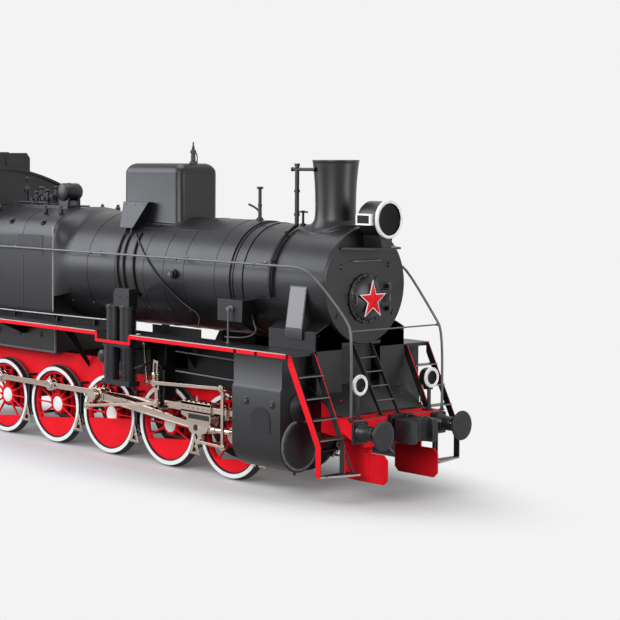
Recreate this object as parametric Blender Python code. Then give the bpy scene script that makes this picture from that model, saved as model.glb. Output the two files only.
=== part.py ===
"""A five-axle steam locomotive, without its tender.

Metres, +Z up. The front faces -Y and the locomotive's left side is +X.
Everything hangs on one empty whose own origin is the middle of the third
axle's station at rail height, so places below are measured from there:
y grows towards the cab and z = 0 is the head of the rail.
"""
import math

import bmesh
import bpy
from mathutils import Matrix, Vector

# Clearances
GAP = 0.0003            # between pieces that are bolted or rest together
RUN_GAP = 0.0006        # round a shaft in its bearing
MOVE_GAP = 0.012        # between a moving piece and what it passes
OVER = 0.02             # how far a cutter or a rooted end runs past a face

# Wheels and rail
WHEEL_R = 0.66          # tread radius
FLANGE_H = 0.028
FLANGE_W = 0.034
FLANGE_TOP_SHARE = 0.45
TYRE_FACE = 0.85        # outer face of a tyre, from the centre line
TYRE_W = 0.132
TYRE_T = 0.088          # radial thickness, the painted ring
AXLE_PITCH = 1.445
AXLE_COUNT = 5
DRIVEN = 2              # index of the axle that the main rod drives
WHEEL_FACETS = 24
AXLE_R = 0.098
BEARING_FACETS = 10
HUB_R = 0.175
SPOKES = 12
CRANK_R = 0.35          # half the piston stroke
WEIGHT_LEAN = 6         # degrees by which a counterweight leads its crank
PIN_R = 0.06

# Planes of the motion, from the centre line outwards
SIDE_ROD_X = 0.955
SIDE_ROD_T = 0.06
CYL_X = 1.12            # cylinder, piston rod, crosshead and main rod
MAIN_ROD_T = 0.07
GEAR_X = 1.245          # combination lever, link and eccentric rod
GEAR_T = 0.036

# Boiler
BOILER_Z = 3.091
BOILER_FACETS = 28
SMOKEBOX_R = 0.872
SMOKEBOX_FRONT = -4.841
SMOKEBOX_REAR = -2.95
SMOKEBOX_WALL = 0.03
BARREL_R = 0.905
BARREL_MID_R = 0.915
BARREL_REAR_R = 0.95
BARREL_SEAM = -0.9
BAND_R = 0.884
BAND_W = 0.05
FIREBOX_FRONT = 1.33
FIREBOX_REAR = 4.55
FIREBOX_W = 0.985       # half width
FIREBOX_WAIST = 0.055   # how much narrower the foot is
FIREBOX_TOP = 4.10
FIREBOX_FOOT = 1.585
WAIST_LOW = 2.18
WAIST_HIGH = 2.30
DOOR_Z = 2.898
DOOR_R = 0.367
HINGE_X = 0.475
HINGE_Y = SMOKEBOX_FRONT - 0.055
HINGE_PIN_R = 0.016
LUG_LOW = DOOR_Z - 0.20   # foot of each hinge lug
LUG_HIGH = DOOR_Z + 0.13
CHIMNEY_Y = -4.246
FLUE_R = 0.24

STACK_FACETS = 20
STACK_TOP = 4.953
STACK_TOP_R = 0.35
STACK_LIP = 0.02
STACK_MOUTH = 0.25      # how far down the flue widens
# outline below the lip, top to bottom: (z, radius)
STACK_OUTLINE = ((4.923, 0.35), (4.80, 0.332), (4.58, 0.313), (4.30, 0.302), (4.08, 0.304),
                 (4.00, 0.33), (3.955, 0.385), (3.93, 0.44), (3.62, 0.44))
SHOULDER_R = 0.42
CROWN_RISE = 0.116

# Frame, beam and platform
FRAME_X = 0.63
FRAME_T = 0.07
FRAME_TOP = 1.56
FRAME_FRONT_TOP = 1.50
BEAM_FACE = -5.49
BEAM_W = 1.004          # half width
BEAM_TOP = 1.228
BEAM_FOOT = 0.82
BEAM_SHEET = 0.035
BUFFER_X = 0.852
BUFFER_Z = 1.062
BUFFER_FACE = -5.959
BUFFER_R = 0.218
BOARD_EDGE = 1.58       # outer edge of the running board
BOARD_TOP = 2.15
BOARD_FRONT = -4.74
BOARD_LIP = 0.06
CAB_FRONT = 4.12
CAB_REAR = 5.80
CAB_W = 1.50
CAB_WALL = 0.05
CAB_FLOOR = 1.95
CAB_EAVES = 4.42
CAB_CROWN = 4.78
DRAG_REAR = 5.95
DOORWAY_FRONT = 5.16
DOORWAY_REAR = 5.72
DOORWAY_TOP = 3.95
CAB_HINGE_X = CAB_W + 0.014
CAB_HINGE_Y = DOORWAY_FRONT + 0.008
CAB_HINGE_R = 0.013
HINGE_LEAF = 0.004
DOOR_HINGES = (2.24, 3.69)
KNUCKLE = 0.05          # half the height of a door's hinge barrel
ROOF_EAVE = 0.05
ROOF_T = 0.04
ROOF_CURVE = 1.8        # power of the roof's arch
NOSE = -5.985           # front of the coupler

# Cylinders
CYL_FRONT = -4.60
CYL_REAR = -3.62
CYL_Z = 0.775
CYL_R = 0.405
VALVE_Z = 1.33
VALVE_R = 0.19

# Lengths and fixed places of the valve gear, (y, z)
MAIN_ROD_L = 2.51
ECCENTRIC_R = 0.18      # of the return crank's pin, from the axle
ECCENTRIC_LAG = -20     # its angle behind the main crank, in degrees
ECCENTRIC_ROD_L = 1.725
LINK_PIVOT = (-1.62, 1.51)
LINK_FOOT_R = 0.45
SPINDLE = (-3.13, VALVE_Z)
LEVER_L = 0.775
UNION_L = 0.53
CROSSHEAD_L = 0.66
SLIDE_BAR_Z = 1.08
SLIDE_BAR_H = 0.085
SLIDE_BAR_W = 0.13
PISTON_ROD_R = 0.045
PISTON_FACETS = 12
PISTON_ENTRY = 0.05     # least length of the piston rod inside the cylinder
BRACKET_Y = -1.70
CROSSHEAD_W = SLIDE_BAR_W / 2 + 0.03
ARM_FACE = CYL_X + CROSSHEAD_W
ARM_DROP = 0.20         # of the union link's pin below the crosshead pin
ARM_AHEAD = 0.10
ROD_EYE_R = 0.105       # the coupling rod's eyes

SIDES = (("right", -1), ("left", 1))
LAMPBLACK = (0.012, 0.013, 0.016)
PAINTS = {
    "black": (LAMPBLACK, 0.38, 0.0),
    "red": ((0.72, 0.006, 0.012), 0.35, 0.0),
    "white": ((0.86, 0.86, 0.86), 0.45, 0.0),
    "steel": ((0.46, 0.40, 0.35), 0.32, 0.9),
    "iron": ((0.05, 0.055, 0.065), 0.5, 0.3),
}


def clear_scene():
    for item in list(bpy.data.objects):
        bpy.data.objects.remove(item, do_unlink=True)


def paint(name, node):
    """A material of the named paint that belongs to one node only."""
    colour, rough, metal = PAINTS[name]
    material = bpy.data.materials.new(node + "_paint")
    material.use_nodes = True
    shader = material.node_tree.nodes["Principled BSDF"]
    shader.inputs["Base Color"].default_value = (*colour, 1.0)
    shader.inputs["Roughness"].default_value = rough
    shader.inputs["Metallic"].default_value = metal
    material.diffuse_color = (*colour, 1.0)
    return material


def empty(name, place, parent=None):
    item = bpy.data.objects.new(name, None)
    item.location = place
    item.parent = parent
    bpy.context.scene.collection.objects.link(item)
    return item


def object_from(bm, name, sharp=math.radians(32)):
    """Turns a bmesh into an object, faces out, round parts smooth."""
    bmesh.ops.recalc_face_normals(bm, faces=bm.faces)
    mesh = bpy.data.meshes.new(name)
    bm.to_mesh(mesh)
    bm.free()
    mesh.shade_smooth()
    mesh.set_sharp_from_angle(angle=sharp)
    item = bpy.data.objects.new(name, mesh)
    bpy.context.scene.collection.objects.link(item)
    return item


def box(low, high):
    """A block between two corners."""
    bm = bmesh.new()
    middle = [(a + b) / 2 for a, b in zip(low, high)]
    size = [abs(b - a) for a, b in zip(low, high)]
    matrix = Matrix.Translation(middle) @ Matrix.Diagonal((*size, 1))
    bmesh.ops.create_cube(bm, size=1, matrix=matrix)
    return object_from(bm, "block")


def slab(outline, axis, start, end, holes=()):
    """A flat outline, with any holes, pushed from start to end along an axis.

    An outline for axis x lists (y, z), for y lists (x, z), for z lists (x, y).
    """
    def point(a, b):
        return {"x": (start, a, b), "y": (a, start, b), "z": (a, b, start)}[axis]

    bm = bmesh.new()
    edges = []
    for loop in (outline, *holes):
        verts = [bm.verts.new(point(a, b)) for a, b in loop]
        edges += [bm.edges.new((verts[i - 1], verts[i])) for i in range(len(verts))]
    bmesh.ops.triangle_fill(bm, use_beauty=True, edges=edges)
    push = {"x": (end - start, 0, 0), "y": (0, end - start, 0), "z": (0, 0, end - start)}[axis]
    top = bmesh.ops.extrude_face_region(bm, geom=list(bm.faces), use_keep_orig=True)
    moved = [v for v in top["geom"] if isinstance(v, bmesh.types.BMVert)]
    bmesh.ops.translate(bm, verts=moved, vec=push)
    return object_from(bm, "slab")


def arc(centre, radius, start, end, steps):
    """Points round a centre from one angle to another, in degrees."""
    turn = [math.radians(start + (end - start) * i / steps) for i in range(steps + 1)]
    return [(centre[0] + radius * math.cos(t), centre[1] + radius * math.sin(t)) for t in turn]


def ring(centre, radius, steps):
    return arc(centre, radius, 0, 360, steps)[:-1]


def turned(profile, axis, centre, steps, phase=0.0, snug=False):
    """Spins a closed profile of (distance along axis, radius) round an axis.

    With snug, the flats of the polygon, and not its corners, are at the radius.
    """
    grow = 1 / math.cos(math.pi / steps) if snug else 1
    bm = bmesh.new()
    spun = []
    for i in range(steps):
        turn = 2 * math.pi * i / steps + phase
        row = []
        for along, radius in profile:
            a = radius * grow * math.cos(turn)
            b = radius * grow * math.sin(turn)
            place = {"x": (along, a, b), "y": (a, along, b), "z": (a, b, along)}[axis]
            row.append(bm.verts.new(Vector(place) + Vector(centre)))
        spun.append(row)
    for i in range(steps):
        one, two = spun[i - 1], spun[i]
        for j in range(len(profile)):
            bm.faces.new((one[j - 1], one[j], two[j], two[j - 1]))
    bmesh.ops.remove_doubles(bm, verts=bm.verts, dist=GAP / 10)
    return object_from(bm, "turned")


def rod(start, end, radius, steps=10):
    """A plain round bar between two points."""
    start, end = Vector(start), Vector(end)
    bm = bmesh.new()
    turn = (end - start).to_track_quat("Z", "Y").to_matrix().to_4x4()
    matrix = Matrix.Translation((start + end) / 2) @ turn
    bmesh.ops.create_cone(bm, cap_ends=True, segments=steps, radius1=radius,
                          radius2=radius, depth=(end - start).length, matrix=matrix)
    return object_from(bm, "rod")


def pipe(points, radius, sides=8, smooth=0):
    """A round bar bent through points; smooth rounds the corners."""
    path = [Vector(p) for p in points]
    for _ in range(smooth):
        cut = [path[0]]
        for one, two in zip(path, path[1:]):
            cut += [one.lerp(two, 0.25), one.lerp(two, 0.75)]
        path = cut + [path[-1]]
    bm = bmesh.new()
    rows = []
    for i, place in enumerate(path):
        ahead = path[min(i + 1, len(path) - 1)] - place
        behind = place - path[max(i - 1, 0)]
        along = (ahead.normalized() + behind.normalized()).normalized()
        if i == 0:
            side = along.orthogonal().normalized()
        else:
            side = (side - along * side.dot(along)).normalized()
        other = along.cross(side)
        rows.append([bm.verts.new(place + radius * (side * math.cos(t) + other * math.sin(t)))
                     for t in (2 * math.pi * k / sides for k in range(sides))])
    for one, two in zip(rows, rows[1:]):
        for k in range(sides):
            bm.faces.new((one[k - 1], one[k], two[k], two[k - 1]))
    bm.faces.new(rows[0])
    bm.faces.new(rows[-1])
    return object_from(bm, "pipe")


def link_bar(start, end, end_r, shank, thick, plane, end_steps=10):
    """A flat rod in a plane of constant x, with a round eye at each end."""
    (y0, z0), (y1, z1) = start, end
    length = math.hypot(y1 - y0, z1 - z0)
    lean = math.degrees(math.atan2(z1 - z0, y1 - y0))
    spread = math.degrees(math.asin(min(1, shank / 2 / end_r)))
    half = end_steps // 2
    outline = (arc((length, 0), end_r, spread - 180, 180 - spread, half)
               + arc((0, 0), end_r, spread, 360 - spread, half))
    c, s = math.cos(math.radians(lean)), math.sin(math.radians(lean))
    turned_outline = [(y0 + a * c - b * s, z0 + a * s + b * c) for a, b in outline]
    return slab(turned_outline, "x", plane - thick / 2, plane + thick / 2)


def flip(item):
    """Mirrors a shape to the other side of the locomotive."""
    item.data.transform(Matrix.Diagonal((-1, 1, 1, 1)))
    item.data.flip_normals()
    return item


def hide(item):
    item.hide_render = True
    item.display_type = "WIRE"


def make(name, pieces, colour, parent, cutters=(), centre=(0, 0, 0)):
    """One named piece: the first shape, united with the rest, then cut."""
    body = pieces[0]
    body.name = name
    body.data.name = name
    for operation, shapes in (("UNION", pieces[1:]), ("DIFFERENCE", cutters)):
        if not shapes:
            continue
        group = bpy.data.collections.new(name + "_" + operation.lower())
        bpy.context.scene.collection.children.link(group)
        for shape in shapes:
            bpy.context.scene.collection.objects.unlink(shape)
            group.objects.link(shape)
            shape.name = name + "_tool"
            shape.parent = parent
            shape.location = [-c for c in centre]
            hide(shape)
        change = body.modifiers.new(operation.title(), "BOOLEAN")
        change.operation = operation
        change.solver = "EXACT"
        change.operand_type = "COLLECTION"
        change.collection = group
    body.parent = parent
    body.location = [-c for c in centre]
    body.data.materials.append(paint(colour, name))
    return body


def axle_y(index):
    return (index - DRIVEN) * AXLE_PITCH


def boiler_cutter(front=SMOKEBOX_FRONT - 1, rear=FIREBOX_FRONT):
    """The smokebox and barrel, a little larger, to cut what sits on them."""
    skin = [(front, SMOKEBOX_R + GAP), (SMOKEBOX_REAR + GAP, SMOKEBOX_R + GAP)]
    skin += [(y, radius + GAP) for y, radius in barrel_skin()]
    profile = [(front, 0)] + skin + [(rear, 0)]
    return turned(profile, "y", (0, 0, BOILER_Z), BOILER_FACETS, snug=True)


def barrel_skin():
    """The lagged barrel's outline, front to rear, as (y, radius)."""
    band_end = SMOKEBOX_REAR + BAND_W
    return [(SMOKEBOX_REAR + GAP, BAND_R), (band_end, BAND_R), (band_end, BARREL_R),
            (BARREL_SEAM, BARREL_MID_R), (FIREBOX_FRONT - GAP, BARREL_REAR_R)]


def barrel_radius(y):
    """The boiler's radius at one place along it."""
    if y < SMOKEBOX_REAR:
        return SMOKEBOX_R
    skin = barrel_skin()
    for (y0, r0), (y1, r1) in zip(skin, skin[1:]):
        if y0 <= y <= y1 and y1 > y0:
            return r0 + (r1 - r0) * (y - y0) / (y1 - y0)
    return BARREL_REAR_R


def wheelset(index, datum):
    """An axle with its two spoked wheels, tyres, cranks and counterweights."""
    plate_in, plate_out = 0.735, 0.795
    rim_r = 0.528
    hub_in, hub_out = FRAME_X + FRAME_T / 2 + RUN_GAP, 0.770
    weight_out = 0.828
    boss_out = 0.885
    boss_r, boss_shank = 0.115, 0.15
    weight_steps = 8
    spoke_rim, spoke_hub = 0.018, 0.03
    # depth of the counterweight's chord below the hub, first axle to last
    chord = (0.37, 0.24, 0.08, 0.24, 0.37)[index]
    pin_end = SIDE_ROD_X + SIDE_ROD_T / 2 + OVER
    if index == DRIVEN:
        pin_end = CYL_X - MAIN_ROD_T / 2 - MOVE_GAP
    y0 = axle_y(index)
    centre = (0, y0, WHEEL_R)
    axis = empty(f"axle_{index + 1}_centre", centre, datum)
    journal = [(-hub_out, 0), (-hub_out, HUB_R), (-hub_in, HUB_R), (-hub_in, AXLE_R),
               (hub_in, AXLE_R), (hub_in, HUB_R), (hub_out, HUB_R), (hub_out, 0)]
    pieces = [turned(journal, "x", centre, BEARING_FACETS)]
    bore = WHEEL_R - TYRE_T
    back = TYRE_FACE - TYRE_W
    section = [(TYRE_FACE, bore), (TYRE_FACE, WHEEL_R), (back + FLANGE_W, WHEEL_R),
               (back + FLANGE_W * FLANGE_TOP_SHARE, WHEEL_R + FLANGE_H), (back, bore)]
    for name, side in SIDES:
        crank = 90 if name == "right" else 0
        shapes = [turned(section, "x", centre, WHEEL_FACETS,
                         phase=math.pi / WHEEL_FACETS, snug=True)]
        away = math.radians(crank + 180 - WEIGHT_LEAN)
        aim = (math.cos(away), math.sin(away))
        holes = []
        for k in range(SPOKES):
            low = crank + 360 * k / SPOKES
            high = low + 360 / SPOKES
            hub_r = HUB_R + OVER
            lean_hub = math.degrees(spoke_hub / hub_r)
            lean_rim = math.degrees(spoke_rim / rim_r)
            hole = (arc((0, 0), hub_r, high - lean_hub, low + lean_hub, 1)
                    + arc((0, 0), rim_r, low + lean_rim, high - lean_rim, 1))
            depth = min(a * aim[0] + b * aim[1] for a, b in hole)
            if depth < chord:
                holes.append([(y0 + a, WHEEL_R + b) for a, b in hole])
        outside = [(y0 + a, WHEEL_R + b)
                   for a, b in arc((0, 0), bore + OVER, 180 / WHEEL_FACETS,
                                   360 + 180 / WHEEL_FACETS, WHEEL_FACETS)[:-1]]
        shapes.append(slab(outside, "x", plate_in, plate_out, holes))
        half = math.degrees(math.acos(chord / bore))
        middle = crank + 180 - WEIGHT_LEAN
        segment = arc((y0, WHEEL_R), bore + OVER / 2, middle - half, middle + half, weight_steps)
        shapes.append(slab(segment, "x", plate_in + GAP * 4, weight_out))
        pin = (y0 + CRANK_R * math.cos(math.radians(crank)),
               WHEEL_R + CRANK_R * math.sin(math.radians(crank)))
        shapes.append(link_bar((y0, WHEEL_R), pin, boss_r, boss_shank, boss_out - plate_in,
                               (boss_out + plate_in) / 2, 8))
        shapes.append(rod((hub_out, *pin), (pin_end, *pin), PIN_R, BEARING_FACETS))
        if side < 0:
            shapes = [flip(shape) for shape in shapes]
        pieces += shapes
    return make(f"wheelset_{index + 1}", pieces, "red", axis, centre=centre)


def side_rod(name, side, datum):
    """The coupling rod that joins the five crank pins of one side."""
    eye_r, shank = ROD_EYE_R, 0.095
    eye_steps = 5
    crank = 90 if name == "right" else 0
    dy = CRANK_R * math.cos(math.radians(crank))
    z = WHEEL_R + CRANK_R * math.sin(math.radians(crank))
    lean = math.degrees(math.asin(shank / 2 / eye_r))
    places = [axle_y(i) + dy for i in range(AXLE_COUNT)]
    upper, lower = [], []
    for i, y in enumerate(places):
        begin = 180 if i == 0 else 180 - lean
        end = 0 if i == AXLE_COUNT - 1 else lean
        upper += arc((y, z), eye_r, begin, end, eye_steps)
        lower = arc((y, z), eye_r, -end, -begin, eye_steps) + lower
    outline = upper + lower[1:-1]
    pin_hole = (PIN_R + RUN_GAP) / math.cos(math.pi / BEARING_FACETS)
    bar = slab(outline, "x", SIDE_ROD_X - SIDE_ROD_T / 2, SIDE_ROD_X + SIDE_ROD_T / 2,
               [ring((y, z), pin_hole, BEARING_FACETS) for y in places])
    if side < 0:
        flip(bar)
    pin = (side * SIDE_ROD_X, places[DRIVEN], z)
    axis = empty(f"main_pin_{name}", pin, datum)
    return make(f"side_rod_{name}", [bar], "steel", axis, centre=pin)


def meet(one, one_r, two, two_r, turn):
    """Where two circles cross; turn picks the crossing left or right of the line."""
    across = Vector(two) - Vector(one)
    reach = across.length
    along = (one_r ** 2 - two_r ** 2 + reach ** 2) / (2 * reach)
    up = math.sqrt(one_r ** 2 - along ** 2) * turn
    way = across / reach
    return (one[0] + way.x * along - way.y * up, one[1] + way.y * along + way.x * up)


def pose(name):
    """Places of the motion's pins on one side, as (y, z)."""
    crank = 90 if name == "right" else 0
    turn = math.radians(crank)
    main = (CRANK_R * math.cos(turn), WHEEL_R + CRANK_R * math.sin(turn))
    head = (main[0] - math.sqrt(MAIN_ROD_L ** 2 - (main[1] - CYL_Z) ** 2), CYL_Z)
    turn = math.radians(crank + ECCENTRIC_LAG)
    back = (ECCENTRIC_R * math.cos(turn), WHEEL_R + ECCENTRIC_R * math.sin(turn))
    foot = meet(back, ECCENTRIC_ROD_L, LINK_PIVOT, LINK_FOOT_R, 1)
    arm = (head[0] - ARM_AHEAD, CYL_Z - ARM_DROP)
    low = meet(arm, UNION_L, SPINDLE, LEVER_L, 1)
    return {"main": main, "head": head, "back": back, "foot": foot, "arm": arm, "low": low}


def main_rod(name, side, head):
    """The main rod; its big end lies beside the crank pin and is solid."""
    at = pose(name)
    big_r, small_r, shank = 0.125, 0.085, 0.10
    boss_share = 0.62
    half = MAIN_ROD_T / 2
    bar = link_bar(at["head"], at["main"], small_r, shank, MAIN_ROD_T, CYL_X)
    boss_out = GEAR_X - GEAR_T * 1.5 - MOVE_GAP / 2
    big = slab(ring(at["main"], big_r, 16), "x", CYL_X - half - GAP, CYL_X + half + GAP)
    boss = rod((CYL_X, *at["main"]), (boss_out, *at["main"]), big_r * boss_share, 12)
    hole_r = (PISTON_ROD_R + RUN_GAP) / math.cos(math.pi / PISTON_FACETS)
    hole = rod((CYL_X - MAIN_ROD_T, *at["head"]), (CYL_X + MAIN_ROD_T, *at["head"]), hole_r, PISTON_FACETS)
    shapes = [bar, big, boss, hole]
    if side < 0:
        shapes = [flip(s) for s in shapes]
    axis = empty(f"crosshead_pin_{name}", (0, 0, 0), head)
    return make(f"main_rod_{name}", shapes[:3], "steel", axis, shapes[3:], centre=(0, *at["head"]))


def crosshead(name, side, datum):
    """The crosshead on its single bar, with the piston rod it pushes."""
    at = pose(name)
    y, z = at["head"]
    centre = (0, y, z)
    axis = empty(f"crosshead_centre_{name}", centre, datum)
    cheek = 0.03
    inner = CYL_X - MAIN_ROD_T / 2 - RUN_GAP
    outer = CYL_X + MAIN_ROD_T / 2 + RUN_GAP
    bar_low = SLIDE_BAR_Z - SLIDE_BAR_H / 2
    bar_high = SLIDE_BAR_Z + SLIDE_BAR_H / 2
    wide = CROSSHEAD_W
    half = CROSSHEAD_L / 2
    front = y - half
    neck_share = (0.45, 0.7)        # of half the length, front and rear
    neck_rear, neck_low = 0.09, PISTON_ROD_R * 2
    slot_front, slot_high = 0.10, 0.135
    # the union link's arm below the crosshead, from the pin's place: (y, z)
    arm_shape = ((-0.045, -0.045), (0.045, -0.045), (0.10, ARM_DROP), (-0.02, ARM_DROP))
    block = box((CYL_X - wide, front, bar_low - cheek * 2), (CYL_X + wide, y + half, bar_high + cheek))
    neck = slab([(front, bar_low - cheek), (y - half * neck_share[0], z - neck_low),
                 (y + neck_rear, z - neck_low), (y + half * neck_share[1], bar_low - cheek)],
                "x", CYL_X - wide, CYL_X + wide)
    arm = slab([(at["arm"][0] + a, at["arm"][1] + b) for a, b in arm_shape], "x", outer, CYL_X + wide)
    pin = rod((CYL_X - wide + GAP, y, z), (CYL_X + wide - GAP, y, z), PISTON_ROD_R, PISTON_FACETS)
    # the rod's front end is just inside the cylinder when the crank points to the rear
    rear_stroke = CRANK_R - math.sqrt(MAIN_ROD_L ** 2 - (WHEEL_R - CYL_Z) ** 2)
    tip = CYL_REAR - PISTON_ENTRY + y - rear_stroke
    piston = rod((CYL_X, front + half / 2, z), (CYL_X, tip, z), PISTON_ROD_R, PISTON_FACETS)
    # the slot that the main rod swings in
    slot = box((inner, y - slot_front, z - half), (outer, y + half * 3, z + slot_high))
    hole = box((CYL_X - SLIDE_BAR_W / 2 - RUN_GAP, front - OVER, bar_low - RUN_GAP),
               (CYL_X + SLIDE_BAR_W / 2 + RUN_GAP, y + half + OVER, bar_high + RUN_GAP))
    shapes = [block, neck, arm, piston]
    if side < 0:
        for s in shapes + [pin, slot, hole]:
            flip(s)
    body = make(f"crosshead_{name}", shapes, "steel", axis, [slot, hole], centre=centre)
    hide(pin)
    pin.name = body.name + "_tool"
    pin.parent = axis
    pin.location = [-c for c in centre]
    add = body.modifiers.new("Pin", "BOOLEAN")
    add.operation = "UNION"
    add.solver = "EXACT"
    add.object = pin
    main_rod(name, side, axis)
    return body


def slide_bars(name, side, datum):
    """The slide bar, with the motion bracket that holds its rear end and the link."""
    bar_low = SLIDE_BAR_Z - SLIDE_BAR_H / 2
    bar_high = SLIDE_BAR_Z + SLIDE_BAR_H / 2
    sheet = 0.04
    clear = WHEEL_R + CRANK_R + ROD_EYE_R + MOVE_GAP * 2
    over_wheel = WHEEL_R + FLANGE_H + WHEEL_R + MOVE_GAP * 2
    web_root = FRAME_X + FRAME_T / 2 + GAP
    web_in, web_out = CYL_X - 0.07, CYL_X + SLIDE_BAR_W / 2 + GAP * 10
    web_foot = bar_low - 0.05
    web_top, web_shoulder = FRAME_TOP + 0.12, FRAME_TOP + 0.06
    web_corner = CYL_X - 0.02
    past_tyre, past_rod = TYRE_FACE + 0.03, SIDE_ROD_X - 0.05
    ear_root, ear_tip, ear_reach = 0.16, 0.07, 0.07
    ear_in, ear_out = GEAR_X - GEAR_T * 1.9 - OVER, GEAR_X - GEAR_T
    pivot_y, pivot_z = LINK_PIVOT
    bar = box((CYL_X - SLIDE_BAR_W / 2, CYL_REAR + GAP, bar_low),
              (CYL_X + SLIDE_BAR_W / 2, BRACKET_Y + sheet, bar_high))
    web = slab([(web_root, over_wheel), (past_tyre, over_wheel), (past_rod, clear), (web_in, clear),
                (web_in, web_foot), (web_out, web_foot), (web_out, web_shoulder), (web_corner, web_top),
                (web_root, web_top)], "y", BRACKET_Y, BRACKET_Y + sheet)
    ear = slab([(BRACKET_Y + sheet / 2, pivot_z - ear_root), (pivot_y + ear_reach, pivot_z - ear_tip),
                (pivot_y + ear_reach, pivot_z + ear_tip), (BRACKET_Y + sheet / 2, pivot_z + ear_root)],
               "x", ear_in, ear_out)
    shapes = [bar, web, ear]
    if side < 0:
        shapes = [flip(s) for s in shapes]
    return make(f"slide_bar_{name}", shapes, "iron", datum)


def valve_gear(name, side, datum):
    """Return crank, eccentric rod, link, radius rod, lever and union link."""
    at = pose(name)
    half = GEAR_T / 2
    inner, outer, lift = GEAR_X - GEAR_T, GEAR_X + GEAR_T, GEAR_X + GEAR_T
    union_x = ARM_FACE + MOVE_GAP / 2 + half
    pin_r = 0.034
    trunnion_r = 0.05
    stem_r = 0.032
    places = dict(at)
    places["pivot"] = LINK_PIVOT
    places["rod_top"] = (SPINDLE[0], VALVE_Z + 0.13)
    places["die"] = (LINK_PIVOT[0] + 0.005, LINK_PIVOT[1] - 0.12)
    places["lift_top"] = (-1.365, 2.00)
    places["lift_low"] = (-1.445, 1.385)
    # flat links: (from, to, radius of the eyes, width of the shank, plane)
    links = (("main", "back", 0.085, 0.11, inner),
             ("back", "foot", 0.062, 0.055, outer),
             ("pivot", "foot", 0.062, 0.075, GEAR_X),
             ("die", "rod_top", 0.062, 0.06, outer),
             ("rod_top", "low", 0.062, 0.06, GEAR_X),
             ("arm", "low", 0.045, 0.045, union_x),
             ("lift_low", "lift_top", 0.04, 0.04, lift),
             ("lift_low", "die", 0.045, 0.05, lift))
    # pins: (place, x from, x to, radius, facets)
    pins = (("back", inner - half, outer + half, pin_r, 10),
            ("foot", inner - half, outer + half, pin_r, 10),
            ("pivot", inner + GAP, outer + GEAR_T, trunnion_r, 16),
            ("rod_top", GEAR_X, outer + half, pin_r, 10),
            ("low", ARM_FACE + MOVE_GAP / 2, outer, pin_r, 10))
    # the expansion link is a curved bar that leans with its foot
    foot_y, foot_z = at["foot"]
    lean = math.atan2(foot_y - LINK_PIVOT[0], LINK_PIVOT[1] - foot_z)
    curve_r, link_half, link_w, link_t_share = 1.1, 0.24, 0.055, 1.2
    spread = math.degrees(link_half / curve_r)
    outline = (arc((-curve_r, 0), curve_r + link_w, -spread, spread, 6)
               + arc((-curve_r, 0), curve_r - link_w, spread, -spread, 6))
    c, s = math.cos(lean), math.sin(lean)
    outline = [(LINK_PIVOT[0] + a * c - b * s, LINK_PIVOT[1] + a * s + b * c) for a, b in outline]
    pieces = [link_bar(places[a], places[b], eye, shank, GEAR_T, plane) for a, b, eye, shank, plane in links]
    pieces += [rod((x0, *places[at_pin]), (x1, *places[at_pin]), radius, facets)
               for at_pin, x0, x1, radius, facets in pins]
    pieces += [
        slab(outline, "x", GEAR_X - half * link_t_share, GEAR_X + half * link_t_share),
        rod((CYL_X, *SPINDLE), (GEAR_X, *SPINDLE), pin_r),
        rod((CYL_X, SPINDLE[0] + pin_r, SPINDLE[1]), (CYL_X, CYL_REAR + GAP, SPINDLE[1]), stem_r),
    ]
    if side < 0:
        pieces = [flip(p) for p in pieces]
    return make(f"valve_gear_{name}", pieces, "steel", datum)


def cylinder(name, side, datum):
    """Cylinder and valve chest in one casing, with round covers in front."""
    mouth = 0.05
    cover_r, cover_t = 0.35, 0.06
    valve_cover_r = VALVE_R + 0.02
    wall_in = FRAME_X + FRAME_T / 2 + GAP
    outer = CYL_X + CYL_R
    top = BOARD_TOP - BOARD_LIP - GAP
    crease, crease_in, crease_drop = 1.61, 0.03, 0.12
    chest_in = CYL_X - 0.30
    foot_turn, foot_steps = -150, 12
    outline = (arc((CYL_X, CYL_Z), CYL_R, 0, foot_turn, foot_steps)
               + [(wall_in, CYL_Z + 0.1), (wall_in, crease - crease_drop), (chest_in, crease),
                  (chest_in, top), (outer - crease_in, top), (outer - crease_in, crease),
                  (outer, crease - 0.01)])
    root, face = CYL_FRONT + mouth + OVER, CYL_FRONT - cover_t
    piston_cover = [(root, 0), (root, cover_r), (CYL_FRONT + mouth - cover_t, cover_r),
                    (CYL_FRONT - cover_t * 0.4, cover_r * 0.8), (face, cover_r * 0.35), (face, 0)]
    valve_cover = [(root, 0), (root, valve_cover_r), (CYL_FRONT - cover_t / 2, valve_cover_r),
                   (face, VALVE_R * 0.7), (face, 0)]
    pieces = [slab(outline, "y", CYL_FRONT, CYL_REAR),
              turned(piston_cover, "y", (CYL_X, 0, CYL_Z), 24),
              turned(valve_cover, "y", (CYL_X, 0, VALVE_Z), 20)]
    corner = math.cos(math.pi / PISTON_FACETS)
    bore_r = (PISTON_ROD_R * corner + RUN_GAP) / corner
    depth = CRANK_R * 2 + PISTON_ENTRY + MOVE_GAP * 2
    bore = rod((CYL_X, CYL_REAR - depth, CYL_Z), (CYL_X, CYL_REAR + OVER, CYL_Z), bore_r, PISTON_FACETS)
    if side < 0:
        pieces = [flip(p) for p in pieces]
        flip(bore)
    return make(f"cylinder_{name}", pieces, "black", datum, [bore])


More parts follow.
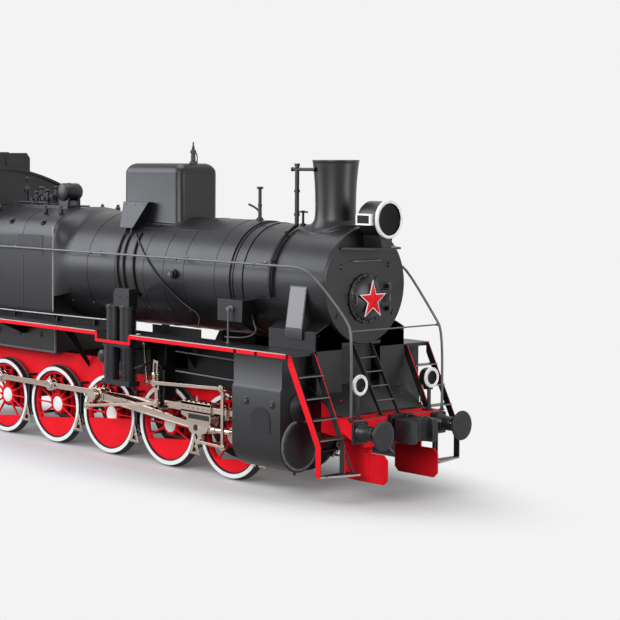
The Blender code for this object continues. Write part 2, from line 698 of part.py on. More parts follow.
def main_frame(datum):
    """Two plate frames with a leg at each axle, tied by cross plates."""
    front, rear = BEAM_FACE + 0.36, DRAG_REAR
    foot, leg_foot = 1.0, 0.47
    leg, leg_top = 0.21, 0.30
    step_y, step_run = -1.02, 0.15
    nose, nose_top = 0.50, BEAM_TOP - 0.06      # the front end dips below the apron
    nose_foot, nose_run = BEAM_FOOT + 0.05, 1.2
    tail_run, tail_rise = 0.9, 0.4
    low = []
    for i in range(AXLE_COUNT):
        y = axle_y(i)
        low += [(y - leg_top, foot), (y - leg, leg_foot), (y + leg, leg_foot), (y + leg_top, foot)]
    outline = ([(front + nose, FRAME_FRONT_TOP), (front, nose_top), (front, nose_foot),
                (front + nose_run, foot)] + low
               + [(rear - tail_run, foot), (rear, BEAM_FOOT), (rear, FRAME_FRONT_TOP),
                  (rear - tail_rise, FRAME_TOP), (step_y, FRAME_TOP), (step_y - step_run, FRAME_FRONT_TOP)])
    inner, outer = FRAME_X - FRAME_T / 2, FRAME_X + FRAME_T / 2
    bore_r = (AXLE_R + RUN_GAP) / math.cos(math.pi / BEARING_FACETS)
    bores = [ring((axle_y(i), WHEEL_R), bore_r, BEARING_FACETS) for i in range(AXLE_COUNT)]
    pieces = [slab(outline, "x", inner, outer, bores), flip(slab(outline, "x", inner, outer, bores))]
    bay = AXLE_PITCH / 2
    plate_foot, front_head, rear_head = foot + 0.03, FRAME_FRONT_TOP - 0.04, FRAME_TOP - 0.14
    # cross plates: (middle y, half thickness, foot z, top z)
    stretchers = ((front + 0.30, 0.06, BEAM_FOOT + 0.08, nose_top),
                  (CYL_FRONT + 0.2, 0.08, plate_foot, front_head),
                  (axle_y(1) - bay, 0.05, plate_foot, front_head),
                  (axle_y(2) - bay, 0.05, plate_foot, front_head),
                  (axle_y(3) - bay, 0.05, plate_foot, rear_head),
                  (FIREBOX_REAR - 0.12, 0.05, plate_foot, rear_head),
                  (rear - 0.22, 0.18, BEAM_FOOT + 0.03, front_head))
    for y, t, z0, z1 in stretchers:
        pieces.append(box((-FRAME_X, y - t, z0), (FRAME_X, y + t, z1)))
    return make("main_frame", pieces, "red", datum)


def buffer_beam(datum):
    """The front beam: a face plate, a top shelf and end gussets."""
    sheet = BEAM_SHEET
    depth = 0.36 - GAP
    taper = 0.14
    rib_x = 0.30            # of the inner ribs, from the centre line
    rib_tail, rib_in = 0.12, 0.02
    rear = BEAM_FACE + depth
    cut = BEAM_W - taper * 2
    face = [(-BEAM_W, BEAM_TOP), (-BEAM_W, BEAM_FOOT + taper), (-cut, BEAM_FOOT),
            (cut, BEAM_FOOT), (BEAM_W, BEAM_FOOT + taper), (BEAM_W, BEAM_TOP)]
    pieces = [slab(face, "y", BEAM_FACE, BEAM_FACE + sheet),
              box((-BEAM_W, BEAM_FACE + GAP, BEAM_TOP - sheet), (BEAM_W, rear, BEAM_TOP - GAP))]
    root, head = BEAM_FACE + sheet / 2, BEAM_TOP - sheet / 2
    tail = rear - rib_in
    edge = [(root, head), (root, BEAM_FOOT + taper), (tail, BEAM_TOP - rib_tail), (tail, head)]
    for x in (-BEAM_W, -rib_x - sheet, rib_x, BEAM_W - sheet):
        pieces.append(slab(edge, "x", x + GAP, x + sheet - GAP))
    return make("buffer_beam", pieces, "red", datum)


def buffers(name, side, datum):
    """A sprung buffer: square base, stepped housing and round head."""
    base_y = BEAM_FACE - GAP
    base, base_top = 0.17, 0.153
    plate, head_t = 0.05, 0.045
    x = BUFFER_X * side
    head_rear = BUFFER_FACE + head_t
    # housing, stem and head: (y, radius)
    profile = [(base_y - plate / 2, 0), (base_y - plate / 2, 0.14), (base_y - 0.16, 0.115),
               (base_y - 0.30, 0.105), (base_y - 0.30, 0.062), (head_rear, 0.062),
               (head_rear, BUFFER_R - 0.012), (BUFFER_FACE + head_t / 2, BUFFER_R),
               (BUFFER_FACE + 0.006, BUFFER_R - 0.006), (BUFFER_FACE, BUFFER_R - 0.03), (BUFFER_FACE, 0)]
    inner = min(base, BEAM_W - BUFFER_X)
    pieces = [turned(profile, "y", (x, 0, BUFFER_Z), 16),
              box((x - inner, base_y - plate, BUFFER_Z - base), (x + inner, base_y, BUFFER_Z + base_top))]
    return make(f"buffer_{name}", pieces, "iron", datum)


def coupler(datum):
    """The automatic knuckle coupler: box shank, head with jaw, and knuckle."""
    shank, shank_front, shank_rear = 0.13, -5.66, BEAM_FACE - 0.07
    foot, top = 0.885, 1.215
    pocket, pocket_t = 0.24, 0.08
    pocket_foot, pocket_top = BUFFER_Z - 0.20, BEAM_TOP + 0.03
    # the head from above, round its jaw: (x, y)
    head = [(-0.24, -5.62), (-0.30, -5.80), (-0.30, NOSE + 0.02), (-0.17, NOSE), (-0.10, NOSE + 0.14),
            (0.06, NOSE + 0.17), (0.16, NOSE + 0.10), (0.16, NOSE), (0.27, NOSE),
            (0.33, -5.80), (0.24, -5.62)]
    pieces = [slab(head, "z", foot, top),
              box((-shank, shank_front, BUFFER_Z - shank), (shank, shank_rear, BUFFER_Z + shank)),
              box((-pocket, BEAM_FACE - pocket_t, pocket_foot), (pocket, BEAM_FACE - GAP, pocket_top))]
    return make("coupler", pieces, "iron", datum)


def rail_guard(name, side, datum):
    """A guard blade hung behind the beam, in front of one wheel."""
    inner, sheet = 0.53, 0.03
    front, rear = -5.76, -4.97
    foot, head = 0.29, 0.72
    corner = 0.07
    hanger_top = BEAM_FOOT + 0.13
    hanger_rear = BEAM_FACE + BEAM_SHEET + GAP
    outline = [(rear, hanger_top), (rear, foot + corner), (rear + corner, foot), (front + corner, foot),
               (front, foot + corner), (front, head - corner), (front + corner, head),
               (hanger_rear, head + corner / 2), (hanger_rear, hanger_top)]
    blade = slab(outline, "x", inner, inner + sheet)
    if side < 0:
        flip(blade)
    return make(f"rail_guard_{name}", [blade], "red", datum)


def lamp(name, side, datum):
    """A round marker lamp on its bracket at one end of the beam."""
    x = 0.779 * side
    z = 1.722
    face = -5.461
    outer_r, glass_r, sunk = 0.153, 0.10, 0.012
    deep, shoulder = 0.17, 0.12
    post_half, post_front, post_rear = 0.04, 0.04, 0.10
    foot_half, foot_front, foot_rear, foot_t = 0.06, 0.02, 0.14, 0.025
    visor_half, visor_front, visor_rear, visor_drop = 0.05, 0.03, 0.13, 0.03
    seat = BEAM_TOP + GAP
    body = [(face + sunk, 0), (face + sunk, glass_r), (face, glass_r), (face, outer_r),
            (face + shoulder, outer_r - sunk), (face + deep, glass_r), (face + deep, 0)]
    pieces = [
        turned(body, "y", (x, 0, z), 16),
        box((x - post_half, face + post_front, seat), (x + post_half, face + post_rear, z - outer_r * 0.8)),
        box((x - foot_half, face + foot_front, seat), (x + foot_half, face + foot_rear, BEAM_TOP + foot_t)),
        box((x - visor_half, face + visor_front, z - outer_r - visor_drop),
            (x + visor_half, face + visor_rear, z - outer_r * 0.7)),
    ]
    return make(f"marker_lamp_{name}", pieces, "black", datum)


def smokebox(datum):
    """The hollow smokebox with its front plate, door mouth and hinge lugs."""
    r, wall = SMOKEBOX_R, SMOKEBOX_WALL
    inner = r - wall
    mouth = DOOR_R - 0.035
    edge = 0.05             # the rounded edge of the front plate
    lug_half, lug_out, lug_tall = 0.03, 0.095, 0.06
    shell = [(SMOKEBOX_FRONT, 0), (SMOKEBOX_FRONT, r - edge), (SMOKEBOX_FRONT + 0.015, r - 0.012),
             (SMOKEBOX_FRONT + edge, r), (SMOKEBOX_REAR, r), (SMOKEBOX_REAR, inner),
             (SMOKEBOX_FRONT + wall, inner), (SMOKEBOX_FRONT + wall, 0)]
    pieces = [turned(shell, "y", (0, 0, BOILER_Z), BOILER_FACETS, snug=True)]
    for z in (LUG_LOW, LUG_HIGH):
        pieces.append(box((HINGE_X - lug_half, SMOKEBOX_FRONT - lug_out, z),
                          (HINGE_X + lug_half, SMOKEBOX_FRONT + wall / 2, z + lug_tall)))
    facets = 12
    pin_hole = (HINGE_PIN_R + RUN_GAP) / math.cos(math.pi / facets)
    drill = DOOR_R * 1.4
    cutters = [rod((0, SMOKEBOX_FRONT - wall, DOOR_Z), (0, SMOKEBOX_FRONT + wall * 3, DOOR_Z), mouth, 24),
               rod((HINGE_X, HINGE_Y, DOOR_Z - drill), (HINGE_X, HINGE_Y, DOOR_Z + drill), pin_hole, facets),
               rod((0, CHIMNEY_Y, BOILER_Z), (0, CHIMNEY_Y, BOILER_Z + r * 1.5), FLUE_R, 24)]
    return make("smokebox", pieces, "black", datum, cutters)


def smokebox_door(datum):
    """The small domed door and its hinge strap."""
    back = SMOKEBOX_FRONT - GAP
    rim_t, dome = 0.03, 0.11
    # the dome: shares of (its rise, the door's radius)
    dome_share = ((0, 0.93), (0.45, 0.75), (0.85, 0.42), (1, 0.12), (1, 0))
    profile = [(back, 0), (back, DOOR_R), (back - rim_t, DOOR_R)]
    profile += [(back - rim_t - dome * a, DOOR_R * b) for a, b in dome_share]
    pin_end, strap_half = 0.01, 0.022
    facets = 12
    low, high = LUG_LOW + 0.06 + MOVE_GAP, LUG_HIGH - MOVE_GAP
    pieces = [
        turned(profile, "y", (0, 0, DOOR_Z), 24),
        rod((HINGE_X, HINGE_Y, LUG_LOW - pin_end * 2), (HINGE_X, HINGE_Y, LUG_HIGH + 0.06 + pin_end * 2),
            HINGE_PIN_R, facets),
        # the hinge strap fills the space between the two lugs
        box((DOOR_R * 0.80, HINGE_Y - strap_half, low), (HINGE_X + strap_half, HINGE_Y + strap_half, high)),
    ]
    centre = (HINGE_X, HINGE_Y, DOOR_Z)
    axis = empty("smokebox_door_hinge", centre, datum)
    star = star_plate(back - rim_t - dome - GAP, axis, centre)
    return make("smokebox_door", pieces, "black", axis, centre=centre), star


def star_plate(front, axis, centre):
    """The five-pointed star, left plain, on the middle of the door."""
    tip, notch = 0.30, 0.118
    sheet, drop = 0.012, 0.02
    points = 10
    outline = []
    for k in range(points):
        radius = notch if k % 2 else tip
        turn = math.radians(90 + 360 * k / points)
        outline.append((radius * math.cos(turn), DOOR_Z - drop + radius * math.sin(turn)))
    return make("door_star", [slab(outline, "y", front - sheet, front)], "red", axis, centre=centre)


def stack_outside():
    """The stack's outline, top to bottom, as (z, radius)."""
    return [(STACK_TOP, STACK_TOP_R)] + list(STACK_OUTLINE)


def chimney(datum):
    """The flared stack, open right down into the smokebox."""
    outside = stack_outside()
    foot = outside[-1][0]
    profile = outside + [(foot, FLUE_R), (STACK_TOP - STACK_MOUTH, FLUE_R),
                         (STACK_TOP, STACK_TOP_R - STACK_LIP)]
    stack = turned(profile, "z", (0, CHIMNEY_Y, 0), STACK_FACETS)
    return make("chimney", [stack], "black", datum, [boiler_cutter()])


def saddle(datum):
    """The smokebox saddle, its wing plates, sloping apron and steam pipe covers."""
    half = 0.36
    foot = FRAME_FRONT_TOP + GAP
    front, rear = SMOKEBOX_FRONT + 0.20, SMOKEBOX_REAR - 0.50
    head = BOILER_Z - SMOKEBOX_R / 2
    apron_half = 0.94
    apron_t = 0.03
    apron_front, apron_rear = BEAM_FACE + 0.33, front + 0.02
    apron_low, apron_high = BEAM_TOP, 1.60
    wing_front, wing_rear = SMOKEBOX_FRONT + 0.07, SMOKEBOX_REAR - 0.85
    wing_in, wing_out, wing_z = 0.42, 0.95, 2.43
    wing_root = 2.62            # height of the wing where it meets the saddle
    plate_foot, plate_rear = 1.46, BOARD_FRONT - GAP
    ledge_z, ledge_t = 2.20, 0.05
    # steam pipe cover: (x, z) of its section, and its ends
    cover = [(0.98, wing_z - 0.02), (0.86, 3.14), (0.70, 3.14), (0.70, wing_z - 0.02)]
    cover_ends = (-4.50, -4.16)
    pieces = [
        slab([(front, foot), (rear, foot), (rear, head), (front, head)], "x", -half, half),
        slab([(apron_front, apron_low), (apron_rear, apron_high), (apron_rear, apron_high + apron_t),
              (apron_front, apron_low + apron_t)], "x", -apron_half, apron_half),
        box((-wing_in - OVER, wing_front, ledge_z), (wing_in + OVER, front + OVER, ledge_z + ledge_t)),
    ]
    for _, side in SIDES:
        outline = [(half - OVER, BOARD_TOP + GAP), (half - OVER, wing_root), (wing_in, wing_root),
                   (wing_out - 0.10, wing_z), (wing_out, wing_z), (wing_out, BOARD_TOP + GAP)]
        shapes = [
            slab(outline, "y", front - OVER, wing_rear),
            slab([(wing_in, plate_foot), (wing_in, wing_root), (wing_out - 0.10, wing_z),
                  (wing_out, wing_z), (wing_out, plate_foot)], "y", wing_front, plate_rear),
            slab([(wing_in, BOARD_TOP + GAP), (wing_in, wing_root), (wing_out - 0.10, wing_z),
                  (wing_out, wing_z), (wing_out, BOARD_TOP + GAP)], "y", plate_rear - OVER, front),
            slab(cover, "y", *cover_ends),
        ]
        pieces += [flip(shape) if side < 0 else shape for shape in shapes]
    return make("saddle", pieces, "black", datum, [boiler_cutter()])


def barrel(datum):
    """The lagged boiler barrel, drawn out towards the firebox."""
    skin = barrel_skin()
    profile = [(skin[0][0], 0)] + skin + [(skin[-1][0], 0)]
    shell = turned(profile, "y", (0, 0, BOILER_Z), BOILER_FACETS, snug=True)
    return make("boiler_barrel", [shell] + valve_mast(), "black", datum)


def firebox_section(grow=0.0, foot=None):
    """The casing's outline: round shoulders, a low crown and a waisted foot."""
    w = FIREBOX_W + grow
    top = FIREBOX_TOP + grow
    turn, steps = 74, 5
    z0 = top - CROWN_RISE - SHOULDER_R * math.sin(math.radians(turn))
    right = arc((w - SHOULDER_R, z0), SHOULDER_R, 0, turn, steps)
    end = right[-1][0]
    crown_r = (end ** 2 + CROWN_RISE ** 2) / (2 * CROWN_RISE)
    crown = [(x, top - crown_r + math.sqrt(crown_r ** 2 - x ** 2)) for x in (end / 2, 0, -end / 2)]
    left = [(-x, z) for x, z in reversed(right)]
    if foot is not None:
        return right + crown + left + [(-w, foot), (w, foot)]
    narrow = w - FIREBOX_WAIST
    foot = [(narrow, FIREBOX_FOOT), (narrow, WAIST_LOW), (w, WAIST_HIGH)]
    return right + crown + left + [(-x, z) for x, z in reversed(foot)] + foot


def firebox(datum):
    """The firebox casing, solid because nothing opens it."""
    return make("firebox", [slab(firebox_section(), "y", FIREBOX_FRONT, FIREBOX_REAR)], "black", datum)


def firebox_cutter(front, rear, foot):
    """The casing's outside, a little larger, to cut what sits on it."""
    return slab(firebox_section(GAP, foot), "y", front, rear)


def ashpan(datum):
    """The ash hopper below the grate, between the rear frames."""
    half = FRAME_X - FRAME_T / 2 - MOVE_GAP
    top, shoulder, neck, foot = FIREBOX_FOOT - GAP, 1.25, 1.0, 0.75
    front, rear = FIREBOX_FRONT + 0.35, FIREBOX_REAR - 0.3
    # (y, z), between the fourth axle and the fifth at its narrowest
    outline = [(front, top), (front, shoulder), (axle_y(3) + 0.26, neck), (axle_y(3) + 0.4, foot),
               (axle_y(4) - 0.45, foot), (axle_y(4) - 0.2, neck), (rear, shoulder), (rear, top)]
    return make("ashpan", [slab(outline, "x", -half, half)], "iron", datum)


def dome_casing(datum):
    """The housing over dome and sand box, its hopper covers and safety valve."""
    half, front, rear = 0.44, -1.28, 0.12
    top, eaves = 4.885, 4.72
    corner, corner_steps = 0.12, 3
    foot = BOILER_Z + BARREL_R * 0.72
    plan = []
    for cx, cy, start in ((half - corner, front + corner, -90), (half - corner, rear - corner, 0),
                          (-half + corner, rear - corner, 90), (-half + corner, front + corner, 180)):
        plan += arc((cx, cy), corner, start, start + 90, corner_steps)
    walls = slab(plan, "z", foot, eaves)
    # the lid is the same plan drawn in as it rises: (height above the eaves, inset)
    lid_rows = ((-OVER, 0.003), (0.05, 0.008), (0.11, 0.04), (0.145, 0.08), (top - eaves, 0.14))
    bm = bmesh.new()
    middle = (front + rear) / 2
    reach = (rear - front) / 2
    rows = []
    for rise, inset in lid_rows:
        sx, sy = (half - inset) / half, (reach - inset) / reach
        rows.append([bm.verts.new((x * sx, middle + (y - middle) * sy, eaves + rise)) for x, y in plan])
    for one, two in zip(rows, rows[1:]):
        for k in range(len(plan)):
            bm.faces.new((one[k - 1], one[k], two[k], two[k - 1]))
    bm.faces.new(rows[0])
    bm.faces.new(rows[-1])
    pieces = [walls, object_from(bm, "lid")]
    # hopper cover: its side outline (y, z) and how far it stands out, top and foot
    hopper = [(-0.05, 4.24), (-0.66, 4.24), (-0.44, 3.80), (-0.12, 3.80)]
    hopper_in, hopper_out, hopper_slope = 0.30, 0.58, 0.32
    for _, side in SIDES:
        shape = slab(hopper, "x", hopper_in, hopper_out)
        for v in shape.data.vertices:
            if v.co.x > half:
                v.co.x += (hopper[0][1] - v.co.z) * hopper_slope
        pieces.append(flip(shape) if side < 0 else shape)
    valve_y = -1.13
    # safety valve: (height above the lid, radius)
    valve = ((-OVER, 0), (-OVER, 0.07), (0.04, 0.07), (0.04, 0.048), (0.25, 0.045), (0.28, 0.02),
             (0.36, 0.012), (0.36, 0))
    pieces.append(turned([(top + rise, radius) for rise, radius in valve], "z", (0, valve_y, 0), 12))
    return make("dome_casing", pieces, "black", datum, [boiler_cutter()])


def turbo_generator(datum):
    """The steam turbo-generator, with the valves that stand behind it."""
    x, y = -0.10, 1.95
    foot = FIREBOX_TOP - 0.10
    drum_z = 4.36
    # drum: (distance from its middle, radius)
    drum = ((-0.22, 0), (-0.22, 0.13), (-0.19, 0.165), (0.18, 0.165), (0.22, 0.12), (0.22, 0))
    seat_half, seat_front, seat_rear, seat_depth = 0.26, 0.24, 1.30, 0.25
    leg_x, leg_y = 0.14, 0.10
    pieces = [
        box((x - seat_half, y - seat_front, foot - seat_depth), (x + seat_half, y + seat_rear, foot + 0.12)),
        turned([(x + along, radius) for along, radius in drum], "x", (0, y, drum_z), 16),
        box((x - leg_x, y - leg_y, foot), (x + leg_x, y + leg_y, drum_z - leg_y)),
    ]
    # valves: (x and y from the drum, radius, height)
    valves = ((-0.16, 0.45, 0.065, 0.40), (0.08, 0.50, 0.06, 0.46), (-0.14, 0.80, 0.06, 0.36),
              (0.10, 0.95, 0.08, 0.44), (-0.08, 1.15, 0.05, 0.62))
    # a valve's outline, foot to top, as shares of (height, radius)
    valve_share = ((0, 0), (0, 1), (0.4, 1), (0.45, 1.3), (0.55, 1.3), (0.6, 0.8), (0.95, 0.7), (1, 0))
    for dx, dy, radius, tall in valves:
        outline = [(foot + tall * a, radius * b) for a, b in valve_share]
        pieces.append(turned(outline, "z", (x + dx, y + dy, 0), 8))
    seat = firebox_cutter(FIREBOX_FRONT, FIREBOX_REAR, FIREBOX_TOP - SHOULDER_R * 2)
    return make("turbo_generator", pieces, "iron", datum, [seat])


def headlamp(datum):
    """The big headlamp on its shelf in front of the chimney."""
    z, face = 4.085, -5.30
    ring_r, glass_r = 0.285, 0.232
    rim, shell_r = 0.05, 0.265
    deep = 0.47
    profile = [(face + rim / 2, 0), (face + rim / 2, glass_r), (face, glass_r + 0.008),
               (face, ring_r - 0.006), (face + 0.012, ring_r), (face + rim, ring_r), (face + rim, shell_r),
               (face + deep - 0.07, shell_r), (face + deep, ring_r * 0.6), (face + deep, 0)]
    case_out, case_half = ring_r + 0.05, 0.085
    neck_half = 0.10
    # the shelf, half of its outline (x, y), and its thickness
    shelf_z, shelf_t = 3.64, 0.03
    shelf = [(0.28, face + 0.03), (0.56, SMOKEBOX_FRONT - 0.03), (0.56, SMOKEBOX_FRONT + 0.12)]
    outline = shelf + [(-x, y) for x, y in reversed(shelf)]
    pieces = [
        turned(profile, "y", (0, 0, z), 20),
        box((-case_out, face + 0.08, z - case_half), (case_out, face + 0.36, z + case_half)),
        box((-neck_half, face + 0.06, shelf_z), (neck_half, face + 0.40, z - ring_r * 0.8)),
        slab(outline, "z", shelf_z, shelf_z + shelf_t),
    ]
    return make("headlamp", pieces, "black", datum, [boiler_cutter(SMOKEBOX_FRONT - GAP)])


def roof_line(x, drop=0.0):
    """Height of the cab roof's outer skin at x."""
    share = min(1, abs(x) / CAB_W)
    return CAB_CROWN - (CAB_CROWN - CAB_EAVES) * share ** ROOF_CURVE - drop


def roof_skin(drop=0.0):
    """Points along the roof's upper skin, left to right, lowered by drop."""
    steps = 8
    edge = CAB_W + ROOF_EAVE
    return [(x * edge / steps, roof_line(x * edge / steps, drop)) for x in range(steps, -steps - 1, -1)]


def cab_front(datum):
    """The cab's front wall, cut round the firebox, with two windows."""
    half = CAB_W - CAB_WALL - GAP
    top = CAB_CROWN
    outline = [(half, CAB_FLOOR + GAP), (half, top), (-half, top), (-half, CAB_FLOOR + GAP)]
    wide, tall = 0.26, 0.55
    hole_x, hole_z = 1.22, 3.55
    front, rear = CAB_FRONT - OVER, CAB_FRONT + CAB_WALL + OVER
    cutters = [firebox_cutter(front, rear, FIREBOX_FOOT)]
    for _, side in SIDES:
        cutters.append(box((side * hole_x - wide / 2, front, hole_z - tall / 2),
                           (side * hole_x + wide / 2, rear, hole_z + tall / 2)))
    over = roof_skin(ROOF_T + GAP)
    clear = top * 2
    cutters.append(slab(over + [(over[-1][0], clear), (over[0][0], clear)], "y", front, rear))
    wall = slab(outline, "y", CAB_FRONT, CAB_FRONT + CAB_WALL)
    return make("cab_front", [wall], "black", datum, cutters)


def cab_side(name, side, datum):
    """A cab side with two windows and the doorway behind them."""
    sill, head = 3.05, 3.85
    window_w = 0.42
    foot, top = CAB_FLOOR - 0.45, CAB_EAVES - ROOF_T - GAP
    leaf_back, leaf_front = 0.006, 0.04
    outline = [(CAB_FRONT, foot), (DOORWAY_FRONT, foot), (DOORWAY_FRONT, DOORWAY_TOP),
               (DOORWAY_REAR, DOORWAY_TOP), (DOORWAY_REAR, foot), (CAB_REAR, foot),
               (CAB_REAR, top), (CAB_FRONT, top)]
    holes = []
    for y in (CAB_FRONT + 0.10, CAB_FRONT + 0.57):
        holes.append([(y, sill), (y + window_w, sill), (y + window_w, head), (y, head)])
    pieces = [slab(outline, "x", CAB_W - CAB_WALL, CAB_W, holes)] + cab_steps()
    for z in DOOR_HINGES:
        for low in (z - KNUCKLE * 2, z + KNUCKLE + GAP):
            high = low + KNUCKLE - GAP
            pieces.append(rod((CAB_HINGE_X, CAB_HINGE_Y, low), (CAB_HINGE_X, CAB_HINGE_Y, high),
                              CAB_HINGE_R, 8))
            pieces.append(box((CAB_W - CAB_WALL / 2, DOORWAY_FRONT - leaf_front, low),
                              (CAB_HINGE_X + HINGE_LEAF, CAB_HINGE_Y - leaf_back, high)))
    if side < 0:
        pieces = [flip(p) for p in pieces]
    return make(f"cab_side_{name}", pieces, "black", datum)


def cab_door(name, side, datum):
    """The cab's side door, hung on its front edge, with a window."""
    inset = 0.008
    inner, outer = CAB_W - CAB_WALL + inset, CAB_W - inset
    front, rear = DOORWAY_FRONT + MOVE_GAP, DOORWAY_REAR - MOVE_GAP
    foot, top = CAB_FLOOR + MOVE_GAP * 2, DOORWAY_TOP - MOVE_GAP
    sill, head = 3.05, 3.80
    stile_front, stile_rear = 0.10, 0.08
    strap_half, strap_run = 0.03, 0.09
    window = [(front + stile_front, sill), (rear - stile_rear, sill), (rear - stile_rear, head),
              (front + stile_front, head)]
    shapes = [slab([(front, foot), (rear, foot), (rear, top), (front, top)], "x", inner, outer, [window])]
    for z in DOOR_HINGES:
        shapes.append(rod((CAB_HINGE_X, CAB_HINGE_Y, z - KNUCKLE), (CAB_HINGE_X, CAB_HINGE_Y, z + KNUCKLE),
                          CAB_HINGE_R, 8))
        shapes.append(box((outer - GAP * 10, CAB_HINGE_Y, z - strap_half),
                          (CAB_HINGE_X + HINGE_LEAF, CAB_HINGE_Y + strap_run, z + strap_half)))
    if side < 0:
        shapes = [flip(s) for s in shapes]
    hinge = (side * CAB_HINGE_X, CAB_HINGE_Y, (foot + top) / 2)
    axis = empty(f"cab_door_hinge_{name}", hinge, datum)
    return make(f"cab_door_{name}", shapes, "black", axis, centre=hinge)


def cab_roof(datum):
    """The arched roof with its raised ventilator, open underneath."""
    vent_w, vent_top, chamfer, chamfer_in = 0.66, 5.06, 0.10, 0.08
    front, rear = CAB_FRONT - 0.06, CAB_REAR + 0.12
    vent_front, vent_rear = front + 0.03, rear - 0.5
    shell = slab(roof_skin() + roof_skin(ROOF_T)[::-1], "y", front, rear)
    foot = roof_line(vent_w) - ROOF_T / 2
    half = [(vent_w, foot), (vent_w, vent_top - chamfer), (vent_w - chamfer_in, vent_top)]
    vent = slab(half + [(-x, z) for x, z in reversed(half)], "y", vent_front, vent_rear)
    under = roof_skin(ROOF_T)
    low = CAB_EAVES - 0.5
    hollow = slab(under + [(under[-1][0], low), (under[0][0], low)], "y", front - CAB_W, rear + CAB_W)
    return make("cab_roof", [shell, vent], "black", datum, [hollow])


def cab_floor(datum):
    """The cab's footplate, cut round the firebox."""
    half = CAB_W - CAB_WALL - GAP
    t = 0.05
    w = FIREBOX_W + GAP * 3
    bearer_x, bearer_half = FRAME_X + 0.03, 0.05
    outline = [(-half, CAB_FRONT), (-w, CAB_FRONT), (-w, FIREBOX_REAR + GAP), (w, FIREBOX_REAR + GAP),
               (w, CAB_FRONT), (half, CAB_FRONT), (half, CAB_REAR), (-half, CAB_REAR)]
    pieces = [slab(outline, "z", CAB_FLOOR - t, CAB_FLOOR)]
    for y in (FIREBOX_REAR + 0.18, DRAG_REAR - 0.35):
        pieces.append(box((-bearer_x, y - bearer_half, FRAME_TOP + GAP),
                          (bearer_x, y + bearer_half, CAB_FLOOR - t / 2)))
    return make("cab_floor", pieces, "black", datum)


def running_board(name, side, datum):
    """The platform along one side, with its painted edge and its struts."""
    inner = 0.955
    sheet = 0.035
    edge_t, edge_in = 0.02, 0.002
    top = BOARD_TOP
    front, rear = BOARD_FRONT, CAB_FRONT - GAP
    # where the board steps in round the air pump, on the right side only
    notch = (-1.36, -0.50) if side < 0 else None
    cut_in = 1.28
    dip, dip_band = 0.16, 0.06
    plan = [(inner, front), (BOARD_EDGE, front), (BOARD_EDGE, rear), (inner, rear)]
    if notch:
        plan[2:2] = [(BOARD_EDGE, notch[0]), (cut_in, notch[0]), (cut_in, notch[1]), (BOARD_EDGE, notch[1])]
    pieces = [slab(plan, "z", top - sheet, top)]
    lip = BOARD_EDGE - edge_t
    drop = top - BOARD_LIP
    seam = top - sheet / 2
    runs = [(front, rear)]
    if notch:
        runs = [(front, notch[0]), (notch[1], rear)]
        low, high = top - dip, top - dip + dip_band
        pieces.append(slab([(notch[0] - dip_band, seam), (notch[0] - dip_band, low),
                            (notch[1] + dip_band, low), (notch[1] + dip_band, seam), (notch[1], seam),
                            (notch[1], high), (notch[0], high), (notch[0], seam)],
                           "x", lip + edge_in / 2, BOARD_EDGE - edge_in / 2))
    for y0, y1 in runs:
        pieces.append(box((lip, y0 + edge_in, drop), (BOARD_EDGE - edge_in, y1 - edge_in, seam)))
    # slender struts from the frame, or short brackets from the firebox
    strut_t, strut_deep = 0.03, 0.10
    strut_foot, strut_head = FRAME_FRONT_TOP - 0.04, top - 0.10
    strut_reach, strut_land = 1.26, 0.18
    bracket_reach, bracket_deep = BOARD_EDGE - 0.10, 0.30
    for i in range(AXLE_COUNT):
        y = axle_y(i) + AXLE_PITCH / 2
        if notch and notch[0] < y < notch[1]:
            continue
        if y > FIREBOX_FRONT:
            root = FIREBOX_W - FIREBOX_WAIST + GAP
            outline = [(root, top - bracket_deep), (bracket_reach, strut_head), (bracket_reach, seam),
                       (root, seam)]
        else:
            root = FRAME_X + FRAME_T / 2 + GAP
            outline = [(root, strut_foot), (root, strut_foot - strut_deep), (strut_reach, strut_head),
                       (strut_reach, seam), (strut_reach - strut_land, seam)]
        pieces.append(slab(outline, "y", y, y + strut_t))
    if side < 0:
        pieces = [flip(p) for p in pieces]
    return make(f"running_board_{name}", pieces, "black", datum)


def side_ladder(name, side, datum):
    """The steep steps from the bottom tread up to the running board."""
    sheet = 0.018
    outer, inner = 1.52, BEAM_W + GAP
    top_y, top_z = BOARD_FRONT - GAP, BOARD_TOP - 0.02
    top_deep, top_front = 0.16, 0.06
    bend_y, bend_z = -5.33, 0.88
    foot_z = 0.44
    wide = 0.047            # half the width of a stringer
    rung_half, rung_t = 0.08, 0.012
    tread_t, tread_deep, tread_in = 0.022, 0.20, 0.86
    stay_r = 0.016
    head = [(top_y, top_z), (top_y, top_z - top_deep), (bend_y + wide, bend_z)]
    tail = [(bend_y - wide, bend_z), (top_y - top_front, top_z)]
    foot = [(bend_y + wide, foot_z), (bend_y - wide, foot_z)]
    pieces = [slab(head + foot + tail, "x", outer - sheet, outer),
              slab(head + tail, "x", inner, inner + sheet)]
    # rungs as shares of the way down from the board to the bend
    for share in (0.24, 0.48, 0.71, 0.93):
        y = top_y + (bend_y - top_y) * share
        z = top_z + (bend_z - top_z) * share
        pieces.append(box((inner + sheet / 2, y - rung_half, z - rung_t),
                          (outer - sheet / 2, y + rung_half, z + rung_t)))
    # the wedge-shaped bottom tread, and the stay that holds its inner end
    tread = [(outer - sheet / 2, bend_y + wide), (outer - sheet / 2, bend_y - wide),
             (tread_in, bend_y - tread_deep), (tread_in, bend_y + wide)]
    pieces.append(slab(tread, "z", foot_z, foot_z + tread_t))
    pieces.append(rod((inner + sheet / 2, bend_y + wide / 2, bend_z + wide),
                      (tread_in + stay_r * 2, bend_y - tread_deep / 2, foot_z + tread_t / 2), stay_r, 6))
    if side < 0:
        pieces = [flip(p) for p in pieces]
    return make(f"side_ladder_{name}", pieces, "black", datum)


